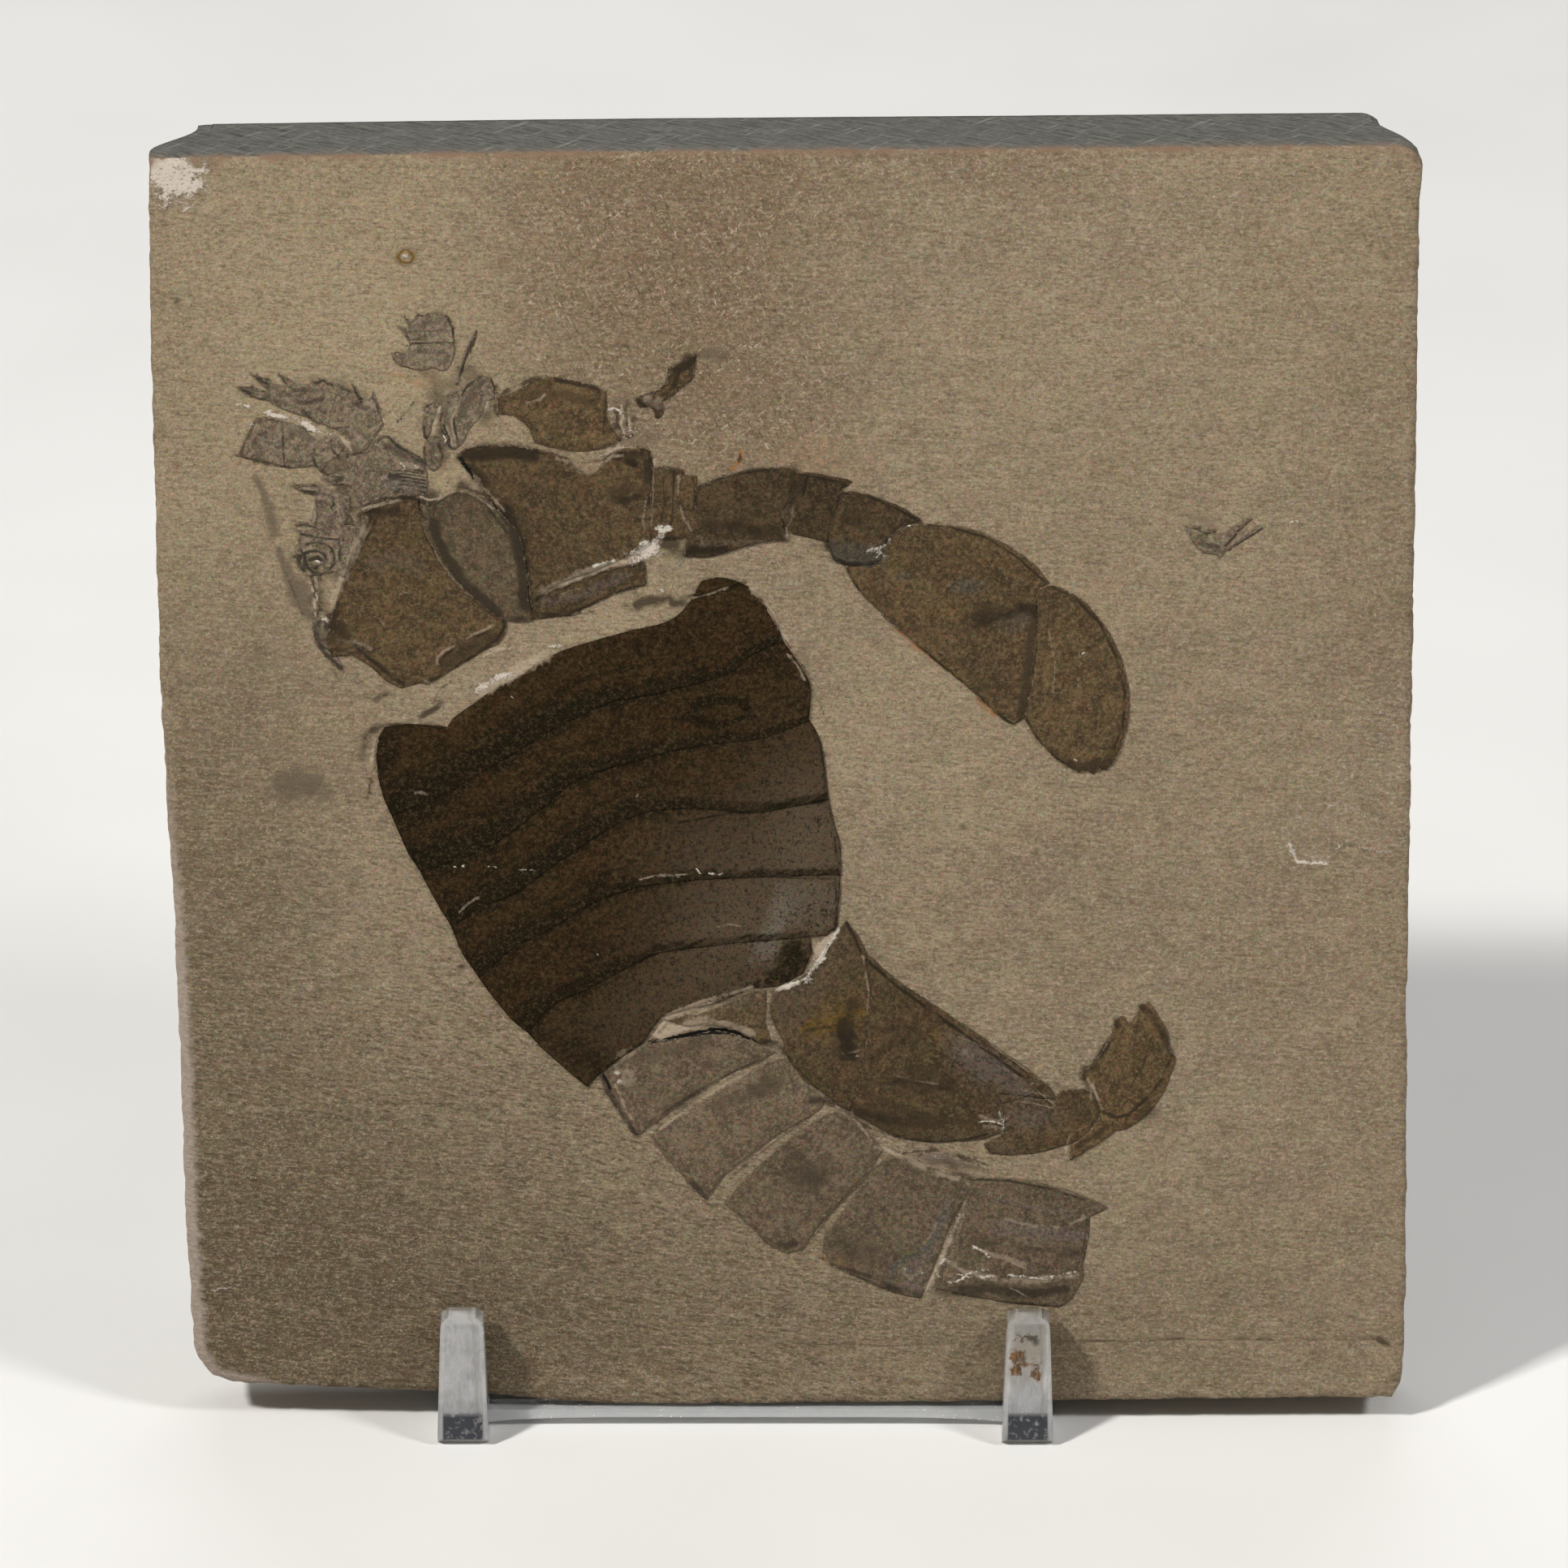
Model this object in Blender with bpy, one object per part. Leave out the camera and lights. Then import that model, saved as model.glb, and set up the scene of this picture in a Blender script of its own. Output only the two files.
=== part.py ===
"""A fossil sea scorpion (Eurypterus) on a sawn slab of stone, leaning on a small clear plastic easel.

Metres, +Z up. The slab's face looks towards -Y and leans back; the easel's feet stand on z = 0.
Every fossil plate is a thin solid on the slab's face. Its outline is given in picture points of a
1932 x 1932 frame, which on_face() turns into real sizes on the slab's face.
"""

import math

import bmesh
import bpy

# Real sizes of the slab
SLAB_THICKNESS = 0.0121
SLAB_LEAN = math.radians(7.0)
SLAB_ARRIS = 0.0005
SLAB_BACK_CHAMFER = 0.0016
SLAB_EDGE_HEIGHT = 0.0026

# Where the middle of the slab's face stands, so that the object's base is centred on the origin
FACE_MIDDLE_X = -0.00067
FACE_MIDDLE_Y = -0.02164

# How the picture's points lie on the slab's face
PICTURE_MIDDLE = 966.0
PICTURE_SCALE = 11000.0
VIEW_DISTANCE = 1.012
VIEW_TILT = math.radians(19.5)

# Real sizes of the fossil plates
GAP = 0.0003
PLATE_INSET = 0.0002
PLATE_BEVEL = 0.0002
THIN_PLATE = 0.00045
PLATE = 0.0006
THICK_PLATE = 0.0008
TRUNK_PLATE = 0.0009

# Real sizes of the easel
PRONG_GAP = 0.0013
PRONG_THICKNESS = 0.0036
PRONG_TOP_WIDTH = 0.0049
EASEL_SIDE_WIDTH = 0.0060
LEFT_PRONG_HEIGHT = 0.0125
RIGHT_PRONG_HEIGHT = 0.0133
BACK_REST_HEIGHT = 0.088
EASEL_DEPTH = 0.058
CROSSBAR_DEPTH = 0.0032
REAR_BAR_HEIGHT = 0.006
LEFT_PRONG_PICTURE_X = 572
RIGHT_PRONG_PICTURE_X = 1265
SHELF_LEFT_PICTURE_Y = 1721
SHELF_RIGHT_PICTURE_Y = 1730
FRONT_BAR_PICTURE_Y = 1732

# The slab's front outline, clockwise from the top left corner
SLAB_LEFT = [
    (261, 1698), (248, 1684), (238, 1657), (228, 1500), (222, 1330), (213, 1130), (205, 1000),
    (197, 860), (188, 560), (185, 450), (182, 250), (183, 193),
]
SLAB_TOP = [(700, 186), (1200, 182), (1726, 178)]
SLAB_RIGHT = [
    (1738, 182), (1748, 190), (1754, 206), (1751, 266), (1748, 400), (1745, 600), (1742, 800),
    (1738, 1040), (1735, 1200), (1734, 1500), (1733, 1592), (1730, 1668), (1726, 1706), (1716, 1724),
]
SLAB_BOTTOM = [(1545, 1725), (1300, 1728), (1100, 1730), (760, 1731), (536, 1716), (376, 1710), (287, 1705)]

# The trunk: its front edge, the overlaps between its six plates and its two sides
TRUNK_FRONT = [
    (467, 912), (475, 897), (507, 893), (552, 897), (582, 870), (611, 849), (644, 833), (670, 814),
    (702, 800), (735, 790), (775, 779), (815, 770), (834, 760), (850, 744), (865, 717), (889, 713),
    (915, 721), (934, 735), (952, 761), (963, 789),
]
OVERLAP_1 = [
    (483, 1003), (547, 977), (606, 943), (668, 905), (708, 884), (748, 865), (815, 851), (849, 843),
    (900, 828), (926, 806), (963, 789),
]
OVERLAP_2 = [
    (518, 1072), (562, 1058), (606, 1040), (668, 994), (709, 960), (785, 935), (860, 918), (940, 908),
    (996, 887),
]
OVERLAP_3 = [
    (557, 1141), (590, 1118), (636, 1097), (683, 1064), (724, 1035), (783, 1003), (849, 994),
    (923, 1000), (967, 994), (1020, 984),
]
OVERLAP_4 = [
    (590, 1202), (636, 1164), (680, 1143), (724, 1114), (783, 1093), (860, 1082), (908, 1080),
    (1035, 1076),
]
OVERLAP_5 = [(650, 1270), (680, 1237), (724, 1217), (768, 1193), (812, 1173), (889, 1163), (997, 1153)]
TRUNK_REAR = [
    (724, 1338), (740, 1321), (767, 1300), (791, 1284), (799, 1273), (815, 1251), (850, 1241),
    (887, 1233), (925, 1217), (960, 1213), (989, 1198), (1000, 1172), (997, 1153),
]
TRUNK_LEFT_1 = [(466, 944), (472, 976)]
TRUNK_LEFT_2 = [(504, 1050)]
TRUNK_LEFT_3 = [(539, 1111)]
TRUNK_LEFT_4 = [(571, 1174)]
TRUNK_LEFT_5 = [(607, 1226), (630, 1254)]
TRUNK_LEFT_6 = [(665, 1287), (695, 1314)]
TRUNK_RIGHT_2 = [(982, 817), (997, 846)]
TRUNK_RIGHT_3 = [(1008, 909), (1015, 946)]
TRUNK_RIGHT_4 = [(1026, 1013), (1034, 1042)]
TRUNK_RIGHT_5 = [(1032, 1116), (1031, 1141), (1019, 1151)]

# The last trunk plate and the five tail segments, which curve away to the lower right
LAST_TRUNK_PLATE = [
    (818, 1258), (871, 1247), (925, 1225), (945, 1222), (941, 1238), (940, 1262), (946, 1282),
    (922, 1276), (903, 1266), (850, 1268),
]
TAIL_1 = [
    (745, 1328), (767, 1308), (794, 1290), (818, 1285), (850, 1281), (877, 1275), (903, 1278),
    (922, 1286), (937, 1293), (950, 1296), (939, 1303), (887, 1327), (834, 1361), (794, 1389),
    (786, 1400), (772, 1383), (759, 1364),
]
TAIL_2 = [
    (802, 1399), (861, 1359), (909, 1332), (944, 1312), (968, 1306), (990, 1332), (1015, 1357),
    (1008, 1369), (984, 1383), (954, 1401), (914, 1431), (887, 1455), (871, 1477), (850, 1460),
    (837, 1444), (818, 1423),
]
TAIL_3 = [
    (894, 1482), (941, 1432), (985, 1396), (1014, 1378), (1032, 1372), (1067, 1395), (1085, 1417),
    (1063, 1453), (1039, 1479), (1011, 1507), (987, 1538), (970, 1543), (946, 1531), (929, 1513),
]
TAIL_4 = [
    (1022, 1520), (1053, 1476), (1080, 1440), (1094, 1429), (1111, 1427), (1146, 1440), (1178, 1452),
    (1190, 1466), (1177, 1493), (1163, 1524), (1151, 1555), (1133, 1596), (1115, 1593), (1087, 1585),
    (1046, 1566), (1026, 1556), (1018, 1541),
]
TAIL_5 = [
    (1200, 1455), (1228, 1454), (1273, 1459), (1318, 1470), (1361, 1488), (1342, 1498), (1340, 1524),
    (1332, 1558), (1332, 1575), (1318, 1599), (1304, 1608), (1256, 1604), (1197, 1595), (1161, 1587),
    (1172, 1562), (1186, 1520), (1197, 1480),
]

# The plates at the base of the legs
LEFT_COXA = [
    (443, 666), (452, 634), (488, 615), (510, 613), (520, 645), (536, 688), (566, 726), (606, 757),
    (620, 763), (619, 784), (590, 802), (563, 819), (528, 841), (494, 844), (476, 836), (458, 820),
    (434, 805), (411, 805), (405, 793), (410, 775), (411, 759), (419, 741), (428, 718),
]
METASTOMA = [
    (521, 621), (530, 631), (540, 622), (566, 606), (594, 614), (617, 641), (632, 662), (640, 700),
    (643, 745), (649, 760), (625, 758), (596, 742), (562, 708), (541, 676), (528, 650),
]
RIGHT_COXA = [
    (564, 563), (573, 555), (593, 550), (622, 551), (665, 557), (699, 567), (722, 586), (737, 584),
    (748, 569), (764, 558), (788, 554), (797, 559), (799, 575), (795, 614), (798, 640), (797, 668),
    (768, 682), (734, 699), (686, 715), (655, 738), (652, 700), (643, 661), (623, 634), (600, 606),
    (596, 588), (580, 575),
]
COXA_RIM = [
    (664, 746), (679, 731), (705, 724), (751, 708), (792, 697), (793, 718), (774, 723), (721, 745),
    (700, 755), (668, 758),
]
UPPER_COXA = [
    (613, 511), (614, 491), (633, 484), (659, 468), (699, 468), (722, 474), (748, 483), (749, 509),
    (753, 524), (763, 540), (722, 554), (696, 553), (662, 545), (652, 526), (632, 512),
]
HOOKED_LEG = [
    (856, 442), (830, 455), (827, 472), (818, 482), (789, 492), (793, 502), (807, 512), (816, 505),
    (821, 493), (849, 471), (857, 455),
]

# The swimming leg and its paddle
SWIMMING_LEG_1 = [(808, 579), (840, 582), (852, 590), (850, 612), (852, 641), (846, 658), (830, 661), (808, 656), (806, 616)]
SWIMMING_LEG_2 = [
    (860, 602), (895, 591), (920, 582), (958, 579), (973, 582), (971, 611), (959, 629), (960, 650),
    (962, 661), (920, 669), (890, 679), (869, 682), (848, 681), (855, 660), (863, 640),
]
SWIMMING_LEG_3 = [(979, 587), (999, 586), (1043, 595), (1030, 608), (1018, 655), (1014, 663), (1004, 661), (979, 655), (972, 640), (977, 615)]
SWIMMING_LEG_4 = [
    (1036, 610), (1058, 610), (1081, 617), (1112, 629), (1128, 640), (1106, 646), (1094, 657),
    (1087, 672), (1078, 690), (1050, 692), (1034, 689), (1028, 680), (1026, 665),
]
PADDLE_BLADE = [
    (1097, 673), (1106, 657), (1120, 650), (1147, 648), (1176, 651), (1211, 659), (1249, 679),
    (1273, 697), (1289, 716), (1275, 726), (1273, 765), (1270, 809), (1263, 850), (1257, 880),
    (1247, 889), (1233, 883), (1205, 857), (1164, 823), (1126, 790), (1088, 756), (1059, 727),
    (1049, 708), (1048, 697), (1078, 695),
]
PADDLE_TIP = [
    (1281, 729), (1294, 722), (1311, 728), (1334, 742), (1358, 769), (1375, 797), (1384, 823),
    (1390, 856), (1389, 885), (1381, 917), (1364, 946), (1350, 945), (1345, 950), (1331, 949),
    (1314, 941), (1293, 925), (1276, 905), (1266, 886), (1272, 850), (1279, 809),
]

# The second paddle, folded over the start of the tail
SECOND_PADDLE_BASE = [
    (1043, 1138), (1056, 1155), (1064, 1172), (1068, 1190), (1070, 1222), (1066, 1262), (1062, 1300),
    (1054, 1340), (1046, 1365), (1016, 1345), (994, 1326), (973, 1299), (968, 1282), (954, 1252),
    (953, 1240), (963, 1224), (999, 1201), (1018, 1180), (1029, 1155),
]
SECOND_PADDLE_BLADE = [
    (1073, 1186), (1099, 1205), (1134, 1230), (1177, 1258), (1224, 1290), (1259, 1315), (1286, 1336),
    (1292, 1354), (1262, 1350), (1228, 1349), (1216, 1370), (1208, 1400), (1170, 1404), (1134, 1403),
    (1099, 1395), (1053, 1370), (1062, 1340), (1070, 1300), (1074, 1262), (1078, 1222),
]
SECOND_PADDLE_JOINT = [
    (1300, 1357), (1309, 1348), (1336, 1344), (1345, 1352), (1350, 1368), (1341, 1386), (1326, 1402),
    (1316, 1407), (1291, 1415), (1256, 1420), (1222, 1419), (1217, 1405), (1223, 1378), (1234, 1357),
    (1262, 1358),
]
SECOND_PADDLE_CLAW = [
    (1340, 1326), (1352, 1310), (1370, 1279), (1375, 1259), (1384, 1256), (1390, 1268), (1401, 1254),
    (1408, 1240), (1415, 1238), (1427, 1254), (1436, 1271), (1440, 1293), (1446, 1305), (1443, 1318),
    (1434, 1343), (1413, 1371), (1388, 1388), (1374, 1394), (1359, 1403), (1326, 1424), (1324, 1411),
    (1340, 1396), (1352, 1380), (1356, 1366), (1350, 1346),
]

# The walking legs at the upper left
SPINY_LEG_UPPER = [
    (292, 480), (300, 482), (303, 466), (315, 474), (326, 462), (343, 462), (366, 472), (388, 470),
    (399, 469), (422, 475), (436, 484), (461, 486), (466, 497), (472, 520), (470, 538), (446, 544),
    (428, 542), (405, 531), (380, 520), (350, 510), (325, 502), (302, 496),
]
SPINY_LEG_LOWER = [
    (313, 519), (330, 521), (349, 525), (372, 530), (392, 541), (402, 548), (391, 560), (382, 576),
    (349, 574), (322, 570), (292, 563), (300, 556), (309, 535),
]
LEG_CLUSTER = [
    (385, 572), (400, 562), (412, 548), (436, 552), (462, 550), (478, 562), (500, 572), (521, 580),
    (530, 596), (514, 602), (490, 604), (462, 614), (440, 622), (420, 612), (404, 602), (396, 586),
]
LEG_STEM = [
    (358, 600), (372, 596), (396, 599), (408, 612), (434, 627), (440, 640), (428, 655), (418, 676),
    (410, 694), (392, 697), (374, 688), (372, 662), (384, 648), (382, 622), (368, 612),
]
SMALL_CLAW = [
    (499, 391), (508, 396), (525, 388), (547, 387), (557, 403), (560, 426), (556, 448), (545, 459),
    (508, 455), (494, 450), (483, 436), (502, 436), (505, 420), (492, 404), (506, 406),
]
NEEDLE = [(584, 410), (590, 412), (580, 446), (568, 474), (562, 470), (573, 442)]
NARROW_PLATE_1 = [(565, 489), (586, 471), (602, 468), (603, 486), (594, 530), (570, 546), (562, 530), (560, 512)]
NARROW_PLATE_2 = [(543, 484), (557, 482), (553, 509), (545, 519), (540, 502)]
NARROW_PLATE_3 = [(521, 501), (534, 499), (534, 520), (524, 534), (518, 526)]
SMALL_CURVED_PIECE = [
    (391, 806), (403, 812), (406, 834), (416, 858), (425, 884), (410, 870), (396, 855), (384, 838),
    (382, 822),
]
FRAGMENT = [
    (1449, 648), (1466, 648), (1476, 653), (1491, 657), (1512, 647), (1534, 635), (1539, 642),
    (1522, 655), (1545, 647), (1549, 655), (1524, 671), (1500, 685), (1491, 687), (1477, 682),
    (1458, 669),
]


def clear_scene():
    for obj in list(bpy.data.objects):
        bpy.data.objects.remove(obj, do_unlink=True)


def on_face(point):
    """Picture point to (right, up) in metres from the middle of the slab's face."""
    right = (point[0] - PICTURE_MIDDLE) / PICTURE_SCALE
    up = (PICTURE_MIDDLE - point[1]) / PICTURE_SCALE
    height = up * VIEW_DISTANCE / (math.cos(VIEW_TILT) + up * math.sin(VIEW_TILT))
    return right * (VIEW_DISTANCE - height * math.sin(VIEW_TILT)), height


def face_points(outline):
    return [on_face(point) for point in outline]


def signed_area(points):
    total = 0.0
    for i, (x, y) in enumerate(points):
        next_x, next_y = points[(i + 1) % len(points)]
        total += x * next_y - next_x * y
    return total / 2


def counterclockwise(points):
    return points if signed_area(points) > 0 else points[::-1]


def unit(x, y):
    length = math.hypot(x, y) or 1.0
    return x / length, y / length


def inset(points, amount):
    """Every point moved inwards by its mitre, which is kept short at sharp tips."""
    moved = []
    for i, (x, y) in enumerate(points):
        before = points[i - 1]
        after = points[(i + 1) % len(points)]
        in_x, in_y = unit(x - before[0], y - before[1])
        out_x, out_y = unit(after[0] - x, after[1] - y)
        mid_x, mid_y = unit(-in_y - out_y, in_x + out_x)
        stretch = min(1.8, 1.0 / max(0.2, mid_x * -in_y + mid_y * in_x))
        moved.append((x + mid_x * amount * stretch, y + mid_y * amount * stretch))
    return moved


def turn_at(points, i):
    before = points[i - 1]
    here = points[i]
    after = points[(i + 1) % len(points)]
    first = math.atan2(here[1] - before[1], here[0] - before[0])
    second = math.atan2(after[1] - here[1], after[0] - here[0])
    return abs((second - first + math.pi) % (2 * math.pi) - math.pi)


def rounded(points):
    """One more point in each gentle bend, on the arc through its neighbours; corners stay sharp."""
    count = len(points)
    gentle = [0.02 < turn_at(points, i) < 0.6 for i in range(count)]
    result = []
    for i in range(count):
        here = points[i]
        after = points[(i + 1) % count]
        result.append(here)
        if not (gentle[i] and gentle[(i + 1) % count]):
            continue
        before = points[i - 1]
        beyond = points[(i + 2) % count]
        result.append(tuple(
            (9 * (here[k] + after[k]) - before[k] - beyond[k]) / 16 for k in range(2)
        ))
    return result


def shrunk_to(points, share):
    mid_x = sum(p[0] for p in points) / len(points)
    mid_y = sum(p[1] for p in points) / len(points)
    return [(mid_x + (x - mid_x) * share, mid_y + (y - mid_y) * share) for x, y in points]


def new_material(name, color, roughness):
    material = bpy.data.materials.new(name)
    material.use_nodes = True
    shader = material.node_tree.nodes["Principled BSDF"]
    shader.inputs["Base Color"].default_value = (*color, 1.0)
    shader.inputs["Roughness"].default_value = roughness
    shader.inputs["Metallic"].default_value = 0.0
    return material


def stone_material():
    return new_material("waterlime", (0.30, 0.245, 0.165), 0.9)


def trunk_material():
    return new_material("dark_cuticle", (0.028, 0.019, 0.012), 0.6)


def plate_material():
    return new_material("brown_cuticle", (0.075, 0.052, 0.034), 0.65)


def tail_material():
    return new_material("grey_cuticle", (0.12, 0.09, 0.062), 0.7)


def leg_material():
    return new_material("leg_cuticle", (0.13, 0.105, 0.075), 0.7)


def plastic_material():
    material = new_material("clear_plastic", (0.9, 0.9, 0.88), 0.12)
    shader = material.node_tree.nodes["Principled BSDF"]
    shader.inputs["IOR"].default_value = 1.49
    shader.inputs["Transmission Weight"].default_value = 0.85
    return material


def link_mesh(name, bm, material, parent):
    bmesh.ops.recalc_face_normals(bm, faces=bm.faces)
    mesh = bpy.data.meshes.new(name)
    bm.to_mesh(mesh)
    bm.free()
    obj = bpy.data.objects.new(name, mesh)
    bpy.context.scene.collection.objects.link(obj)
    obj.data.materials.append(material)
    obj.parent = parent
    return obj


def stack_of_rings(rings):
    """A closed body from rings of (x, y, z) points with the same count, with flat ends."""
    bm = bmesh.new()
    made = [[bm.verts.new(point) for point in ring] for ring in rings]
    count = len(rings[0])
    bm.faces.new(made[0][::-1])
    bm.faces.new(made[-1])
    for low, high in zip(made, made[1:]):
        for i in range(count):
            j = (i + 1) % count
            bm.faces.new((low[i], low[j], high[j], high[i]))
    return bm


def at_height(points, height):
    return [(x, y, height) for x, y in points]


def fossil_plate(name, outline, thickness, material, parent, crown=0.0):
    """A thin plate just off the slab's face, with a bevelled rim and, where crown is given, a raised middle."""
    points = rounded(inset(counterclockwise(face_points(outline)), PLATE_INSET))
    rings = [
        at_height(points, GAP),
        at_height(points, GAP + thickness * 0.6),
        at_height(inset(points, PLATE_BEVEL), GAP + thickness),
    ]
    if crown:
        rings.append(at_height(shrunk_to(points, 0.72), GAP + thickness + crown))
    return link_mesh(name, stack_of_rings(rings), material, parent)


def slab_frame():
    """The middle of the slab's face: X right, Y up the face, Z out of the face."""
    low = on_face((RIGHT_PRONG_PICTURE_X, SHELF_RIGHT_PICTURE_Y))[1]
    frame = bpy.data.objects.new("slab_frame", None)
    bpy.context.scene.collection.objects.link(frame)
    frame.rotation_euler = (math.pi / 2 - SLAB_LEAN, 0.0, 0.0)
    frame.location = (FACE_MIDDLE_X, FACE_MIDDLE_Y, SLAB_EDGE_HEIGHT - low * math.cos(SLAB_LEAN))
    return frame


def easel_frame():
    """Under the middle of the slab's face, on the floor: the easel's sizes are measured from here."""
    frame = bpy.data.objects.new("easel_frame", None)
    bpy.context.scene.collection.objects.link(frame)
    frame.location = (FACE_MIDDLE_X, FACE_MIDDLE_Y, 0.0)
    return frame


def back_corner_shift(point, left, right, top, depth_share):
    """How far the broken upper corners of the slab's back are cut away."""
    x, y = point
    shift_x = 0.0
    shift_y = 0.0
    if y > top - 0.009 and x < left + 0.006:
        shift_x = 0.0050 * depth_share
    if y > top - 0.009 and x > right - 0.006:
        shift_x = -0.0036 * depth_share
    return x + shift_x, y + shift_y


def build_slab(parent):
    outline = counterclockwise(face_points(SLAB_LEFT + SLAB_TOP + SLAB_RIGHT + SLAB_BOTTOM))
    left = min(x for x, _ in outline)
    right = max(x for x, _ in outline)
    top = max(y for _, y in outline)
    middle = [back_corner_shift(point, left, right, top, 0.15) for point in inset(outline, 0.0003)]
    behind = [back_corner_shift(point, left, right, top, 0.9) for point in inset(outline, 0.0004)]
    back = [back_corner_shift(point, left, right, top, 1.0) for point in inset(outline, SLAB_BACK_CHAMFER)]
    rings = [
        at_height(back, -SLAB_THICKNESS),
        at_height(behind, -SLAB_THICKNESS + SLAB_BACK_CHAMFER),
        at_height(middle, -SLAB_THICKNESS * 0.45),
        at_height(outline, -SLAB_ARRIS),
        at_height(inset(outline, SLAB_ARRIS), 0.0),
    ]
    return link_mesh("slab", stack_of_rings(rings), stone_material(), parent)


def build_trunk(parent):
    material = trunk_material()
    plates = [
        TRUNK_FRONT + OVERLAP_1[::-1][1:] + TRUNK_LEFT_1[::-1],
        OVERLAP_1 + TRUNK_RIGHT_2 + OVERLAP_2[::-1] + TRUNK_LEFT_2,
        OVERLAP_2 + TRUNK_RIGHT_3 + OVERLAP_3[::-1] + TRUNK_LEFT_3,
        OVERLAP_3 + TRUNK_RIGHT_4 + OVERLAP_4[::-1] + TRUNK_LEFT_4,
        OVERLAP_4 + TRUNK_RIGHT_5 + OVERLAP_5[::-1] + TRUNK_LEFT_5[::-1],
        OVERLAP_5 + TRUNK_REAR[::-1][1:] + TRUNK_LEFT_6[::-1],
    ]
    for number, outline in enumerate(plates, 1):
        thickness = TRUNK_PLATE - 0.00006 * number
        fossil_plate(f"trunk_plate_{number}", outline, thickness, material, parent)
    fossil_plate("trunk_plate_7", LAST_TRUNK_PLATE, THIN_PLATE, material, parent)


def build_tail(parent):
    material = tail_material()
    for number, outline in enumerate([TAIL_1, TAIL_2, TAIL_3, TAIL_4, TAIL_5], 1):
        fossil_plate(f"tail_segment_{number}", outline, PLATE, material, parent, 0.0002)


def build_leg_bases(parent):
    material = plate_material()
    fossil_plate("left_coxa", LEFT_COXA, PLATE, material, parent, 0.0003)
    fossil_plate("metastoma", METASTOMA, THICK_PLATE, material, parent, 0.0003)
    fossil_plate("right_coxa", RIGHT_COXA, PLATE, material, parent)
    fossil_plate("coxa_rim", COXA_RIM, PLATE, material, parent)
    fossil_plate("upper_coxa", UPPER_COXA, PLATE, material, parent, 0.0002)
    fossil_plate("hooked_leg", HOOKED_LEG, THIN_PLATE, material, parent)


def build_swimming_leg(parent):
    material = plate_material()
    fossil_plate("swimming_leg_1", SWIMMING_LEG_1, PLATE, material, parent, 0.0002)
    fossil_plate("swimming_leg_2", SWIMMING_LEG_2, PLATE, material, parent)
    fossil_plate("swimming_leg_3", SWIMMING_LEG_3, PLATE, material, parent)
    fossil_plate("swimming_leg_4", SWIMMING_LEG_4, PLATE, material, parent, 0.0002)
    fossil_plate("paddle_blade", PADDLE_BLADE, PLATE, material, parent)
    fossil_plate("paddle_tip", PADDLE_TIP, PLATE, material, parent)


def build_second_paddle(parent):
    material = plate_material()
    fossil_plate("second_paddle_base", SECOND_PADDLE_BASE, THICK_PLATE, material, parent)
    fossil_plate("second_paddle_blade", SECOND_PADDLE_BLADE, THICK_PLATE, material, parent)
    fossil_plate("second_paddle_joint", SECOND_PADDLE_JOINT, PLATE, material, parent)
    fossil_plate("second_paddle_claw", SECOND_PADDLE_CLAW, PLATE, material, parent)


def build_walking_legs(parent):
    material = leg_material()
    fossil_plate("spiny_leg_upper", SPINY_LEG_UPPER, THIN_PLATE, material, parent)
    fossil_plate("spiny_leg_lower", SPINY_LEG_LOWER, THIN_PLATE, material, parent)
    fossil_plate("leg_cluster", LEG_CLUSTER, THIN_PLATE, material, parent)
    fossil_plate("leg_stem", LEG_STEM, THIN_PLATE, material, parent)
    fossil_plate("small_claw", SMALL_CLAW, THIN_PLATE, material, parent)
    fossil_plate("needle", NEEDLE, THIN_PLATE, material, parent)
    fossil_plate("narrow_plate_1", NARROW_PLATE_1, THIN_PLATE, material, parent)
    fossil_plate("narrow_plate_2", NARROW_PLATE_2, THIN_PLATE, material, parent)
    fossil_plate("narrow_plate_3", NARROW_PLATE_3, THIN_PLATE, material, parent)
    fossil_plate("small_curved_piece", SMALL_CURVED_PIECE, THIN_PLATE, material, parent)
    fossil_plate("loose_fragment", FRAGMENT, THIN_PLATE, material, parent)


def world_point(frame_height, up, out):
    """(y, z) of a point that is this far up the slab's face and this far out of it."""
    y = up * math.sin(SLAB_LEAN) - out * math.cos(SLAB_LEAN)
    z = frame_height + up * math.cos(SLAB_LEAN) + out * math.sin(SLAB_LEAN)
    return y, z


def side_profile(frame_height, shelf, prong_height):
    """The easel's side seen from its left: foot, prong, shelf, back rest and rear leg, as (y, z)."""

    def place(up, out):
        return world_point(frame_height, up, out)

    back = -SLAB_THICKNESS - 0.0004
    front = PRONG_GAP + PRONG_THICKNESS
    prong_top = shelf + prong_height
    points = [
        place(shelf, front + 0.0004),
        place(prong_top - 0.0016, front - 0.0003),
        place(prong_top - 0.0005, front - 0.0008),
        place(prong_top, front - 0.0017),
        place(prong_top, PRONG_GAP + 0.0009),
        place(prong_top - 0.0009, PRONG_GAP),
        place(shelf + 0.0006, PRONG_GAP),
        place(shelf, PRONG_GAP - 0.0006),
        place(shelf, back + 0.0003),
        place(shelf + 0.0004, back),
        place(shelf + BACK_REST_HEIGHT - 0.001, back),
        place(shelf + BACK_REST_HEIGHT, back - 0.001),
        place(shelf + BACK_REST_HEIGHT, back - 0.0055),
        place(shelf + BACK_REST_HEIGHT - 0.002, back - 0.0068),
    ]
    heel = EASEL_DEPTH
    points += [(heel, 0.007), (heel, 0.0012), (heel - 0.0012, 0.0)]
    foot = place(shelf, front + 0.0004)[0]
    points += [(foot + 0.0010, 0.0), (foot - 0.0001, 0.0010)]
    return points


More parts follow.
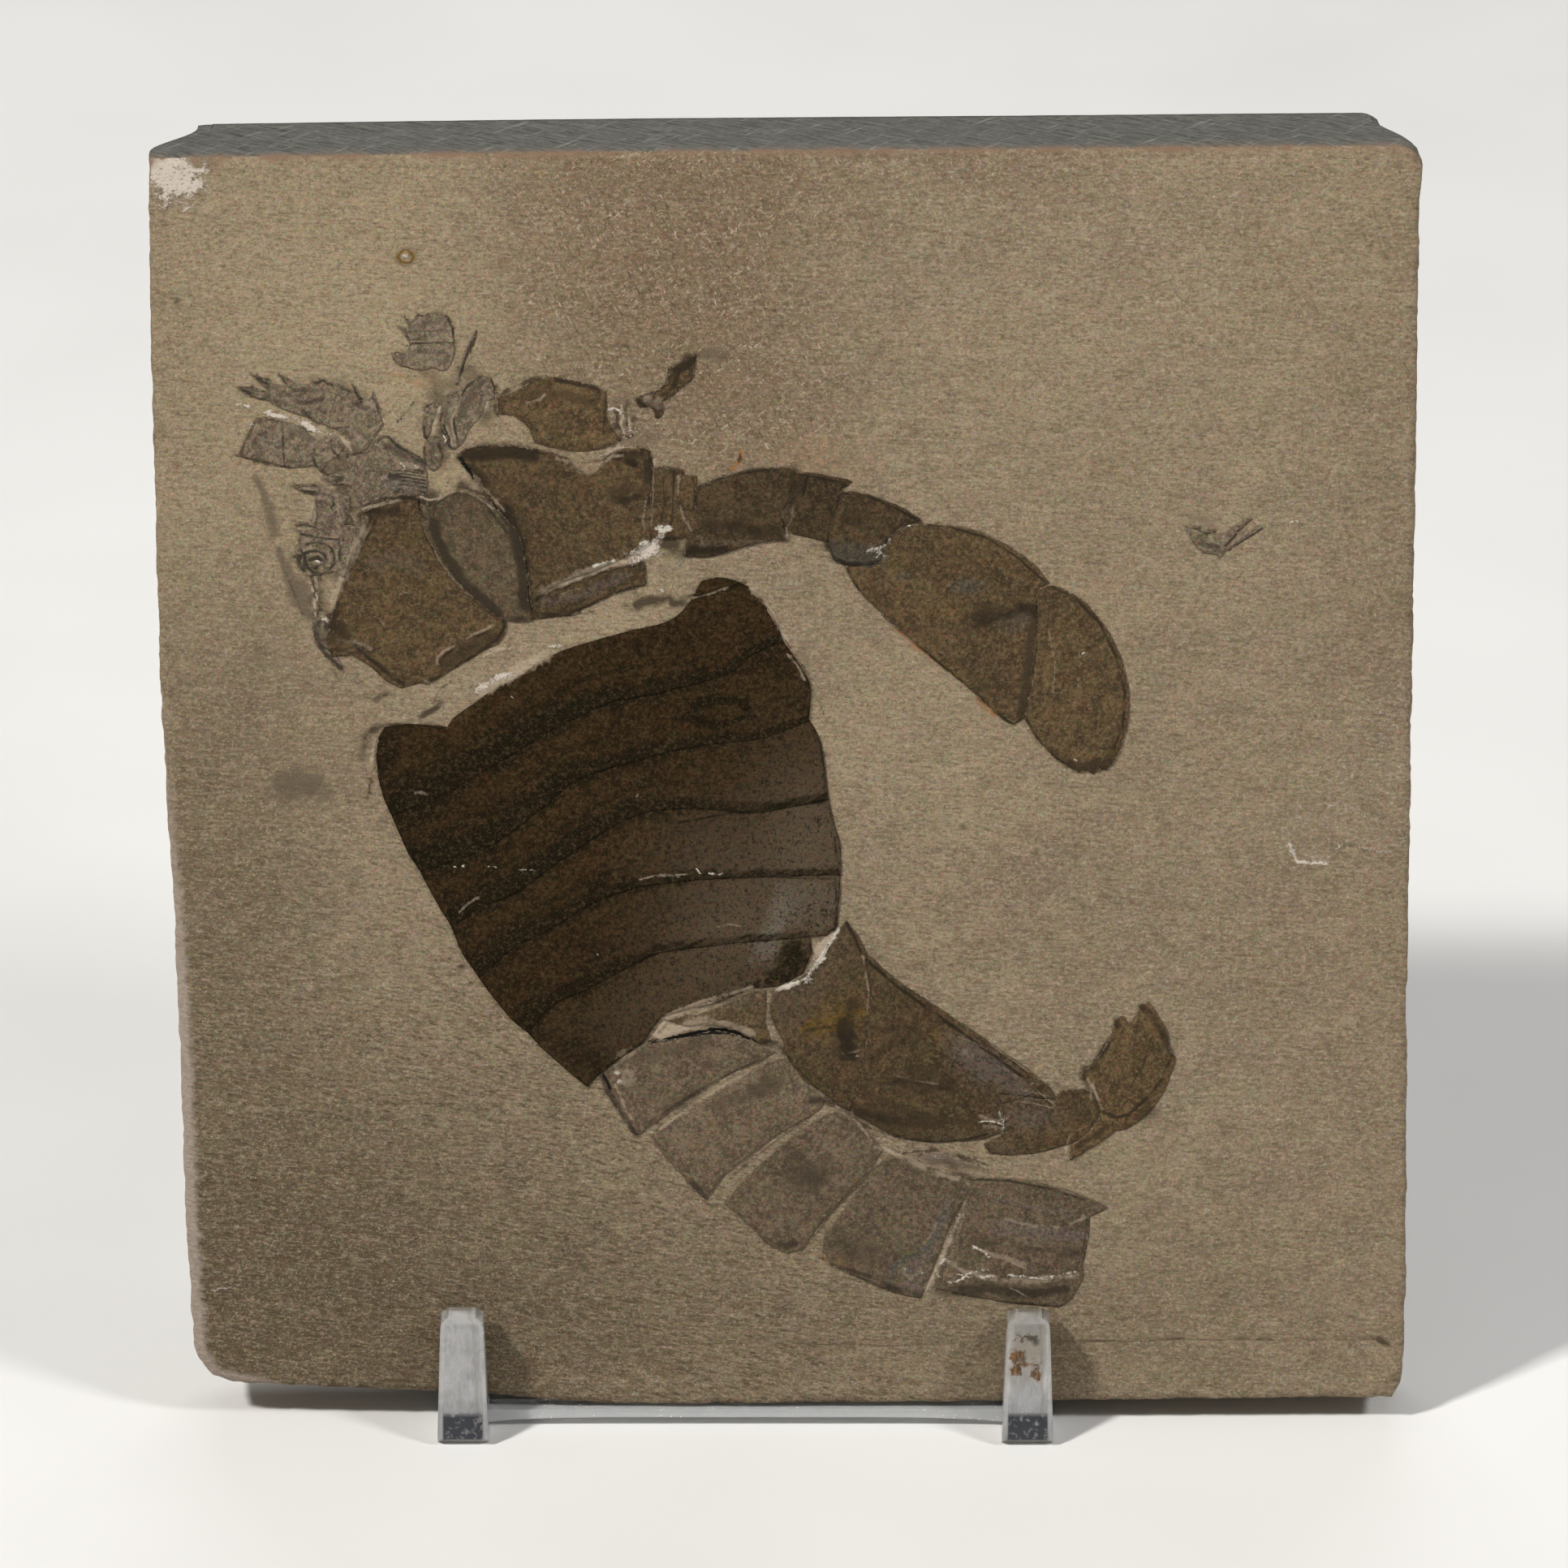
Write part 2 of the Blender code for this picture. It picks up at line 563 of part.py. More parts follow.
def build_easel_side(name, middle, frame_height, shelf, prong_height, material, parent):
    profile = side_profile(frame_height, shelf, prong_height)
    prong_top = world_point(frame_height, shelf + prong_height, 0.0)[1]
    rings = []
    for sign in (-1, 1):
        ring = []
        for y, z in profile:
            rise = min(1.0, max(0.0, z / prong_top)) if y < 0.0 else 0.5
            width = EASEL_SIDE_WIDTH + (PRONG_TOP_WIDTH - EASEL_SIDE_WIDTH) * rise
            ring.append((middle + sign * width / 2, y, z))
        rings.append(ring)
    return link_mesh(name, stack_of_rings(rings), material, parent)


def build_front_bar(left, right, frame_height, material, parent):
    """The arched bar between the feet, under the slab's front edge."""
    steps = 12
    top = on_face((PICTURE_MIDDLE, FRONT_BAR_PICTURE_Y))[1] - GAP
    front_y, front_z = world_point(frame_height, top, 0.0006)
    back_y, back_z = world_point(frame_height, top, 0.0006 - CROSSBAR_DEPTH)
    rings = []
    for i in range(steps + 1):
        share = i / steps
        x = left + (right - left) * share
        low = 0.0003 + 0.0009 * min(1.0, 5.0 * min(share, 1.0 - share)) ** 0.5
        rings.append([
            (x, front_y, low), (x, back_y, low), (x, back_y, back_z), (x, front_y, front_z),
        ])
    return link_mesh("front_bar", stack_of_rings(rings), material, parent)


def build_rear_bar(left, right, material, parent):
    rings = []
    for x in (left, right):
        rings.append([
            (x, EASEL_DEPTH - 0.0052, 0.0012), (x, EASEL_DEPTH - 0.0012, 0.0012),
            (x, EASEL_DEPTH - 0.0012, REAR_BAR_HEIGHT), (x, EASEL_DEPTH - 0.0052, REAR_BAR_HEIGHT),
        ])
    return link_mesh("rear_bar", stack_of_rings(rings), material, parent)


def join_piece(target, piece):
    modifier = target.modifiers.new(piece.name, "BOOLEAN")
    modifier.operation = "UNION"
    modifier.solver = "EXACT"
    modifier.object = piece
    piece.hide_render = True
    piece.display_type = "WIRE"


def build_easel(frame_height):
    material = plastic_material()
    frame = easel_frame()
    left, low_left = on_face((LEFT_PRONG_PICTURE_X, SHELF_LEFT_PICTURE_Y))
    right, low_right = on_face((RIGHT_PRONG_PICTURE_X, SHELF_RIGHT_PICTURE_Y))
    shelf_left = low_left - GAP
    shelf_right = low_right - GAP
    easel = build_easel_side(
        "easel", left, frame_height, shelf_left, LEFT_PRONG_HEIGHT, material, frame,
    )
    right_side = build_easel_side(
        "easel_right_side", right, frame_height, shelf_right, RIGHT_PRONG_HEIGHT, material, frame,
    )
    front_bar = build_front_bar(left, right, frame_height, material, frame)
    rear_bar = build_rear_bar(left, right, material, frame)
    for piece in (right_side, front_bar, rear_bar):
        join_piece(easel, piece)
    return easel


def build_object():
    clear_scene()
    frame = slab_frame()
    build_slab(frame)
    build_trunk(frame)
    build_tail(frame)
    build_leg_bases(frame)
    build_swimming_leg(frame)
    build_second_paddle(frame)
    build_walking_legs(frame)
    build_easel(frame.location.z)


build_object()
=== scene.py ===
"""A fossil sea scorpion (Eurypterus) on a sawn slab of waterlime, leaning on a small clear plastic easel.

All outlines and marks lie on the slab's face. Those of the plates are picture points of a 1932 x 1932
frame, which on_face() turns into millimetres on the face (right, up); the small marks are in
millimetres on the face. The pieces are closed bodies whose relief is worked out point by point.
"""

import math

import bmesh
import bpy
import numpy as np
from mathutils import Matrix, Vector
from mathutils.geometry import delaunay_2d_cdt


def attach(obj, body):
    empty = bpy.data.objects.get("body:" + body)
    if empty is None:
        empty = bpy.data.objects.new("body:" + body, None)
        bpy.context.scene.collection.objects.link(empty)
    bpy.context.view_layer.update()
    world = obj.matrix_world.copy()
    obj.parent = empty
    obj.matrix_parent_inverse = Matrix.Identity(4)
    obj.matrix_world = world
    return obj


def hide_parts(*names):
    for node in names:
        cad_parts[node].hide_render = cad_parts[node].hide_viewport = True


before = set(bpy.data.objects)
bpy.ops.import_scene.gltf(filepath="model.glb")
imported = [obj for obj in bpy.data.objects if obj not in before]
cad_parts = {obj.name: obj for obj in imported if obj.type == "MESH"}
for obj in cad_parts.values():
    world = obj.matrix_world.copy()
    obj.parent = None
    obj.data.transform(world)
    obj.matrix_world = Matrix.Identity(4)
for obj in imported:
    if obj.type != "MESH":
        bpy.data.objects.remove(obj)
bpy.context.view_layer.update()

# The slab and how the picture's points lie on its face
LEAN = math.radians(7.0)
THICKNESS_MM = 12.1
EDGE_HEIGHT_MM = 2.6
FACE_X_MM = -0.67
FACE_Y_MM = -21.64
PICTURE_MIDDLE = 966.0
PICTURE_SCALE = 11000.0
VIEW_DISTANCE_MM = 1012.0
VIEW_TILT = math.radians(19.5)
SHELF_POINT = (1265, 1730)


def on_face(point):
    """Picture point to (right, up) in millimetres from the middle of the slab's face."""
    right = (point[0] - PICTURE_MIDDLE) / PICTURE_SCALE
    up = (PICTURE_MIDDLE - point[1]) / PICTURE_SCALE
    height = up * VIEW_DISTANCE_MM / (math.cos(VIEW_TILT) + up * math.sin(VIEW_TILT))
    return right * (VIEW_DISTANCE_MM - height * math.sin(VIEW_TILT)), height


FACE_Z_MM = EDGE_HEIGHT_MM - on_face(SHELF_POINT)[1] * math.cos(LEAN)
FACE_TO_WORLD = (
    Matrix.Translation((FACE_X_MM / 1000, FACE_Y_MM / 1000, FACE_Z_MM / 1000))
    @ Matrix.Rotation(math.pi / 2 - LEAN, 4, "X")
    @ Matrix.Scale(0.001, 4)
)

# Outlines of the slab and the plates, as picture points
SLAB_OUTLINE = [
    (261, 1698), (248, 1684), (238, 1657), (228, 1500), (222, 1330), (213, 1130), (205, 1000),
    (197, 860), (188, 560), (185, 450), (182, 250), (183, 193),
    (700, 186), (1200, 182), (1726, 178),
    (1738, 182), (1748, 190), (1754, 206), (1751, 266), (1748, 400), (1745, 600), (1742, 800),
    (1738, 1040), (1735, 1200), (1734, 1500), (1733, 1592), (1730, 1668), (1726, 1706), (1716, 1724),
    (1545, 1725), (1300, 1728), (1100, 1730), (760, 1731), (536, 1716), (376, 1710), (287, 1705),
]
TRUNK_FRONT = [
    (467, 912), (475, 897), (507, 893), (552, 897), (560, 886), (582, 870), (611, 849), (644, 833),
    (670, 814), (702, 800), (735, 790), (775, 779), (815, 770), (834, 760), (850, 744), (865, 717),
    (889, 713), (915, 721), (934, 735), (952, 761), (963, 789),
]
OVERLAP_1 = [
    (483, 1003), (547, 977), (606, 943), (668, 905), (708, 884), (748, 865), (815, 851), (849, 843),
    (900, 828), (926, 806), (963, 789),
]
OVERLAP_2 = [
    (518, 1072), (562, 1058), (606, 1040), (668, 994), (709, 960), (785, 935), (860, 918), (940, 908),
    (996, 887),
]
OVERLAP_3 = [
    (557, 1141), (590, 1118), (636, 1097), (683, 1064), (724, 1035), (783, 1003), (849, 994),
    (923, 1000), (967, 994), (1020, 984),
]
OVERLAP_4 = [
    (590, 1202), (636, 1164), (680, 1143), (724, 1114), (783, 1093), (860, 1082), (908, 1080),
    (1035, 1076),
]
OVERLAP_5 = [(650, 1270), (680, 1237), (724, 1217), (768, 1193), (812, 1173), (889, 1163), (997, 1153)]
TRUNK_REAR = [
    (724, 1338), (740, 1321), (767, 1300), (791, 1284), (799, 1273), (815, 1251), (850, 1241),
    (887, 1233), (925, 1217), (960, 1213), (989, 1198), (1000, 1172), (997, 1153),
]
TRUNK_LEFT = [
    [(466, 944), (472, 976)], [(504, 1050)], [(539, 1111)], [(571, 1174)], [(607, 1226), (630, 1254)],
    [(665, 1287), (695, 1314)],
]
TRUNK_RIGHT = [
    [], [(982, 817), (997, 846)], [(1008, 909), (1015, 946)], [(1026, 1013), (1034, 1042)],
    [(1032, 1116), (1031, 1141), (1019, 1151)],
]
TRUNK_PLATES = [
    TRUNK_FRONT + OVERLAP_1[::-1][1:] + TRUNK_LEFT[0][::-1],
    OVERLAP_1 + TRUNK_RIGHT[1] + OVERLAP_2[::-1] + TRUNK_LEFT[1],
    OVERLAP_2 + TRUNK_RIGHT[2] + OVERLAP_3[::-1] + TRUNK_LEFT[2],
    OVERLAP_3 + TRUNK_RIGHT[3] + OVERLAP_4[::-1] + TRUNK_LEFT[3],
    OVERLAP_4 + TRUNK_RIGHT[4] + OVERLAP_5[::-1] + TRUNK_LEFT[4][::-1],
    OVERLAP_5 + TRUNK_REAR[::-1][1:] + TRUNK_LEFT[5][::-1],
]
LAST_TRUNK_PLATE = [
    (817, 1256), (871, 1246), (925, 1221), (945, 1219), (944, 1238), (944, 1262), (951, 1284),
    (937, 1287), (922, 1279), (903, 1268), (870, 1262), (850, 1264),
]
TAIL = {
    "tail_segment_1": [
        (740, 1322), (767, 1303), (794, 1287), (818, 1282), (850, 1278), (877, 1271), (903, 1274),
        (922, 1282), (937, 1289), (955, 1296), (941, 1305), (887, 1329), (834, 1364), (794, 1393),
        (786, 1402), (772, 1383), (759, 1364), (745, 1342),
    ],
    "tail_segment_2": [
        (802, 1400), (861, 1360), (909, 1331), (944, 1310), (968, 1303), (990, 1330), (1018, 1357),
        (1008, 1369), (984, 1383), (954, 1401), (914, 1431), (887, 1455), (871, 1479), (850, 1460),
        (837, 1444), (818, 1423),
    ],
    "tail_segment_3": [
        (893, 1482), (941, 1431), (985, 1395), (1014, 1376), (1032, 1370), (1067, 1393), (1087, 1417),
        (1063, 1454), (1039, 1479), (1011, 1507), (988, 1540), (970, 1544), (946, 1532), (929, 1514),
    ],
    "tail_segment_4": [
        (1022, 1520), (1053, 1476), (1080, 1439), (1094, 1427), (1111, 1426), (1146, 1440), (1180, 1452),
        (1193, 1466), (1177, 1493), (1163, 1524), (1152, 1555), (1134, 1598), (1115, 1594), (1087, 1586),
        (1046, 1567), (1025, 1557), (1017, 1541),
    ],
    "tail_segment_5": [
        (1198, 1453), (1228, 1453), (1273, 1458), (1318, 1469), (1363, 1488), (1342, 1498), (1340, 1524),
        (1333, 1558), (1332, 1575), (1318, 1600), (1304, 1609), (1256, 1605), (1197, 1596), (1158, 1588),
        (1171, 1562), (1185, 1520), (1194, 1480),
    ],
}
LEG_BASES = {
    "left_coxa": [
        (441, 668), (447, 645), (450, 632), (488, 614), (512, 612), (520, 645), (536, 688), (566, 726),
        (606, 757), (621, 762), (622, 773), (619, 784), (611, 792), (590, 803), (563, 819), (547, 830),
        (528, 841), (515, 840), (494, 845), (476, 836), (458, 820), (434, 805), (411, 807), (403, 793),
        (408, 775), (411, 759), (419, 741), (426, 723),
    ],
    "metastoma": [
        (520, 619), (530, 630), (538, 622), (566, 605), (594, 614), (619, 640), (636, 661), (644, 700),
        (648, 745), (652, 762), (625, 760), (600, 746), (562, 709), (540, 677), (526, 650),
    ],
    "right_coxa": [
        (564, 563), (573, 555), (593, 550), (622, 551), (665, 556), (699, 566), (706, 577), (722, 586),
        (737, 584), (746, 569), (762, 557), (788, 553), (799, 556), (802, 575), (800, 614), (801, 640),
        (800, 668), (788, 675), (734, 701), (686, 718), (655, 741), (651, 700), (641, 661), (621, 634),
        (598, 606), (594, 588), (580, 576),
    ],
    "coxa_rim": [
        (655, 752), (670, 734), (679, 727), (705, 720), (751, 703), (794, 694), (795, 720), (774, 724),
        (721, 747), (700, 757), (656, 762),
    ],
    "upper_coxa": [
        (612, 511), (613, 490), (633, 483), (659, 467), (673, 464), (699, 467), (722, 473), (748, 482),
        (749, 509), (753, 526), (766, 542), (745, 552), (722, 556), (696, 555), (659, 546), (650, 526),
        (632, 512),
    ],
}
SWIMMING_LEG = {
    "swimming_leg_1": [
        (805, 578), (822, 577), (840, 581), (843, 588), (857, 588), (853, 612), (857, 641), (852, 657),
        (836, 662), (806, 659), (803, 640), (807, 610),
    ],
    "swimming_leg_2": [
        (858, 602), (895, 590), (920, 581), (958, 578), (976, 581), (975, 611), (960, 629), (962, 650),
        (965, 662), (938, 666), (920, 670), (890, 680), (869, 684), (844, 684), (852, 660), (861, 640),
    ],
    "swimming_leg_3": [
        (978, 586), (999, 585), (1047, 594), (1035, 601), (1034, 606), (1022, 655), (1019, 665),
        (1004, 662), (979, 656), (968, 645), (974, 615),
    ],
    "swimming_leg_4": [
        (1034, 608), (1058, 609), (1081, 616), (1112, 628), (1133, 641), (1112, 646), (1099, 655),
        (1090, 672), (1082, 693), (1050, 694), (1031, 690), (1025, 682), (1023, 665),
    ],
}
PADDLE = {
    "paddle_blade": [
        (1094, 673), (1103, 656), (1118, 649), (1147, 647), (1176, 650), (1211, 658), (1249, 678),
        (1273, 696), (1292, 718), (1277, 725), (1277, 765), (1276, 809), (1270, 844), (1261, 884),
        (1249, 892), (1235, 885), (1205, 857), (1182, 837), (1164, 823), (1126, 790), (1088, 756),
        (1059, 727), (1047, 709), (1044, 697), (1080, 695),
    ],
    "paddle_tip": [
        (1279, 727), (1294, 721), (1311, 727), (1334, 741), (1358, 768), (1375, 797), (1384, 823),
        (1390, 856), (1389, 885), (1381, 917), (1373, 935), (1363, 948), (1352, 944), (1347, 952),
        (1338, 948), (1331, 951), (1314, 942), (1293, 926), (1276, 906), (1263, 885), (1272, 846),
        (1278, 809), (1279, 765),
    ],
}
SECOND_PADDLE = {
    "second_paddle_base": [
        (1043, 1136), (1056, 1153), (1065, 1171), (1069, 1190), (1072, 1222), (1068, 1262), (1064, 1300),
        (1056, 1340), (1048, 1367), (1038, 1364), (1016, 1346), (991, 1329), (970, 1300), (966, 1282),
        (951, 1252), (950, 1239), (961, 1222), (999, 1198), (1016, 1179), (1028, 1154),
    ],
    "second_paddle_blade": [
        (1070, 1179), (1099, 1204), (1134, 1229), (1177, 1257), (1224, 1289), (1259, 1314), (1288, 1336),
        (1299, 1352), (1262, 1349), (1228, 1345), (1234, 1370), (1233, 1394), (1209, 1402), (1170, 1405),
        (1134, 1404), (1099, 1396), (1051, 1370), (1058, 1340), (1067, 1300), (1071, 1262), (1075, 1222),
    ],
    "second_paddle_joint": [
        (1298, 1357), (1309, 1346), (1338, 1343), (1347, 1352), (1354, 1368), (1344, 1388), (1328, 1404),
        (1316, 1408), (1291, 1416), (1256, 1421), (1220, 1420), (1214, 1410), (1236, 1398), (1238, 1370),
        (1232, 1350), (1262, 1353),
    ],
    "second_paddle_claw": [
        (1332, 1325), (1349, 1311), (1370, 1279), (1375, 1257), (1384, 1253), (1389, 1265), (1399, 1254),
        (1407, 1239), (1415, 1236), (1427, 1254), (1436, 1271), (1440, 1293), (1447, 1305), (1443, 1318),
        (1434, 1343), (1413, 1371), (1388, 1389), (1374, 1393), (1359, 1404), (1319, 1428), (1320, 1414),
        (1340, 1398), (1354, 1382), (1358, 1368), (1350, 1348), (1344, 1338),
    ],
}

# Outlines of the walking-leg remains, in millimetres on the face
SPINY_LEG = {
    "spiny_leg_upper": [
        (-59.6, 48.6), (-58.8, 48.25), (-57.4, 47.55), (-56.5, 47.3), (-55.6, 47.2), (-56.4, 48.5),
        (-55.5, 48.2), (-54.4, 47.3), (-53.0, 47.3), (-52.6, 47.7), (-52.0, 47.2), (-51.4, 47.8),
        (-50.9, 47.5), (-50.1, 46.8), (-49.4, 47.3), (-48.7, 46.7), (-48.1, 46.3), (-47.8, 47.2),
        (-47.2, 45.5), (-46.4, 45.5), (-45.8, 46.5), (-45.3, 45.0), (-45.0, 43.6), (-44.8, 42.5),
        (-45.8, 41.1), (-46.8, 39.7), (-47.6, 39.3), (-48.3, 40.5), (-49.1, 41.5), (-50.5, 42.2),
        (-52.0, 42.8), (-53.4, 43.5), (-55.2, 44.1), (-57.0, 44.9), (-57.6, 45.4), (-58.6, 45.6),
        (-60.1, 46.25), (-61.0, 47.1), (-60.1, 47.05), (-58.3, 46.6), (-57.3, 46.5), (-58.3, 47.2),
    ],
    "spiny_leg_lower": [
        (-59.0, 43.5), (-57.0, 43.2), (-55.2, 42.8), (-53.6, 42.1), (-52.8, 41.3), (-51.9, 40.6),
        (-50.9, 41.0), (-50.0, 41.4), (-49.2, 40.2), (-49.9, 39.0), (-51.0, 38.2), (-51.9, 37.0),
        (-52.6, 37.8), (-54.1, 37.6), (-56.0, 37.6), (-57.7, 38.2), (-59.5, 38.6), (-61.4, 38.9),
        (-60.6, 40.0), (-59.8, 41.8),
    ],
}
LEG_PIECES = {
    "leg_cluster": [
        (-51.3, 36.5), (-50.2, 36.9), (-49.0, 37.2), (-49.4, 38.4), (-48.8, 39.0), (-46.9, 39.2),
        (-46.2, 40.2), (-45.2, 41.2), (-44.2, 41.3), (-42.8, 40.2), (-41.2, 39.2), (-40.2, 38.6),
        (-40.1, 37.6), (-39.9, 36.4), (-40.0, 34.8), (-41.2, 34.3), (-43.0, 34.2), (-45.1, 33.7),
        (-47.5, 32.9), (-47.9, 34.0), (-48.4, 35.2), (-49.4, 35.7), (-50.6, 35.6),
    ],
    "leg_stem": [
        (-55.0, 35.2), (-53.6, 35.5), (-51.8, 35.3), (-50.6, 34.9), (-49.7, 34.5), (-48.6, 34.2),
        (-48.7, 32.4), (-49.4, 30.8), (-48.2, 30.7), (-47.4, 30.5), (-48.3, 27.8), (-49.5, 24.6),
        (-50.6, 25.3), (-52.0, 25.0), (-53.6, 24.8), (-54.7, 26.0), (-54.9, 28.0), (-54.2, 29.2),
        (-54.7, 30.4), (-53.4, 30.9), (-52.9, 31.2), (-52.7, 32.8), (-52.5, 34.3), (-53.8, 34.6),
    ],
    "small_curved_piece": [
        (-52.9, 20.4), (-51.8, 20.0), (-51.2, 19.0), (-51.0, 17.0), (-50.2, 15.0), (-49.6, 13.2),
        (-50.4, 14.0), (-51.6, 15.2), (-52.6, 16.6), (-53.0, 18.0),
    ],
    "loose_fragment": [
        (45.1, 30.6), (46.3, 30.55), (46.9, 30.1), (48.1, 30.0), (48.9, 29.6), (50.2, 30.4), (51.9, 31.7),
        (52.5, 31.6), (51.6, 30.8), (50.7, 29.9), (52.0, 30.2), (53.1, 30.8), (53.8, 30.5), (52.5, 29.5),
        (51.0, 28.7), (49.8, 27.8), (49.0, 26.9), (48.3, 27.4), (47.1, 27.6), (46.0, 28.6),
    ],
}
# Outlines read in enlarged views of the picture: CLAW_VIEW and HOOK_VIEW
CLAW_OUTLINES = {
    "small_claw": [
        (192, 84), (222, 90), (240, 104), (243, 84), (222, 40), (254, 64), (290, 40), (340, 28), (395, 26),
        (426, 34), (440, 64), (452, 90), (458, 130), (459, 170), (463, 192), (456, 230), (446, 264),
        (428, 293), (402, 296), (360, 282), (312, 292), (268, 290), (243, 280), (212, 274), (184, 262),
        (170, 238), (158, 210), (195, 209), (222, 214), (243, 220), (243, 186), (249, 170), (236, 146),
        (218, 118),
    ],
    "needle": [
        (567, 106), (560, 140), (541, 185), (521, 225), (505, 270), (493, 310), (480, 368), (468, 362),
        (480, 305), (494, 255), (506, 220), (527, 175), (548, 135),
    ],
    "narrow_plate_1": [
        (600, 318), (628, 324), (644, 350), (652, 400), (652, 428), (612, 440), (602, 470), (592, 502),
        (560, 540), (530, 576), (505, 632), (486, 655), (462, 672), (440, 668), (418, 640), (402, 600),
        (398, 560), (392, 520), (398, 480), (412, 436), (430, 402), (460, 388), (492, 384), (505, 372),
        (530, 346), (562, 328),
    ],
    "narrow_plate_2": [
        (318, 468), (345, 452), (384, 444), (392, 456), (380, 480), (374, 512), (358, 545), (350, 590),
        (330, 622), (314, 612), (310, 560), (314, 510),
    ],
    "narrow_plate_3": [
        (330, 626), (352, 608), (376, 610), (394, 632), (404, 680), (400, 726), (384, 756), (360, 772),
        (338, 756), (322, 730), (314, 690), (318, 650),
    ],
}
HOOKED_LEG = [
    (528, 140), (498, 156), (450, 184), (402, 206), (398, 240), (390, 276), (350, 312), (300, 326),
    (246, 346), (250, 372), (262, 394), (300, 392), (326, 402), (334, 436), (350, 448), (376, 424),
    (382, 396), (372, 366), (402, 346), (440, 312), (498, 272), (520, 244), (524, 200),
]


def picture(points):
    """Picture points, as millimetres on the face."""
    return [on_face(point) for point in points]


# Left edge, top edge and scale of the enlarged views of the picture in which strokes were read
LEGS_VIEW = (270, 370, 0.37)
COXAE_VIEW = (380, 540, 0.45)
TAIL_VIEW = (720, 1180, 0.5)
CLAW_VIEW = (440, 380, 0.26)
HOOK_VIEW = (720, 400, 0.26)
COIL_VIEW = (300, 580, 0.26)
SPINES_VIEW = (270, 440, 0.27)
PADDLE_VIEW = (940, 1130, 0.54)
SWIM_VIEW = (780, 560, 0.64)


def from_view(view, points):
    """Points read in an enlarged view, as millimetres on the face."""
    left, top, scale = view
    return [on_face((left + scale * x, top + scale * y)) for x, y in points]


def seen_in(view, strokes):
    """Strokes whose points were read in an enlarged view, with their points on the face."""
    return [(*settings, from_view(view, points)) for *settings, points in strokes]


def ring(middle, radii, turn=0.0, start=0.0, end=360.0, steps=20):
    """Points of an oval, or of a part of it, in millimetres on the face."""
    angles = np.radians(np.linspace(start, end, steps + 1))
    lean = math.radians(turn)
    along, across = radii[0] * np.cos(angles), radii[1] * np.sin(angles)
    x = middle[0] + along * math.cos(lean) - across * math.sin(lean)
    y = middle[1] + along * math.sin(lean) + across * math.cos(lean)
    return list(zip(x, y))


def shifted(path, right, up):
    """The same points, moved."""
    return [(x + right, y + up) for x, y in path]


def overlap_bands(path, width, fade):
    """The dark band along a trunk plate's overlapping edge, strongest on its left, with streaks above it."""
    left_part, right_part = path[:len(path) // 2 + 1], path[len(path) // 2:]
    return [
        ("band", (width * 1.1, width * 0.7), fade, 0.03, shifted(left_part, -0.3 * width, 0.6 * width)),
        ("band", (width * 0.7, 0.25), 0.8 * fade, 0.0, shifted(right_part, -0.2, 0.4)),
        ("band", 0.16, 0.8 * fade, 0.0, shifted(path, -0.05, 0.1)),
        ("band", (0.7, 0.2), 0.5 * fade, 0.0, shifted(path[:-3], -0.9, width * 1.9 + 0.5)),
    ]


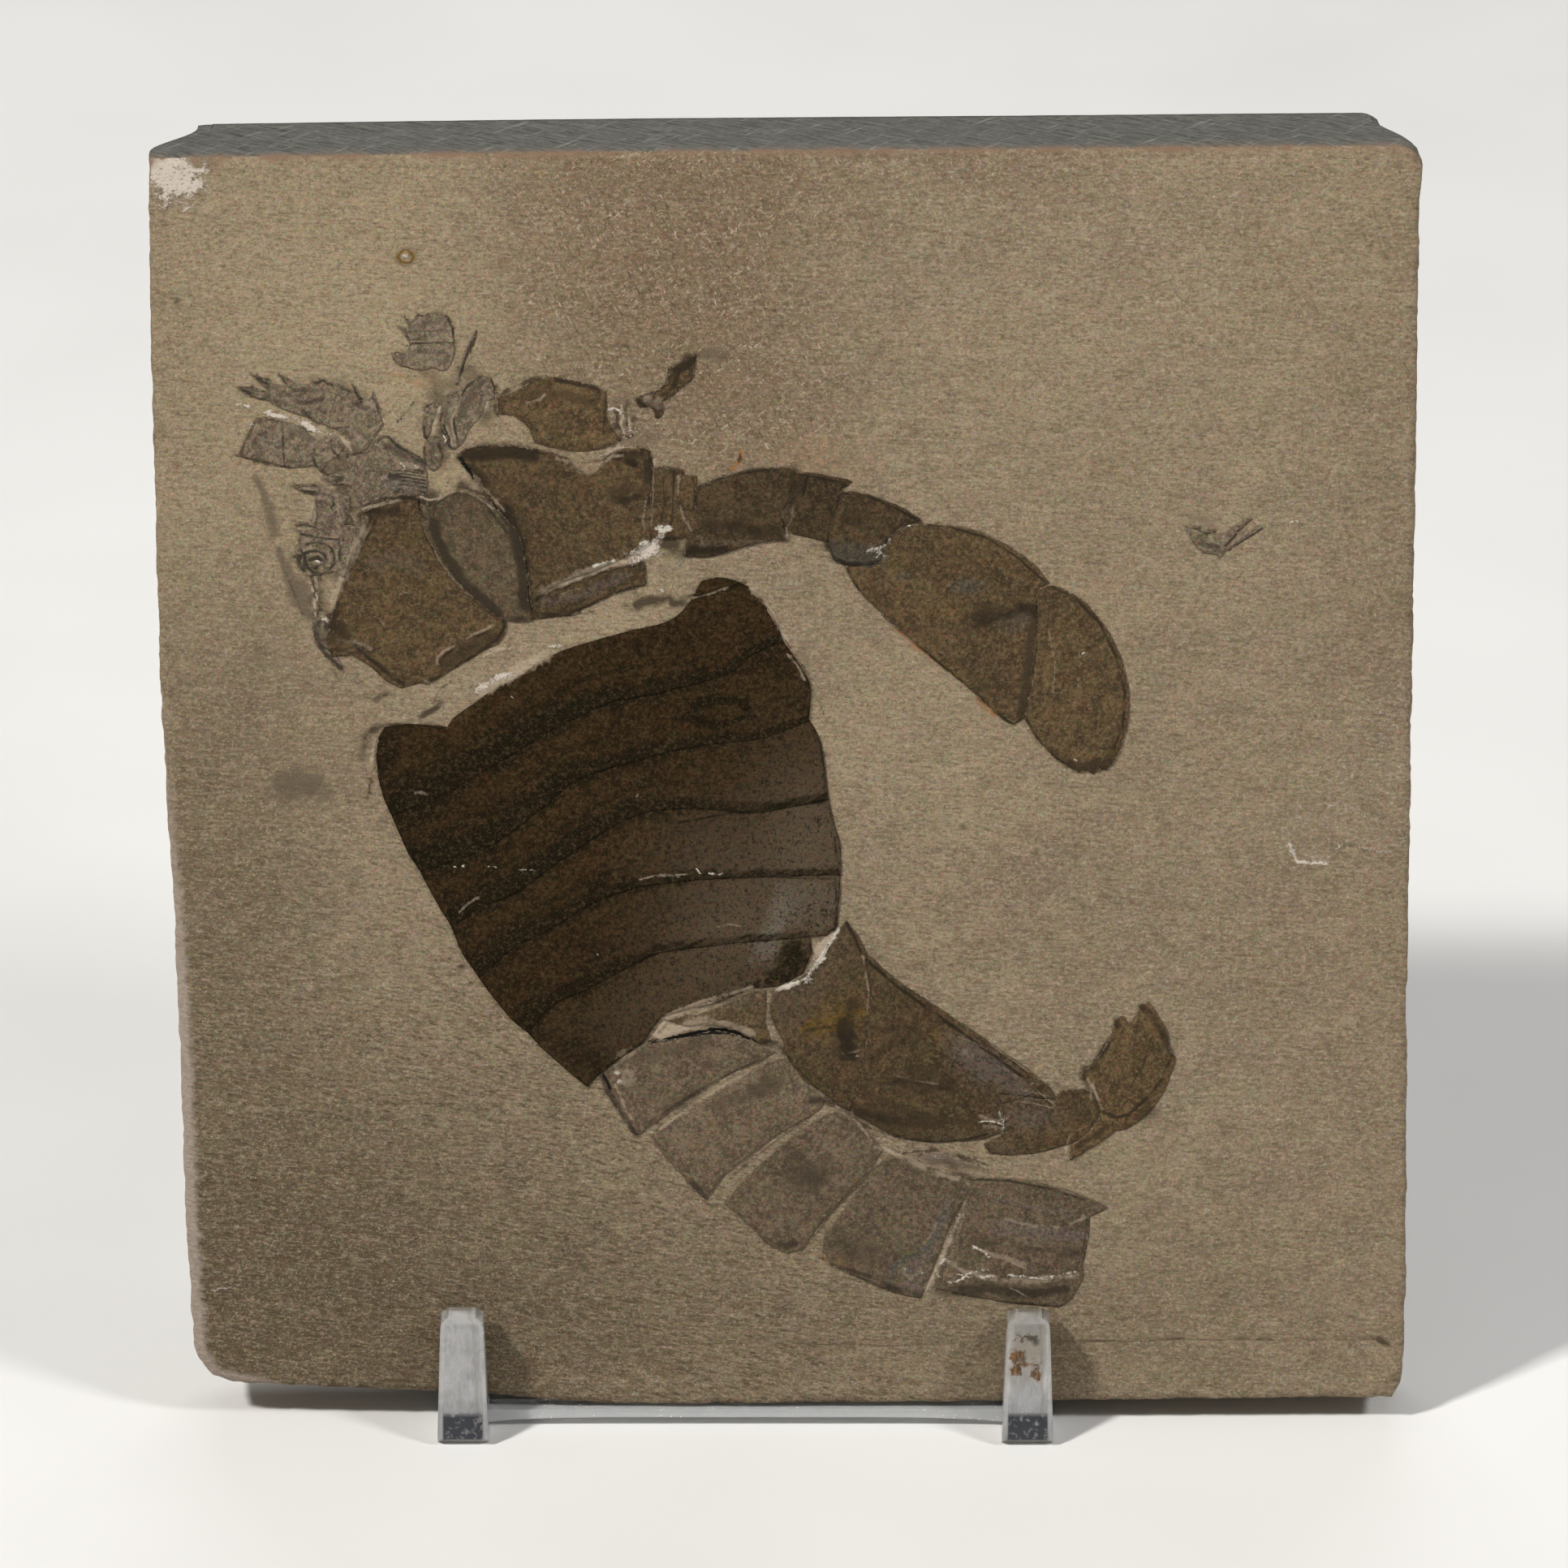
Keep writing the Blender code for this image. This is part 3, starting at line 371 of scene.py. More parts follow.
# Marks. Every stroke is (kind, half width, strength, rise, points) and every spot is
# (kind, strength, middle, radii, turn in degrees), in millimetres on the face.
# A half width of two numbers narrows or widens along the stroke.
STROKES = [
    # the trunk
    ("dark", 0.14, 0.7, 0, [(-12, -4.6), (-6, -3.4), (0, -2.8), (4.2, -2.2)]),
    ("dark", 0.3, 0.7, 0, [(-2, -2.6), (2, -2.2), (4.4, -2)]),
    ("dark", 0.16, 0.5, 0, [(-8, -11.4), (-2, -11.2), (5.6, -11.4)]),
    ("pale", 0.1, 0.5, 0, [(-7.6, -17.2), (-6.2, -16.9), (-4.8, -17.2)]),
    ("white", 0.12, 0.7, 0, [(-37.6, -9.9), (-37.2, -10)]),
    ("white", 0.12, 0.7, 0, [(-36.6, -9.9), (-36.3, -9.9)]),
    ("white", 0.1, 0.6, 0, [(-33.8, -9.9), (-32.6, -10)]),
    ("white", 0.09, 0.5, 0, [(-30.4, -10.2), (-28, -10.4), (-26.4, -10.6)]),
    ("pale", 0.12, 0.7, 0.02, [(-16.4, -11.5), (-14.6, -11), (-12.6, -11), (-11, -10.8)]),
    ("white", 0.1, 0.7, 0, [(-9.9, -10.2), (-9.5, -10.8)]),
    ("white", 0.13, 0.8, 0, [(-8.6, -10.7), (-7.4, -10.9), (-6.7, -10.5)]),
    ("pale", 0.16, 0.6, 0, [(-37, -15.4), (-36, -14.4), (-34.8, -13.6)]),
    ("pale", 0.2, 0.6, 0, [(-41.8, -1), (-41, -0.9), (-40.4, -1.2)]),
    ("dark", 0.3, 0.7, 0, [(-45.8, 5.6), (-46, 3.4), (-45.6, 1)]),
    ("dark", 0.3, 0.5, 0, [(-44.6, 7), (-41, 7.2), (-38.6, 6.8)]),
    ("dark", 0.26, 0.7, 0, [(-11.4, 22.2), (-9, 22.6), (-6.6, 23.4), (-4.6, 24)]),
    ("pale", 0.12, 0.6, 0.02, [(-10.4, 22.2), (-8.2, 22.8), (-6.4, 23.5)]),
    # the light fringe along the trunk's right side, and its hooked left corner
    ("dark", 0.12, 0.8, 0, [(-4.4, 23.8), (-2.4, 22), (-0.6, 19), (0.8, 16), (2.6, 13.2), (4, 9.6),
        (4.6, 8.2)]),
    ("pale", 0.16, 0.9, 0.03, [(-3.8, 23.4), (-2, 21.4), (-0.5, 18.6), (0.4, 17.2)]),
    ("pale", 0.13, 0.8, 0.03, [(0.4, 15.6), (1.4, 14.4), (2.4, 12.4)]),
    ("dark", 0.14, 0.7, 0, [(4.2, 5), (4.6, 1.6), (4.6, -1.6)]),
    ("dark", 0.12, 0.6, 0, [(5.2, -3), (5.8, -7), (6.2, -11)]),
    ("dark", 0.12, 0.6, 0, [(5.8, -11.4), (6, -14.6), (5.8, -17.4)]),
    ("dark", 0.36, 0.85, 0, [(-42.2, 7.6), (-40.8, 8.2), (-39.4, 9), (-38.5, 9.9)]),
    ("dark", (0.14, 0.5), 0.9, 0, [(-43.6, 7.2), (-45, 7), (-46.4, 6.6), (-47.4, 5.2), (-48.1, 3)]),
    ("dark", 0.13, 0.8, 0, [(-46.4, 2), (-46.9, 0), (-47.2, -1.6)]),
    ("dark", 0.1, 0.7, 0, [(-46.8, 0.6), (-47.8, 0.9), (-48.9, 0.8)]),
    ("pale", 0.18, 0.7, 0.03, [(-46, 5.4), (-46.6, 3.8), (-46.8, 2.4)]),
    ("dark", 0.4, 0.6, 0, [(-46.2, 10), (-45.4, 10.6), (-44.6, 11)]),
    ("dark", 0.12, 0.6, 0, [(-39.6, 9.8), (-38.8, 11.4), (-37.6, 12.2)]),
    ("dark", 0.5, 0.95, 0.02, [(-16.6, 21.4), (-15, 21.9), (-13.2, 22.1), (-11.6, 21.6)]),
    ("dark", 0.14, 0.8, 0, [(-18, 21.2), (-16.4, 21.2)]),
    ("white", 0.22, 0.8, 0.05, [(-13.8, 23.1), (-13.2, 23)]),
    ("white", 0.16, 0.8, 0.05, [(-20.2, 19.4), (-19.8, 19.3)]),
    ("dark", 0.12, 0.6, 0, [(-31.8, 19.4), (-28.4, 19.8), (-24.4, 20), (-21, 20.6)]),
    # the stone between the trunk and the second paddle
    ("white", 0.3, 1, 0.08, [(6.2, -17.6), (5.2, -19.2), (4, -21.4), (3, -22.9)]),
    ("pale", 0.5, 0.9, 0.02, [(5.6, -18.4), (4.4, -19.4), (3.8, -20.4)]),
    ("dark", 0.26, 0.7, 0, [(5.6, -17.6), (4.4, -18.8), (3.6, -19)]),
    # the second paddle
    ("pale", 0.14, 0.75, 0.03, [(9, -20.8), (9.4, -23.4), (9.7, -25.2)]),
    ("pale", 0.12, 0.6, 0.02, [(9.7, -25.4), (9.5, -27.6), (9.3, -29.6)]),
    ("dark", 0.1, 0.6, 0, [(9.3, -20.4), (9.8, -23.4), (10, -26)]),
    ("dark", 0.22, 0.8, 0, [(7.1, -16.8), (8.2, -18.8), (8.8, -20.4)]),
    ("dark", 0.2, 0.9, 0, [(9.4, -21.2), (12.8, -24.4), (17, -27.6), (21, -30.6), (24.6, -33.4),
        (28, -36.2), (30.6, -38.8)]),
    ("dark", 0.16, 0.85, 0, [(0, -32.6), (3, -36.2), (6.4, -39.6), (9.8, -42), (13.4, -43.2),
        (17.6, -43.7), (21.4, -43.2), (23.4, -42.6)]),
    ("dark", 0.5, 0.7, -0.03, [(6.8, -28.6), (6.6, -30), (7, -31.6), (7.6, -33)]),
    ("dark", 0.3, 0.8, 0, [(6.8, -33.4), (9.4, -33.2), (11.2, -32.2)]),
    ("pale", 0.14, 0.8, 0, [(7.6, -32.6), (9.2, -32.2)]),
    ("dark", 0.2, 0.5, 0, [(10, -33), (13.2, -31.4), (15, -29.6)]),
    ("rust", 0.3, 0.8, 0, [(2, -30), (4, -28.8), (6.4, -28.4), (8.6, -27.6)]),
    ("rust", 0.3, 0.6, 0, [(4, -29.2), (7, -29.4), (8.8, -29)]),
    ("dark", 0.3, 0.4, 0, [(5, -36), (9, -36.6), (14, -36), (20, -37.4)]),
    ("dark", 0.5, 0.4, 0, [(8, -39.6), (12, -41), (18, -41.4)]),
    ("white", 0.22, 0.9, 0.05, [(24.8, -40), (25.2, -41), (25.1, -42.4)]),
    ("pale", 0.24, 0.6, 0.02, [(22.4, -40.4), (24, -41), (25.6, -40.8)]),
    ("mauve", 0.9, 0.6, 0, [(19, -31.4), (22, -33.4), (25, -35.4), (27.6, -37.4)]),
    ("mauve", 0.5, 0.7, 0, [(22.4, -35), (25, -36.4), (28, -38)]),
    ("pale", 0.1, 0.8, 0, [(28.2, -36.4), (29.4, -37.6), (31.2, -39.2)]),
    ("pale", 0.12, 0.7, 0, [(30.8, -39.4), (28.6, -38.8), (26.6, -38.6)]),
    ("dark", 0.1, 0.7, 0, [(28.4, -37.8), (26.6, -38.4), (25.2, -38.8)]),
    ("dark", 0.1, 0.6, 0, [(30.8, -39.6), (30.4, -40.6), (31, -41.6)]),
    ("pale", 0.18, 0.85, 0.02, [(35.4, -36.6), (36, -38.2), (36.6, -39.6)]),
    ("pale", 0.14, 0.5, 0.02, [(34.8, -35.6), (35.2, -37), (35.2, -38.6)]),
    ("dark", 0.22, 0.8, 0, [(36.6, -39.9), (38.2, -40.6), (39.6, -40.2), (41.6, -38.2), (43.6, -35.6),
        (44.2, -33.6)]),
    ("dark", 0.45, 0.85, 0, [(34.4, -35.4), (36, -33.4), (37.6, -30.6), (38.4, -28.6)]),
    ("dark", 0.4, 0.8, 0, [(41, -27), (42.6, -28.4), (43.6, -31), (44.4, -33)]),
    ("dark", 0.1, 0.6, 0, [(38.8, -29.8), (37.6, -33), (36.2, -35.6)]),
    ("dark", 0.1, 0.6, 0, [(42.2, -30.4), (41.2, -34), (39, -38.2)]),
    ("dark", 0.1, 0.5, 0, [(40.6, -28.4), (40, -32), (38.2, -36.4)]),
    ("dark", 0.4, 0.5, 0, [(31.4, -36.6), (33, -37.4), (34.6, -37.6)]),
    ("dark", 0.4, 0.6, 0, [(33.8, -44.2), (35.6, -43), (37, -41.8)]),
    ("pale", 0.16, 0.6, 0, [(32.4, -44.6), (32.8, -43), (34, -42)]),
    # the last tail segment
    ("pale", 0.18, 0.6, 0, [(34.8, -53), (32, -54.2), (28.4, -54), (25.6, -53.2)]),
    ("mauve", 0.5, 0.7, 0, [(25.2, -54), (28.6, -54.4), (32, -55), (34.8, -55.2)]),
    ("mauve", 0.4, 0.5, 0, [(24.6, -50.8), (28, -51.6), (33, -52.6)]),
    ("dark", 0.3, 0.5, 0, [(26.2, -56.6), (30, -57), (34, -57.4)]),
    ("pale", (0.25, 0.45), 0.85, -0.04, [(18.8, -58.4), (20.8, -59.8), (23, -60.2), (26, -60.8),
        (29.4, -60.8), (33.4, -60.2)]),
    ("white", 0.2, 0.7, 0.02, [(22.6, -60.4), (26, -60.2), (30, -60.6), (33.6, -59.8)]),
    ("pale", 0.2, 0.8, 0.02, [(22.6, -57), (24.2, -57.6), (26.4, -58.6), (28, -59.4)]),
    ("dark", 0.7, 0.7, 0, [(20.6, -62.4), (23, -61.8), (26, -62.2), (29.4, -62.4), (32.4, -62)]),
    ("dark", 0.16, 0.85, 0, [(21, -48.2), (26, -48.5), (30.4, -49.4), (34.6, -50.8), (37, -51.8)]),
    ("dark", 0.1, 0.7, 0, [(34.8, -52.6), (35, -54), (34.4, -57.4), (33.6, -60)]),
    # the upper coxa; the dark crescent along its top is painted shade of a recess
    ("dark", 0.3, 0.85, 0.03, [(-31.2, 46.4), (-29.2, 47.3), (-27.6, 48.1), (-25.6, 47.9), (-23.4, 47.5),
        (-20.6, 46.8)]),
    ("dark", 0.6, 0.4, 0, [(-29, 45.6), (-27.4, 46.3), (-24, 46.2), (-21.4, 45.3)]),
    ("dark", 0.2, 0.7, 0, [(-32, 43.6), (-32.4, 45.2), (-31.2, 46.4)]),
    ("dark", 0.16, 0.6, 0, [(-19.9, 46.4), (-20, 44), (-20.2, 41.6)]),
    ("pale", 0.14, 0.6, 0, [(-28.6, 45.2), (-27.2, 45.6), (-26.6, 46.2)]),
    # the swimming leg and its paddle
    ("pale", 0.14, 0.7, 0.03, [(-11.8, 36.6), (-11.9, 34.2), (-11.3, 31.8), (-10.4, 30.2)]),
    ("dark", 0.12, 0.7, 0, [(-12.3, 37.2), (-12.4, 34.6), (-12.6, 31.2), (-13.2, 30.2)]),
    ("dark", 0.1, 0.6, 0, [(-13.6, 36.4), (-13.4, 33.6), (-13.8, 31)]),
    ("pale", 0.12, 0.5, 0.02, [(-14.6, 36), (-14.8, 33), (-14.9, 30.6)]),
    ("dark", 0.16, 0.8, 0, [(-10.2, 36.4), (-9.9, 34.4), (-10, 31.6)]),
    ("dark", 0.14, 0.85, 0, [(-9.8, 35.3), (-6.4, 36.6), (-2.6, 37.3), (0.8, 37.4)]),
    ("dark", 0.7, 0.45, 0, [(-9, 31), (-5.6, 30.7), (-2.4, 30.1), (-0.6, 29.9)]),
    ("dark", 0.5, 0.7, 0, [(-10.4, 28), (-8.6, 27.9), (-6.6, 28.1)]),
    ("pale", 0.3, 0.4, 0.02, [(-9.6, 29.6), (-8.8, 28.6)]),
    ("pale", 0.14, 0.6, 0, [(-2, 33.6), (-0.6, 33), (0, 31.4)]),
    ("dark", 0.2, 0.7, 0, [(0.9, 37), (0.7, 34.4), (-0.2, 32.2), (0.2, 30.4)]),
    ("pale", 0.16, 0.8, 0.03, [(0.9, 33.4), (1, 31.8), (0.4, 30.6), (0.2, 29.4)]),
    ("dark", 0.11, 0.85, 0.03, [(1.2, 36.8), (3.6, 36.5), (5.6, 36), (6.6, 35.8)]),
    ("dark", 0.16, 0.8, 0, [(2.6, 36.4), (2.2, 34.6), (1.4, 32.6)]),
    ("dark", 0.2, 0.75, 0, [(6.4, 34.8), (5.6, 32.4), (5, 29.6), (4.8, 28)]),
    ("dark", 0.14, 0.85, 0, [(6.4, 34.6), (9.4, 34.2), (12.2, 33), (15, 31.4)]),
    ("dark", 0.16, 0.7, 0, [(15, 31.3), (13, 30.8), (11.6, 29.4), (11.2, 28.2)]),
    ("blue", 1.1, 0.7, 0, [(6, 28), (8.4, 27.6), (10.6, 27.4)]),
    ("white", 0.26, 0.8, 0.05, [(9.4, 27.8), (10.4, 28), (11.2, 28.4)]),
    ("white", 0.12, 0.75, 0.03, [(10.4, 27), (11.6, 28.6), (12.2, 29.8), (13.2, 30.6), (15, 31)]),
    ("dark", 0.2, 0.7, 0, [(4.8, 28.8), (5.6, 27), (6.6, 26.4), (9, 26.3), (10.8, 26.6)]),
    ("dark", 0.16, 0.8, 0.02, [(7, 26), (8.6, 22.8), (12, 19.2), (15.8, 16), (20, 12.4), (24, 8.6),
        (25.8, 7.2)]),
    ("dark", 0.14, 0.8, 0, [(15.2, 31), (18.6, 30.6), (22.6, 29.4), (26, 27.2), (28.6, 24.8), (30, 23.6)]),
    ("dark", 0.18, 0.85, 0, [(30, 23.6), (32.8, 22.2), (35.6, 19.2), (37.4, 15.4), (38.5, 11), (38.3, 7),
        (37, 3.4)]),
    ("dark", (0.6, 0.75), 0.55, 0.02, [(28.3, 20.4), (27.8, 17), (27.5, 13.6), (27.2, 10), (26.9, 8.6)]),
    ("dark", 0.5, 0.8, 0.02, [(26.8, 21.2), (27.8, 21.3), (28.4, 20.2)]),
    ("dark", 0.2, 0.75, 0.02, [(21.4, 18.8), (23, 19.4), (25.2, 20.4), (27, 21.4)]),
    ("dark", 0.5, 0.4, 0, [(21.4, 19.8), (24.4, 20.8)]),
    ("dark", 0.08, 0.6, 0, [(22.4, 18), (21.4, 16.6), (20.2, 14.6)]),
    ("dark", 0.4, 0.35, 0, [(9, 24), (14, 19.6), (19, 15.4), (23, 11.4)]),
    ("dark", 0.4, 0.3, 0, [(14, 28), (18, 27.4), (22, 26)]),
    ("dark", 0.22, 0.7, 0, [(27, 8.6), (28.6, 5.6), (31, 3), (33.6, 1.4), (35.6, 1.4), (37, 2.4)]),
    ("dark", 0.5, 0.6, 0, [(33.4, 2), (35.2, 1.8), (36.8, 3)]),
    ("white", 0.14, 0.9, 0, [(33.6, 15.6), (34, 15.9)]),
    ("dark", 0.14, 0.7, 0, [(27.2, 9.4), (26.8, 8), (26.2, 7.2)]),
    ("dark", 0.1, 0.5, 0, [(30, 22.6), (29.6, 18), (28.8, 12)]),
    # the small curved piece and the slivers below the left coxa
    ("dark", 0.3, 0.9, 0, [(-52.9, 18.6), (-52.4, 16.6), (-51.2, 15), (-50, 13.8)]),
    ("pale", 0.2, 0.8, 0, [(-52, 20), (-51.4, 19.4)]),
    ("dark", 0.3, 0.6, 0, [(-51.8, 17.6), (-50.4, 16.4), (-48.8, 15.8), (-47.2, 15.6)]),
    ("pale", 0.3, 0.5, 0.02, [(-50.2, 17), (-48.4, 17.2), (-46.6, 16.2)]),
    ("dark", 0.1, 0.6, 0, [(-51, 15.6), (-50.8, 13.6), (-50.2, 12)]),
    # the loose fragment
    ("dark", 0.12, 0.8, 0, [(45, 30.6), (46.4, 30.4), (47.2, 29.8), (48.6, 30)]),
    ("dark", 0.14, 0.9, 0, [(49.6, 28.4), (51, 30), (52.4, 31.5)]),
    ("pale", 0.12, 0.7, 0, [(50.2, 28.6), (51.4, 29.6), (52.6, 30.4)]),
    ("dark", 0.12, 0.9, 0, [(50, 27.8), (51.6, 29), (53.8, 30.5)]),
    ("dark", 0.3, 0.6, 0, [(46.4, 29), (47.6, 28.4), (48.8, 28.2)]),
    ("dark", 0.08, 0.6, 0, [(46.8, 27.6), (48.4, 27), (49, 26.6)]),
    # cracks, scratches and streaks of the stone
    ("dark", 0.1, 0.7, -0.05, [(30.6, -68.7), (38, -68.6), (48.6, -68.3), (58, -68.5), (69.2, -68.4)]),
    ("dark", 0.4, 0.9, -0.1, [(68.8, -68.2), (69.8, -68.8)]),
    ("dark", 0.09, 0.6, -0.04, [(-28, -68.2), (-14, -69), (0, -68.8), (12, -69.2), (24, -68.8)]),
    ("dark", 0.1, 0.5, -0.03, [(43, 58.2), (47, 54.8), (51.6, 50.6), (54.4, 48.4)]),
    ("dark", 0.12, 0.35, -0.02, [(34.6, -17.2), (38.4, -16.2), (42, -15.4), (46.6, -14)]),
    ("dark", 0.1, 0.35, -0.02, [(37, -25.2), (43, -24.2), (50, -24.8), (58, -24.6), (66, -24.9)]),
    ("dark", 0.09, 0.35, -0.02, [(11.8, 11.8), (14, 9.4), (16.2, 7)]),
    ("dark", 0.1, 0.3, -0.02, [(30, 8.6), (40, 8.2), (52, 8.4), (64, 7.6)]),
    ("dark", 0.08, 0.25, -0.02, [(36, -37), (46, -37.4), (58, -37.2)]),
    ("dark", 0.1, 0.3, -0.02, [(20, -14), (30, -13), (44, -11.6), (60, -12)]),
    ("dark", 0.1, 0.3, -0.02, [(-66, -16), (-56, -16.6), (-48, -16)]),
    ("white", 0.3, 0.8, 0.02, [(-51.6, 75.2), (-49.6, 74.6), (-47.8, 75.2)]),
    ("white", 0.16, 0.7, 0.02, [(-53, 73.6), (-51.6, 74.4)]),
    ("white", 0.2, 0.9, 0.02, [(15.8, 76.4), (17.8, 75.4), (19.8, 76)]),
    ("white", 0.12, 0.8, 0.02, [(12.6, 76.6), (14.4, 75.4), (16.6, 74.2)]),
    ("white", 0.12, 0.5, 0.02, [(17.2, 71.6), (19.4, 71.8), (20.6, 72.8)]),
    ("white", 0.14, 0.4, 0.02, [(15, 66), (17.8, 65), (20.6, 65.8)]),
    ("white", 0.26, 0.85, 0.05, [(57.4, -7.2), (58.4, -9.4), (61.6, -9.6), (63.4, -7)]),
    ("white", 0.2, 0.6, 0.05, [(63.6, -7), (67.4, -8.2), (71, -8)]),
    ("white", 0.1, 0.8, 0.02, [(55, 31), (57.2, 31.2), (59, 31.1)]),
    ("white", 0.14, 0.7, 0, [(-66, -62.2), (-64, -61.8), (-61.6, -61.4)]),
    ("gold", 0.13, 1, 0.12, ring((-42, 62.1), (0.78, 0.76), steps=16)),
    ("white", 0.3, 0.8, 0.05, [(-42.2, 62.1), (-41.9, 62.2)]),
    ("smudge", 0.16, 0.5, 0, ring((-42, 62.1), (1.1, 1.05), steps=16)),
    ("band", 0.42, 0.9, 0, ring((-7.2, 8.7), (3.3, 1.5), 4)),
    ("band", 0.7, 0.8, 0, [(-11.6, 8.2), (-10.6, 8.4), (-9.8, 8.4)]),
]
# Strokes in the units of the enlarged view in which each group was read
LEG_STROKES = [
    ("white", 0.1, 0.8, 0, [(410, 366), (418, 368)]),
    ("white", 0.1, 0.7, 0, [(434, 362), (438, 364)]),
    ("white", (0.2, 0.36), 1, 0.10, [(66, 342), (84, 350), (130, 370), (200, 386), (262, 402), (306, 420)]),
    ("white", 0.34, 1, 0.14, [(306, 424), (330, 440), (350, 446), (368, 446)]),
    ("white", 0.14, 0.9, 0.10, [(60, 350), (70, 366), (92, 376)]),
    ("pale", 0.2, 0.7, 0.02, [(372, 446), (400, 452), (420, 472), (446, 476)]),
    ("dark", 0.1, 0.8, 0, [(130, 388), (208, 404), (260, 416), (306, 438)]),
    ("dark", 0.14, 0.7, 0, [(312, 530), (322, 552), (340, 574), (362, 584), (384, 576)]),
    ("dark", 0.12, 0.7, 0, [(332, 520), (340, 500), (356, 492), (376, 496), (388, 512), (400, 520)]),
    ("pale", 0.14, 0.6, 0, [(326, 560), (340, 584), (360, 592)]),
    ("pale", 0.12, 0.6, 0, [(346, 478), (372, 486), (396, 500), (410, 516)]),
    ("dark", 0.1, 0.6, 0, [(396, 470), (410, 490), (420, 510), (424, 528)]),
    ("dark", 0.2, 0.8, 0, [(358, 610), (378, 602), (396, 594), (412, 590)]),
    ("dark", 0.14, 0.6, 0, [(640, 520), (660, 534), (676, 542), (668, 552)]),
    ("pale", 0.1, 0.6, 0, [(470, 530), (476, 560), (470, 586), (480, 600)]),
    ("pale", 0.1, 0.5, 0, [(560, 546), (566, 566), (556, 590)]),
    ("mauve", 0.9, 0.7, 0, [(560, 600), (600, 610), (650, 630)]),
    ("dark", 0.16, 0.7, 0, [(640, 640), (656, 636), (672, 650), (690, 656)]),
    ("pale", 0.12, 0.7, 0, [(372, 630), (390, 620), (404, 604)]),
    ("dark", 0.1, 0.6, 0, [(322, 660), (326, 690), (330, 720), (322, 744)]),
    ("pale", 0.1, 0.6, 0, [(360, 660), (366, 690), (384, 720), (386, 750)]),
    ("dark", 0.1, 0.6, 0, [(400, 650), (398, 690), (410, 730), (402, 760)]),
    ("pale", 0.1, 0.5, 0, [(420, 700), (440, 712), (452, 734)]),
    ("dark", 0.1, 0.5, 0, [(440, 640), (470, 664), (468, 700), (462, 730)]),
    ("dark", 0.1, 0.6, 0, [(404, 780), (398, 810), (408, 840), (404, 870), (412, 892)]),
    ("pale", 0.1, 0.6, 0, [(388, 836), (396, 862), (404, 900), (420, 916)]),
    ("dark", 0.16, 0.8, 0, [(332, 918), (340, 944), (336, 972), (340, 1000)]),
    ("pale", 0.16, 0.8, 0, [(320, 926), (326, 950), (324, 980), (326, 1000)]),
    ("pale", 0.32, 0.8, 0.02, [(488, 728), (474, 768), (454, 810), (432, 860), (412, 912), (394, 956),
        (378, 1004)]),
    ("dark", 0.22, 0.85, 0, [(506, 722), (492, 768), (472, 812), (450, 864), (430, 914), (412, 958),
        (398, 1004)]),
    ("dark", 0.3, 0.8, 0.03, [(466, 716), (490, 696), (530, 678), (566, 662), (604, 656), (644, 652),
        (664, 658)]),
    ("dark", 0.2, 0.8, 0, [(664, 656), (668, 690), (676, 716), (690, 724)]),
    ("dark", 0.3, 0.9, 0.02, [(664, 664), (690, 672), (712, 676), (728, 668)]),
    ("dark", 0.12, 0.8, 0, [(714, 676), (716, 700), (712, 722)]),
    ("pale", 0.14, 0.8, 0.02, [(672, 654), (700, 666), (730, 662), (762, 644), (790, 632), (826, 636)]),
    ("pale", 0.12, 0.7, 0.02, [(826, 636), (860, 654), (892, 676), (912, 694)]),
    ("dark", 0.2, 0.8, 0.02, [(728, 668), (760, 654), (790, 642), (826, 646), (860, 664), (890, 688),
        (926, 726), (960, 772)]),
]
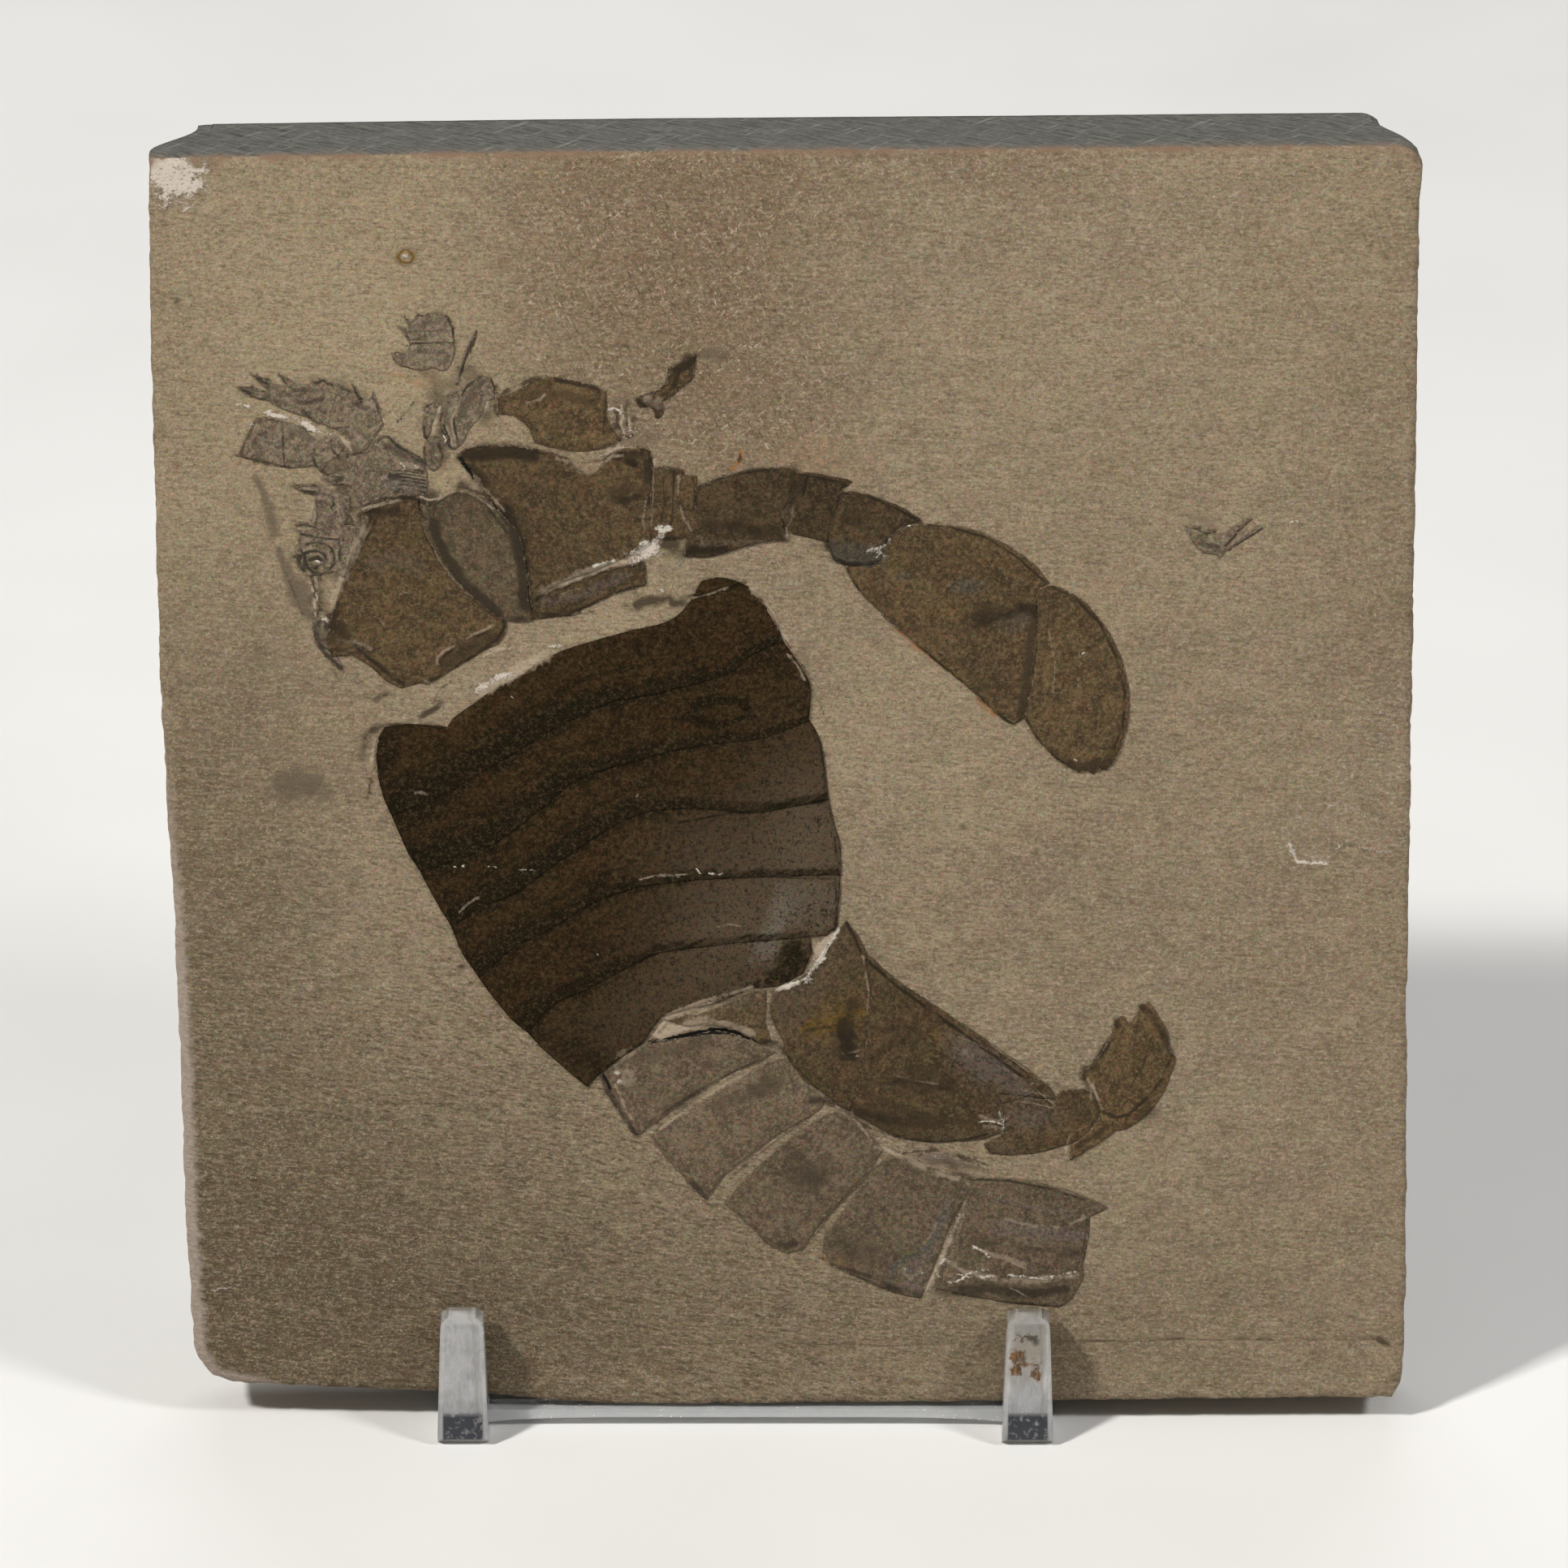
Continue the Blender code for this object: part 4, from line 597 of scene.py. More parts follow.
CLAW_STROKES = [
    ("dark", 0.13, 1, 0, [(566, 108), (548, 150), (516, 228), (496, 290), (474, 364)]),
    ("dark", 0.09, 1, 0.02, [(250, 84), (262, 58), (290, 39), (340, 28), (396, 27), (428, 38), (440, 66)]),
    ("dark", (0.16, 0.1), 1, 0.02, [(434, 50), (450, 90), (457, 130), (458, 165)]),
    ("dark", 0.09, 1, 0, [(240, 180), (262, 166), (310, 164), (370, 162), (420, 160), (456, 164)]),
    ("pale", 0.08, 0.8, 0, [(256, 156), (320, 154), (380, 150), (446, 152)]),
    ("dark", 0.08, 0.9, 0, [(462, 186), (456, 230), (444, 262)]),
    ("dark", 0.14, 0.8, 0, [(196, 86), (226, 108), (242, 140)]),
    ("dark", 0.1, 0.9, 0, [(226, 44), (250, 66)]),
    ("dark", 0.09, 0.9, 0, [(160, 211), (196, 210), (240, 216)]),
    ("dark", 0.08, 0.8, 0, [(172, 240), (196, 262), (236, 276), (262, 288)]),
    ("dark", 0.08, 0.6, 0, [(182, 222), (206, 240), (226, 264)]),
    ("dark", 0.09, 0.9, 0, [(310, 252), (344, 244), (352, 232), (378, 238), (398, 262)]),
    ("pale", 0.16, 0.7, 0.02, [(446, 236), (448, 262), (432, 288)]),
    ("dark", 0.07, 0.5, 0, [(262, 110), (300, 104), (360, 108), (420, 96)]),
    ("dark", 0.3, 0.35, 0, [(276, 90), (330, 70), (396, 66)]),
    ("dark", 0.3, 0.35, 0, [(270, 210), (330, 200), (410, 206)]),
    ("dark", 0.15, 1, 0, [(268, 444), (246, 478), (222, 504)]),
    ("dark", 0.09, 1, 0, [(222, 504), (200, 528), (180, 552)]),
    ("white", 0.09, 0.8, 0, [(266, 456), (240, 494), (214, 520)]),
    ("dark", 0.11, 1, 0.02, [(596, 320), (562, 334), (530, 360), (504, 394), (488, 434), (474, 474)]),
    ("dark", 0.13, 1, 0, [(456, 520), (462, 560), (470, 604), (484, 652)]),
    ("pale", 0.14, 0.9, 0.05, [(482, 452), (462, 494), (446, 530), (450, 570), (462, 610), (468, 650)]),
    ("pale", 0.1, 0.8, 0.03, [(494, 420), (478, 462), (466, 490)]),
    ("dark", 0.12, 1, 0, [(400, 500), (394, 540), (402, 580), (420, 600)]),
    ("dark", 0.16, 0.9, 0, [(412, 556), (420, 580), (440, 610), (430, 640), (450, 664)]),
    ("white", 0.1, 0.8, 0.04, [(406, 600), (420, 620), (414, 640)]),
    ("pale", 0.1, 0.9, 0.04, [(424, 560), (434, 590), (448, 620), (452, 650)]),
    ("dark", 0.5, 0.4, 0, [(590, 340), (560, 380), (530, 430), (500, 500)]),
    ("dark", 0.3, 0.4, 0, [(440, 420), (426, 460), (416, 510)]),
    ("dark", 0.12, 0.9, 0, [(634, 330), (648, 370), (664, 420), (668, 470)]),
    ("pale", 0.4, 0.55, 0, [(620, 400), (610, 440), (604, 480)]),
    ("dark", 0.12, 0.9, 0, [(316, 470), (348, 454), (386, 446)]),
    ("pale", 0.1, 0.8, 0.02, [(352, 442), (380, 434), (398, 424)]),
    ("pale", 0.22, 0.8, 0.02, [(388, 470), (380, 510), (366, 550), (364, 590)]),
    ("dark", 0.16, 0.8, 0, [(318, 560), (318, 600), (336, 622)]),
    ("dark", 0.14, 0.9, 0, [(330, 626), (350, 606), (378, 608), (392, 630)]),
    ("dark", 0.4, 0.6, 0, [(350, 640), (362, 680), (360, 720)]),
    ("dark", 0.12, 0.9, 0, [(318, 660), (316, 700), (328, 740), (346, 762)]),
    ("dark", 0.2, 0.9, 0, [(382, 640), (400, 680), (404, 720)]),
    ("dark", 0.1, 0.9, 0, [(180, 640), (216, 664), (262, 688), (304, 712)]),
    ("dark", 0.1, 0.9, 0, [(96, 636), (126, 608), (146, 604), (168, 632)]),
    ("dark", 0.09, 0.9, 0, [(84, 652), (120, 682), (170, 712), (226, 736)]),
    ("pale", 0.12, 0.9, 0.03, [(96, 668), (150, 704), (210, 730), (256, 734), (300, 752)]),
    ("dark", 0.12, 0.9, 0, [(216, 740), (262, 756), (310, 772)]),
    ("dark", 0.4, 0.5, 0, [(120, 650), (180, 670), (240, 704)]),
    ("dark", 0.1, 0.8, 0, [(310, 720), (320, 752), (306, 786)]),
    ("dark", (0.2, 0.45), 0.8, 0.02, [(182, 870), (230, 860), (280, 872), (316, 884)]),
    ("dark", 0.18, 0.9, 0, [(180, 790), (230, 800), (280, 812), (336, 820)]),
    ("mauve", 0.9, 0.7, 0, [(180, 820), (240, 834), (300, 850)]),
    ("dark", (0.3, 0.14), 0.9, 0, [(490, 716), (520, 676), (560, 660), (620, 654), (700, 656), (790, 664)]),
    ("dark", 0.14, 1, 0, [(700, 656), (780, 662), (840, 674), (886, 690)]),
    ("dark", 0.75, 0.8, 0, [(540, 700), (600, 686), (680, 682), (760, 684), (840, 690)]),
    # Painted shadow: black in a hollow
    ("black", (0.34, 0.1), 0.75, -0.03, [(492, 716), (512, 740), (536, 776), (552, 808)]),
    ("dark", 0.8, 0.6, 0, [(540, 760), (570, 790), (600, 830)]),
]
HOOK_STROKES = [
    ("dark", 0.55, 1, 0.02, [(512, 158), (490, 186), (462, 204), (440, 214)]),
    ("dark", 0.35, 0.9, 0, [(516, 170), (510, 210), (500, 240)]),
    ("dark", 0.3, 0.7, 0, [(440, 240), (430, 280), (396, 320), (360, 336)]),
    ("dark", 0.14, 0.9, 0, [(514, 250), (480, 286), (440, 316), (404, 346)]),
    ("dark", 0.12, 0.9, 0, [(400, 210), (398, 250), (384, 290), (346, 314), (300, 328), (246, 346)]),
    ("dark", 0.35, 0.9, 0, [(256, 360), (268, 376), (290, 386)]),
    ("dark", 0.4, 0.9, 0, [(322, 400), (342, 416), (350, 436)]),
    ("pale", 0.4, 0.6, 0, [(290, 350), (320, 352), (350, 350)]),
    ("mauve", 0.5, 0.7, 0, [(300, 362), (336, 372), (356, 390)]),
    ("dark", 0.12, 0.6, 0, [(524, 142), (560, 148), (600, 150), (640, 160), (670, 150)]),
    ("smudge", 0.7, 0.6, 0, [(560, 146), (610, 142), (660, 156)]),
    ("dark", 0.09, 0.6, 0, [(170, 92), (190, 106), (214, 122), (236, 126)]),
    ("dark", 0.08, 0.5, 0, [(750, 68), (780, 86), (812, 104)]),
    ("dark", 0.14, 0.8, 0, [(200, 370), (194, 410), (204, 450), (200, 490)]),
    ("dark", 0.12, 0.8, 0, [(240, 400), (228, 440), (234, 490), (222, 520)]),
    ("dark", 0.2, 0.8, 0, [(148, 410), (158, 440), (150, 470)]),
    ("dark", 0.26, 0.7, 0, [(130, 500), (160, 480), (180, 510), (166, 540)]),
    ("pale", 0.14, 0.9, 0.04, [(176, 380), (180, 430), (176, 480), (190, 520)]),
    ("pale", 0.12, 0.8, 0.04, [(214, 400), (212, 450), (216, 500)]),
    ("white", 0.2, 0.9, 0.06, [(112, 404), (136, 398), (160, 404), (176, 420)]),
    ("white", 0.1, 0.8, 0.04, [(206, 506), (220, 500), (236, 508)]),
    ("white", 0.1, 0.8, 0.04, [(186, 540), (210, 534), (228, 520)]),
    ("dark", 0.12, 0.8, 0, [(186, 520), (210, 540), (240, 520)]),
    ("dark", (0.14, 0.3), 0.9, -0.03, [(20, 652), (70, 650), (106, 634), (150, 614), (196, 608),
        (240, 606)]),
    ("dark", 0.45, 0.8, 0, [(130, 626), (180, 620), (230, 622), (270, 612)]),
    ("dark", 0.5, 1, -0.03, [(206, 646), (228, 652), (244, 662)]),
    ("pale", 0.12, 0.9, 0.03, [(60, 628), (110, 610), (150, 588), (200, 580), (240, 582)]),
    ("dark", 0.12, 0.9, 0, [(270, 590), (300, 600), (318, 622), (321, 680), (318, 740), (312, 790)]),
    ("pale", 0.12, 0.7, 0.02, [(330, 640), (328, 720), (322, 790)]),
    ("dark", 0.4, 0.6, 0, [(290, 640), (296, 700), (290, 780), (240, 820), (170, 830)]),
    ("dark", 0.2, 1, 0, [(734, 616), (738, 634), (728, 648)]),
    ("rust", 0.2, 0.9, 0, [(744, 606), (728, 650), (706, 680), (690, 694)]),
    ("dark", 0.09, 0.6, 0, [(716, 652), (700, 676)]),
]
PADDLE_STROKES = [
    ("rust", 0.5, 0.9, 0, [(100, 245), (130, 240), (160, 234), (200, 224), (232, 214)]),
    ("rust", 0.3, 0.7, 0, [(120, 262), (160, 256), (198, 246)]),
    ("dark", 0.3, 0.6, 0, [(100, 258), (130, 252), (168, 246)]),
    ("dark", 0.8, 0.5, 0, [(204, 200), (198, 236), (194, 270), (196, 310)]),
    ("dark", 0.2, 0.8, 0, [(216, 332), (246, 322), (270, 310), (290, 292)]),
    ("white", 0.14, 0.8, 0.03, [(214, 316), (230, 316), (246, 311)]),
    ("dark", 0.5, 0.2, 0, [(334, 206), (346, 236), (358, 262)]),
    ("dark", 0.3, 0.4, 0, [(250, 250), (290, 256), (330, 250)]),
    ("mauve", 0.9, 0.5, 0, [(410, 270), (470, 290), (520, 330), (560, 360)]),
    ("pale", 0.1, 0.7, 0.02, [(520, 290), (560, 318), (604, 350), (650, 380)]),
    ("pale", 0.07, 0.6, 0, [(430, 268), (476, 282), (512, 300)]),
    ("pale", 0.07, 0.6, 0, [(540, 340), (580, 362), (620, 380)]),
    ("pale", 0.09, 0.6, 0.02, [(590, 392), (630, 402), (662, 410)]),
    ("dark", 0.09, 0.6, 0, [(470, 262), (520, 296), (570, 330), (622, 368)]),
    ("dark", 0.09, 0.5, 0, [(390, 300), (440, 330), (480, 362), (520, 384)]),
    ("dark", 0.5, 0.3, 0, [(220, 384), (280, 420), (350, 450), (420, 466), (480, 470)]),
    ("pale", 0.08, 0.5, 0, [(300, 360), (350, 372), (400, 380)]),
    ("white", 0.12, 0.9, 0.05, [(490, 466), (516, 464), (545, 470)]),
    ("white", 0.16, 0.9, 0.05, [(545, 446), (548, 466), (545, 490)]),
    ("pale", 0.3, 0.6, 0.02, [(506, 476), (530, 480)]),
    ("dark", 0.14, 0.9, 0, [(360, 542), (382, 534), (410, 534), (450, 545), (484, 556), (515, 568)]),
    ("smudge", (0.5, 0.2), 0.8, 0, [(380, 556), (410, 558), (450, 566), (500, 576)]),
    ("dark", 0.09, 0.7, 0, [(330, 540), (366, 562), (402, 580), (440, 596)]),
    ("white", 0.09, 0.7, 0.02, [(392, 548), (420, 552)]),
    ("blue", 0.4, 0.9, 0, [(415, 670), (402, 716), (372, 758), (336, 776), (300, 792), (290, 828)]),
    ("pale", 0.3, 0.5, 0, [(318, 800), (330, 820), (352, 834)]),
    ("pale", 0.1, 0.5, 0, [(404, 672), (392, 712), (366, 746)]),
    ("dark", 0.22, 0.7, 0, [(150, 792), (200, 806), (250, 822), (300, 844), (350, 862)]),
    ("white", 0.12, 0.9, 0.05, [(410, 831), (426, 820), (440, 813), (480, 822), (520, 820), (560, 816)]),
    ("white", 0.1, 0.8, 0.05, [(560, 816), (600, 820), (640, 826), (680, 822), (720, 816)]),
    ("pale", 0.3, 0.6, 0, [(500, 762), (540, 776), (598, 790)]),
    ("pale", 0.12, 0.6, 0, [(566, 846), (584, 854), (602, 866)]),
    ("mauve", 0.3, 0.7, 0, [(560, 692), (610, 702), (660, 712), (700, 720)]),
    ("mauve", 0.3, 0.6, 0, [(520, 714), (590, 724), (660, 730), (720, 735)]),
    ("dark", 0.08, 0.6, 0, [(540, 650), (600, 664), (660, 680), (706, 688)]),
    ("dark", 0.3, 0.4, 0, [(480, 740), (540, 750), (620, 756), (700, 760)]),
]
SWIM_STROKES = [
    ("dark", 0.1, 0.8, 0, [(404, 52), (410, 60), (405, 72)]),
    ("white", 0.1, 0.7, 0.03, [(300, 92), (296, 106), (295, 120)]),
    ("white", 0.08, 0.6, 0.03, [(296, 128), (300, 145)]),
    ("dark", 0.14, 0.5, 0, [(110, 151), (160, 133), (220, 136), (290, 141)]),
    ("pale", 0.5, 0.3, 0, [(130, 172), (190, 168), (270, 172)]),
    ("dark", 0.12, 0.5, 0, [(120, 110), (170, 104), (230, 108)]),
    ("dark", 0.09, 0.5, 0, [(140, 78), (190, 74), (260, 80)]),
    ("blue", 0.6, 0.9, 0, [(390, 194), (420, 202), (460, 206)]),
    ("dark", 0.3, 0.8, 0, [(386, 202), (420, 212), (460, 212)]),
    ("white", 0.2, 0.8, 0.05, [(470, 186), (482, 192), (490, 200)]),
    ("dark", 0.12, 0.5, 0, [(430, 90), (480, 86), (530, 96)]),
    ("dark", 0.4, 0.3, 0, [(400, 120), (450, 130), (500, 120)]),
    ("dark", 0.5, 0.5, 0, [(745, 294), (760, 292), (775, 296)]),
    ("dark", 0.5, 0.5, 0, [(670, 322), (706, 312), (740, 302)]),
    ("blue", 0.7, 0.3, 0, [(764, 320), (760, 380), (754, 440), (750, 480)]),
    ("dark", 0.1, 0.7, 0, [(776, 300), (774, 350), (768, 410), (760, 476)]),
    ("dark", 0.1, 0.6, 0, [(600, 400), (650, 362), (700, 330)]),
    ("dark", 0.08, 0.5, 0, [(560, 300), (620, 290), (690, 284)]),
    ("dark", 0.08, 0.5, 0, [(540, 340), (590, 346), (640, 340)]),
    ("dark", 0.3, 0.35, 0, [(640, 440), (690, 460), (730, 470)]),
    ("dark", 0.6, 0.6, 0, [(842, 596), (866, 602), (890, 592)]),
    ("white", 0.1, 0.6, 0, [(850, 586), (856, 588)]),
    ("white", 0.09, 0.6, 0, [(872, 582), (878, 580)]),
    ("rust", 0.12, 0.9, 0, [(500, 334), (560, 380), (620, 424), (700, 500)]),
    ("pale", 0.1, 0.5, 0, [(800, 340), (812, 400), (808, 470)]),
    ("pale", 0.08, 0.4, 0, [(850, 330), (862, 400), (850, 480)]),
    ("dark", 0.1, 0.4, 0, [(830, 330), (842, 400), (836, 480), (820, 540)]),
]
COIL_STROKES = [
    ("smudge", (0.35, 0.5), 0.75, 0, [(60, 40), (86, 90), (112, 160), (134, 240), (150, 300)]),
    ("smudge", (0.3, 0.75), 0.85, 0, [(164, 370), (188, 430), (210, 490), (238, 560), (266, 620)]),
    ("smudge", (0.8, 0.4), 0.8, 0, [(260, 540), (290, 600), (300, 660), (330, 700)]),
    ("dark", 0.11, 0.6, 0, [(176, 400), (200, 470), (226, 550), (258, 630), (282, 690)]),
    ("dark", 0.12, 1, 0.02, [(252, 262), (290, 256), (330, 264), (372, 286), (404, 300)]),
    ("pale", 0.11, 0.9, 0.03, [(262, 274), (306, 274), (350, 296), (390, 312), (440, 316)]),
    ("dark", 0.14, 1, 0, [(270, 300), (316, 306), (360, 318), (410, 322), (452, 326)]),
    ("white", 0.12, 0.8, 0.03, [(312, 308), (330, 312), (346, 308)]),
    ("dark", 0.14, 1, 0, [(300, 348), (340, 338), (386, 346), (418, 368), (432, 400), (428, 440),
        (408, 470)]),
    ("pale", 0.09, 0.9, 0.03, [(284, 378), (320, 366), (366, 366), (400, 384), (412, 414), (404, 446)]),
    ("dark", 0.14, 1, 0, [(288, 390), (320, 380), (360, 382), (388, 400), (396, 430)]),
    ("pale", 0.08, 0.8, 0.02, [(300, 402), (330, 394), (362, 398), (380, 416)]),
    ("dark", 0.3, 1, 0, [(320, 420), (350, 410), (376, 424), (372, 446), (340, 462)]),
    ("dark", 0.22, 1, -0.02, [(292, 396), (290, 430), (306, 460), (336, 482), (374, 484), (402, 466)]),
    ("white", 0.15, 1, 0.04, [(344, 424), (364, 434), (378, 436)]),
    ("dark", 0.4, 1, 0, [(262, 412), (264, 440), (280, 464)]),
    ("pale", 0.1, 0.8, 0.03, [(248, 424), (262, 466), (282, 490), (320, 496)]),
    ("dark", 0.12, 0.9, 0, [(264, 330), (268, 366), (284, 392)]),
    ("dark", 0.18, 0.9, 0, [(320, 500), (334, 540), (346, 600), (350, 640)]),
    ("dark", 0.14, 0.9, 0, [(366, 490), (372, 530), (362, 580), (360, 640), (350, 690)]),
    ("pale", 0.13, 0.9, 0.03, [(306, 506), (326, 566), (336, 640), (342, 690)]),
    ("light", 0.8, 1, 0, [(420, 510), (418, 560), (406, 620), (382, 680)]),
    ("pale", 0.3, 0.5, 0, [(600, 262), (566, 320), (536, 390), (510, 450), (484, 520)]),
    ("pale", 0.2, 0.8, 0.02, [(560, 180), (620, 168), (690, 150), (740, 136)]),
    ("dark", 0.45, 0.9, 0, [(556, 196), (590, 186), (640, 184)]),
    ("dark", 0.2, 0.9, 0, [(556, 210), (566, 230), (556, 262)]),
    ("dark", 0.5, 0.6, 0, [(640, 200), (680, 190), (720, 180)]),
    ("dark", 0.12, 0.8, 0, [(556, 140), (556, 180), (550, 236)]),
    ("dark", 0.16, 1, 0, [(622, 238), (590, 300), (552, 372), (520, 440), (492, 510)]),
    ("dark", 0.2, 1, 0, [(488, 520), (462, 580), (440, 640), (424, 690)]),
    ("dark", (0.5, 0.3), 1, -0.02, [(412, 692), (394, 730), (378, 776)]),
    ("dark", 0.4, 0.7, 0, [(352, 720), (350, 760), (366, 800)]),
    ("white", 0.16, 0.8, 0.04, [(372, 706), (392, 700), (400, 714)]),
    ("dark", 0.14, 0.9, 0, [(350, 810), (384, 836), (420, 860)]),
    ("dark", 0.6, 0.4, 0, [(430, 710), (470, 760), (520, 800)]),
    ("dark", 0.14, 0.9, 0, [(414, 80), (440, 56), (466, 40)]),
    ("dark", 0.16, 1, 0, [(220, 76), (290, 68), (350, 70), (400, 78)]),
    ("dark", 0.2, 1, 0, [(250, 80), (300, 98), (350, 106)]),
    ("pale", 0.12, 0.8, 0.02, [(260, 84), (310, 86), (350, 90)]),
    ("dark", 0.12, 0.9, 0, [(350, 70), (362, 90), (350, 110)]),
    ("dark", 0.1, 0.7, 0, [(344, 160), (348, 210), (342, 250)]),
    ("pale", 0.12, 0.8, 0.02, [(328, 130), (342, 170), (338, 220), (326, 244)]),
    ("dark", 0.12, 0.8, 0, [(406, 110), (430, 130), (428, 160), (410, 180)]),
    ("pale", 0.14, 0.8, 0.03, [(440, 110), (450, 150), (452, 200), (470, 250)]),
    ("dark", 0.1, 0.7, 0, [(470, 270), (500, 250), (530, 262)]),
    ("dark", 0.16, 0.7, 0, [(470, 300), (476, 340), (456, 380), (450, 430)]),
    ("dark", 0.3, 0.5, 0, [(480, 180), (500, 210), (520, 240)]),
]
SPINE_STROKES = [
    ("dark", (0.08, 0.2), 1, 0, [(136, 76), (180, 96), (222, 116)]),
    ("dark", (0.1, 0.16), 0.9, 0, [(272, 82), (292, 102), (306, 120)]),
    ("dark", (0.12, 0.3), 0.9, 0, [(82, 142), (110, 152), (140, 164)]),
    ("dark", 0.08, 0.9, 0, [(82, 136), (120, 136), (170, 150), (216, 158)]),
    ("dark", 0.09, 0.9, 0, [(130, 180), (170, 188), (214, 190), (234, 170), (232, 150)]),
    ("dark", 0.18, 0.9, 0.03, [(430, 112), (444, 122), (470, 104), (492, 116), (520, 128)]),
    ("dark", 0.12, 0.9, 0.02, [(550, 130), (566, 148), (600, 156)]),
    ("dark", 0.16, 1, 0.02, [(612, 132), (630, 172), (650, 204)]),
    ("dark", (0.09, 0.2), 1, 0.02, [(698, 162), (702, 186), (716, 210), (734, 250)]),
    ("dark", 0.09, 0.7, 0, [(532, 180), (520, 220), (510, 260), (500, 300)]),
    ("dark", 0.3, 0.6, 0, [(350, 200), (390, 210), (430, 200), (470, 190)]),
    ("dark", 0.3, 0.5, 0, [(340, 150), (390, 150), (440, 150)]),
    ("dark", 0.2, 0.6, 0, [(300, 160), (290, 190), (300, 214)]),
    ("dark", 0.2, 0.6, 0, [(380, 240), (400, 262), (430, 290), (450, 306)]),
    ("dark", 0.35, 0.5, 0, [(620, 210), (660, 230), (690, 260)]),
    ("pale", 0.3, 0.5, 0, [(664, 214), (690, 212), (710, 240)]),
    ("pale", 0.2, 0.5, 0, [(600, 250), (620, 260), (640, 280)]),
    ("dark", 0.14, 0.8, 0, [(500, 330), (540, 324), (590, 320)]),
    ("dark", 0.3, 0.4, 0, [(600, 330), (650, 350), (690, 380)]),
    ("dark", 0.12, 0.9, 0, [(572, 460), (600, 446), (650, 442), (690, 430)]),
    ("dark", 0.1, 0.8, 0, [(700, 400), (712, 384), (740, 366), (766, 360), (790, 380), (810, 404)]),
    ("dark", 0.1, 0.9, 0, [(810, 404), (850, 430), (900, 462), (930, 480)]),
    ("pale", 0.16, 0.9, 0.03, [(716, 440), (760, 460), (820, 478), (870, 500), (930, 510)]),
    ("white", 0.1, 0.8, 0.04, [(830, 484), (850, 500), (838, 516)]),
    ("white", 0.09, 0.7, 0.04, [(880, 480), (900, 500), (926, 508)]),
    ("dark", 0.1, 0.9, 0, [(574, 464), (582, 500), (590, 530)]),
    ("dark", 0.08, 0.6, 0, [(600, 520), (660, 520), (730, 520), (780, 524)]),
    ("pale", 0.2, 0.7, 0.03, [(500, 366), (540, 364), (560, 384), (590, 400), (600, 430)]),
    ("pale", 0.25, 0.6, 0, [(470, 440), (500, 450), (506, 480)]),
    ("dark", 0.2, 0.8, 0, [(436, 420), (430, 460), (440, 490), (460, 520)]),
    ("dark", 0.14, 0.8, 0, [(460, 500), (480, 530), (510, 540), (560, 550)]),
    ("dark", 0.14, 0.9, 0, [(286, 298), (290, 350), (292, 420), (300, 498)]),
    ("dark", 0.2, 0.6, 0, [(160, 300), (136, 350), (112, 400), (100, 440)]),
    ("dark", 0.16, 1, 0, [(76, 450), (120, 460), (190, 482), (250, 496), (320, 502)]),
    ("dark", 0.09, 0.6, 0, [(320, 502), (370, 506), (410, 504)]),
    ("white", 0.14, 0.8, 0.03, [(140, 310), (158, 306)]),
    ("dark", 0.5, 0.3, 0, [(330, 340), (380, 350), (420, 380)]),
    ("dark", 0.4, 0.3, 0, [(160, 400), (200, 420), (250, 430)]),
    ("dark", 0.14, 0.9, 0, [(560, 548), (520, 564), (500, 584), (440, 590), (380, 584)]),
    ("rust", 0.16, 0.5, 0, [(360, 594), (400, 604), (440, 610)]),
    ("dark", 0.4, 0.7, 0, [(780, 540), (830, 560), (880, 580), (930, 590)]),
    ("dark", 0.16, 0.9, 0, [(890, 560), (920, 580), (950, 600)]),
    ("dark", 0.18, 1, 0, [(640, 690), (700, 660), (760, 644), (830, 636), (890, 646)]),
]
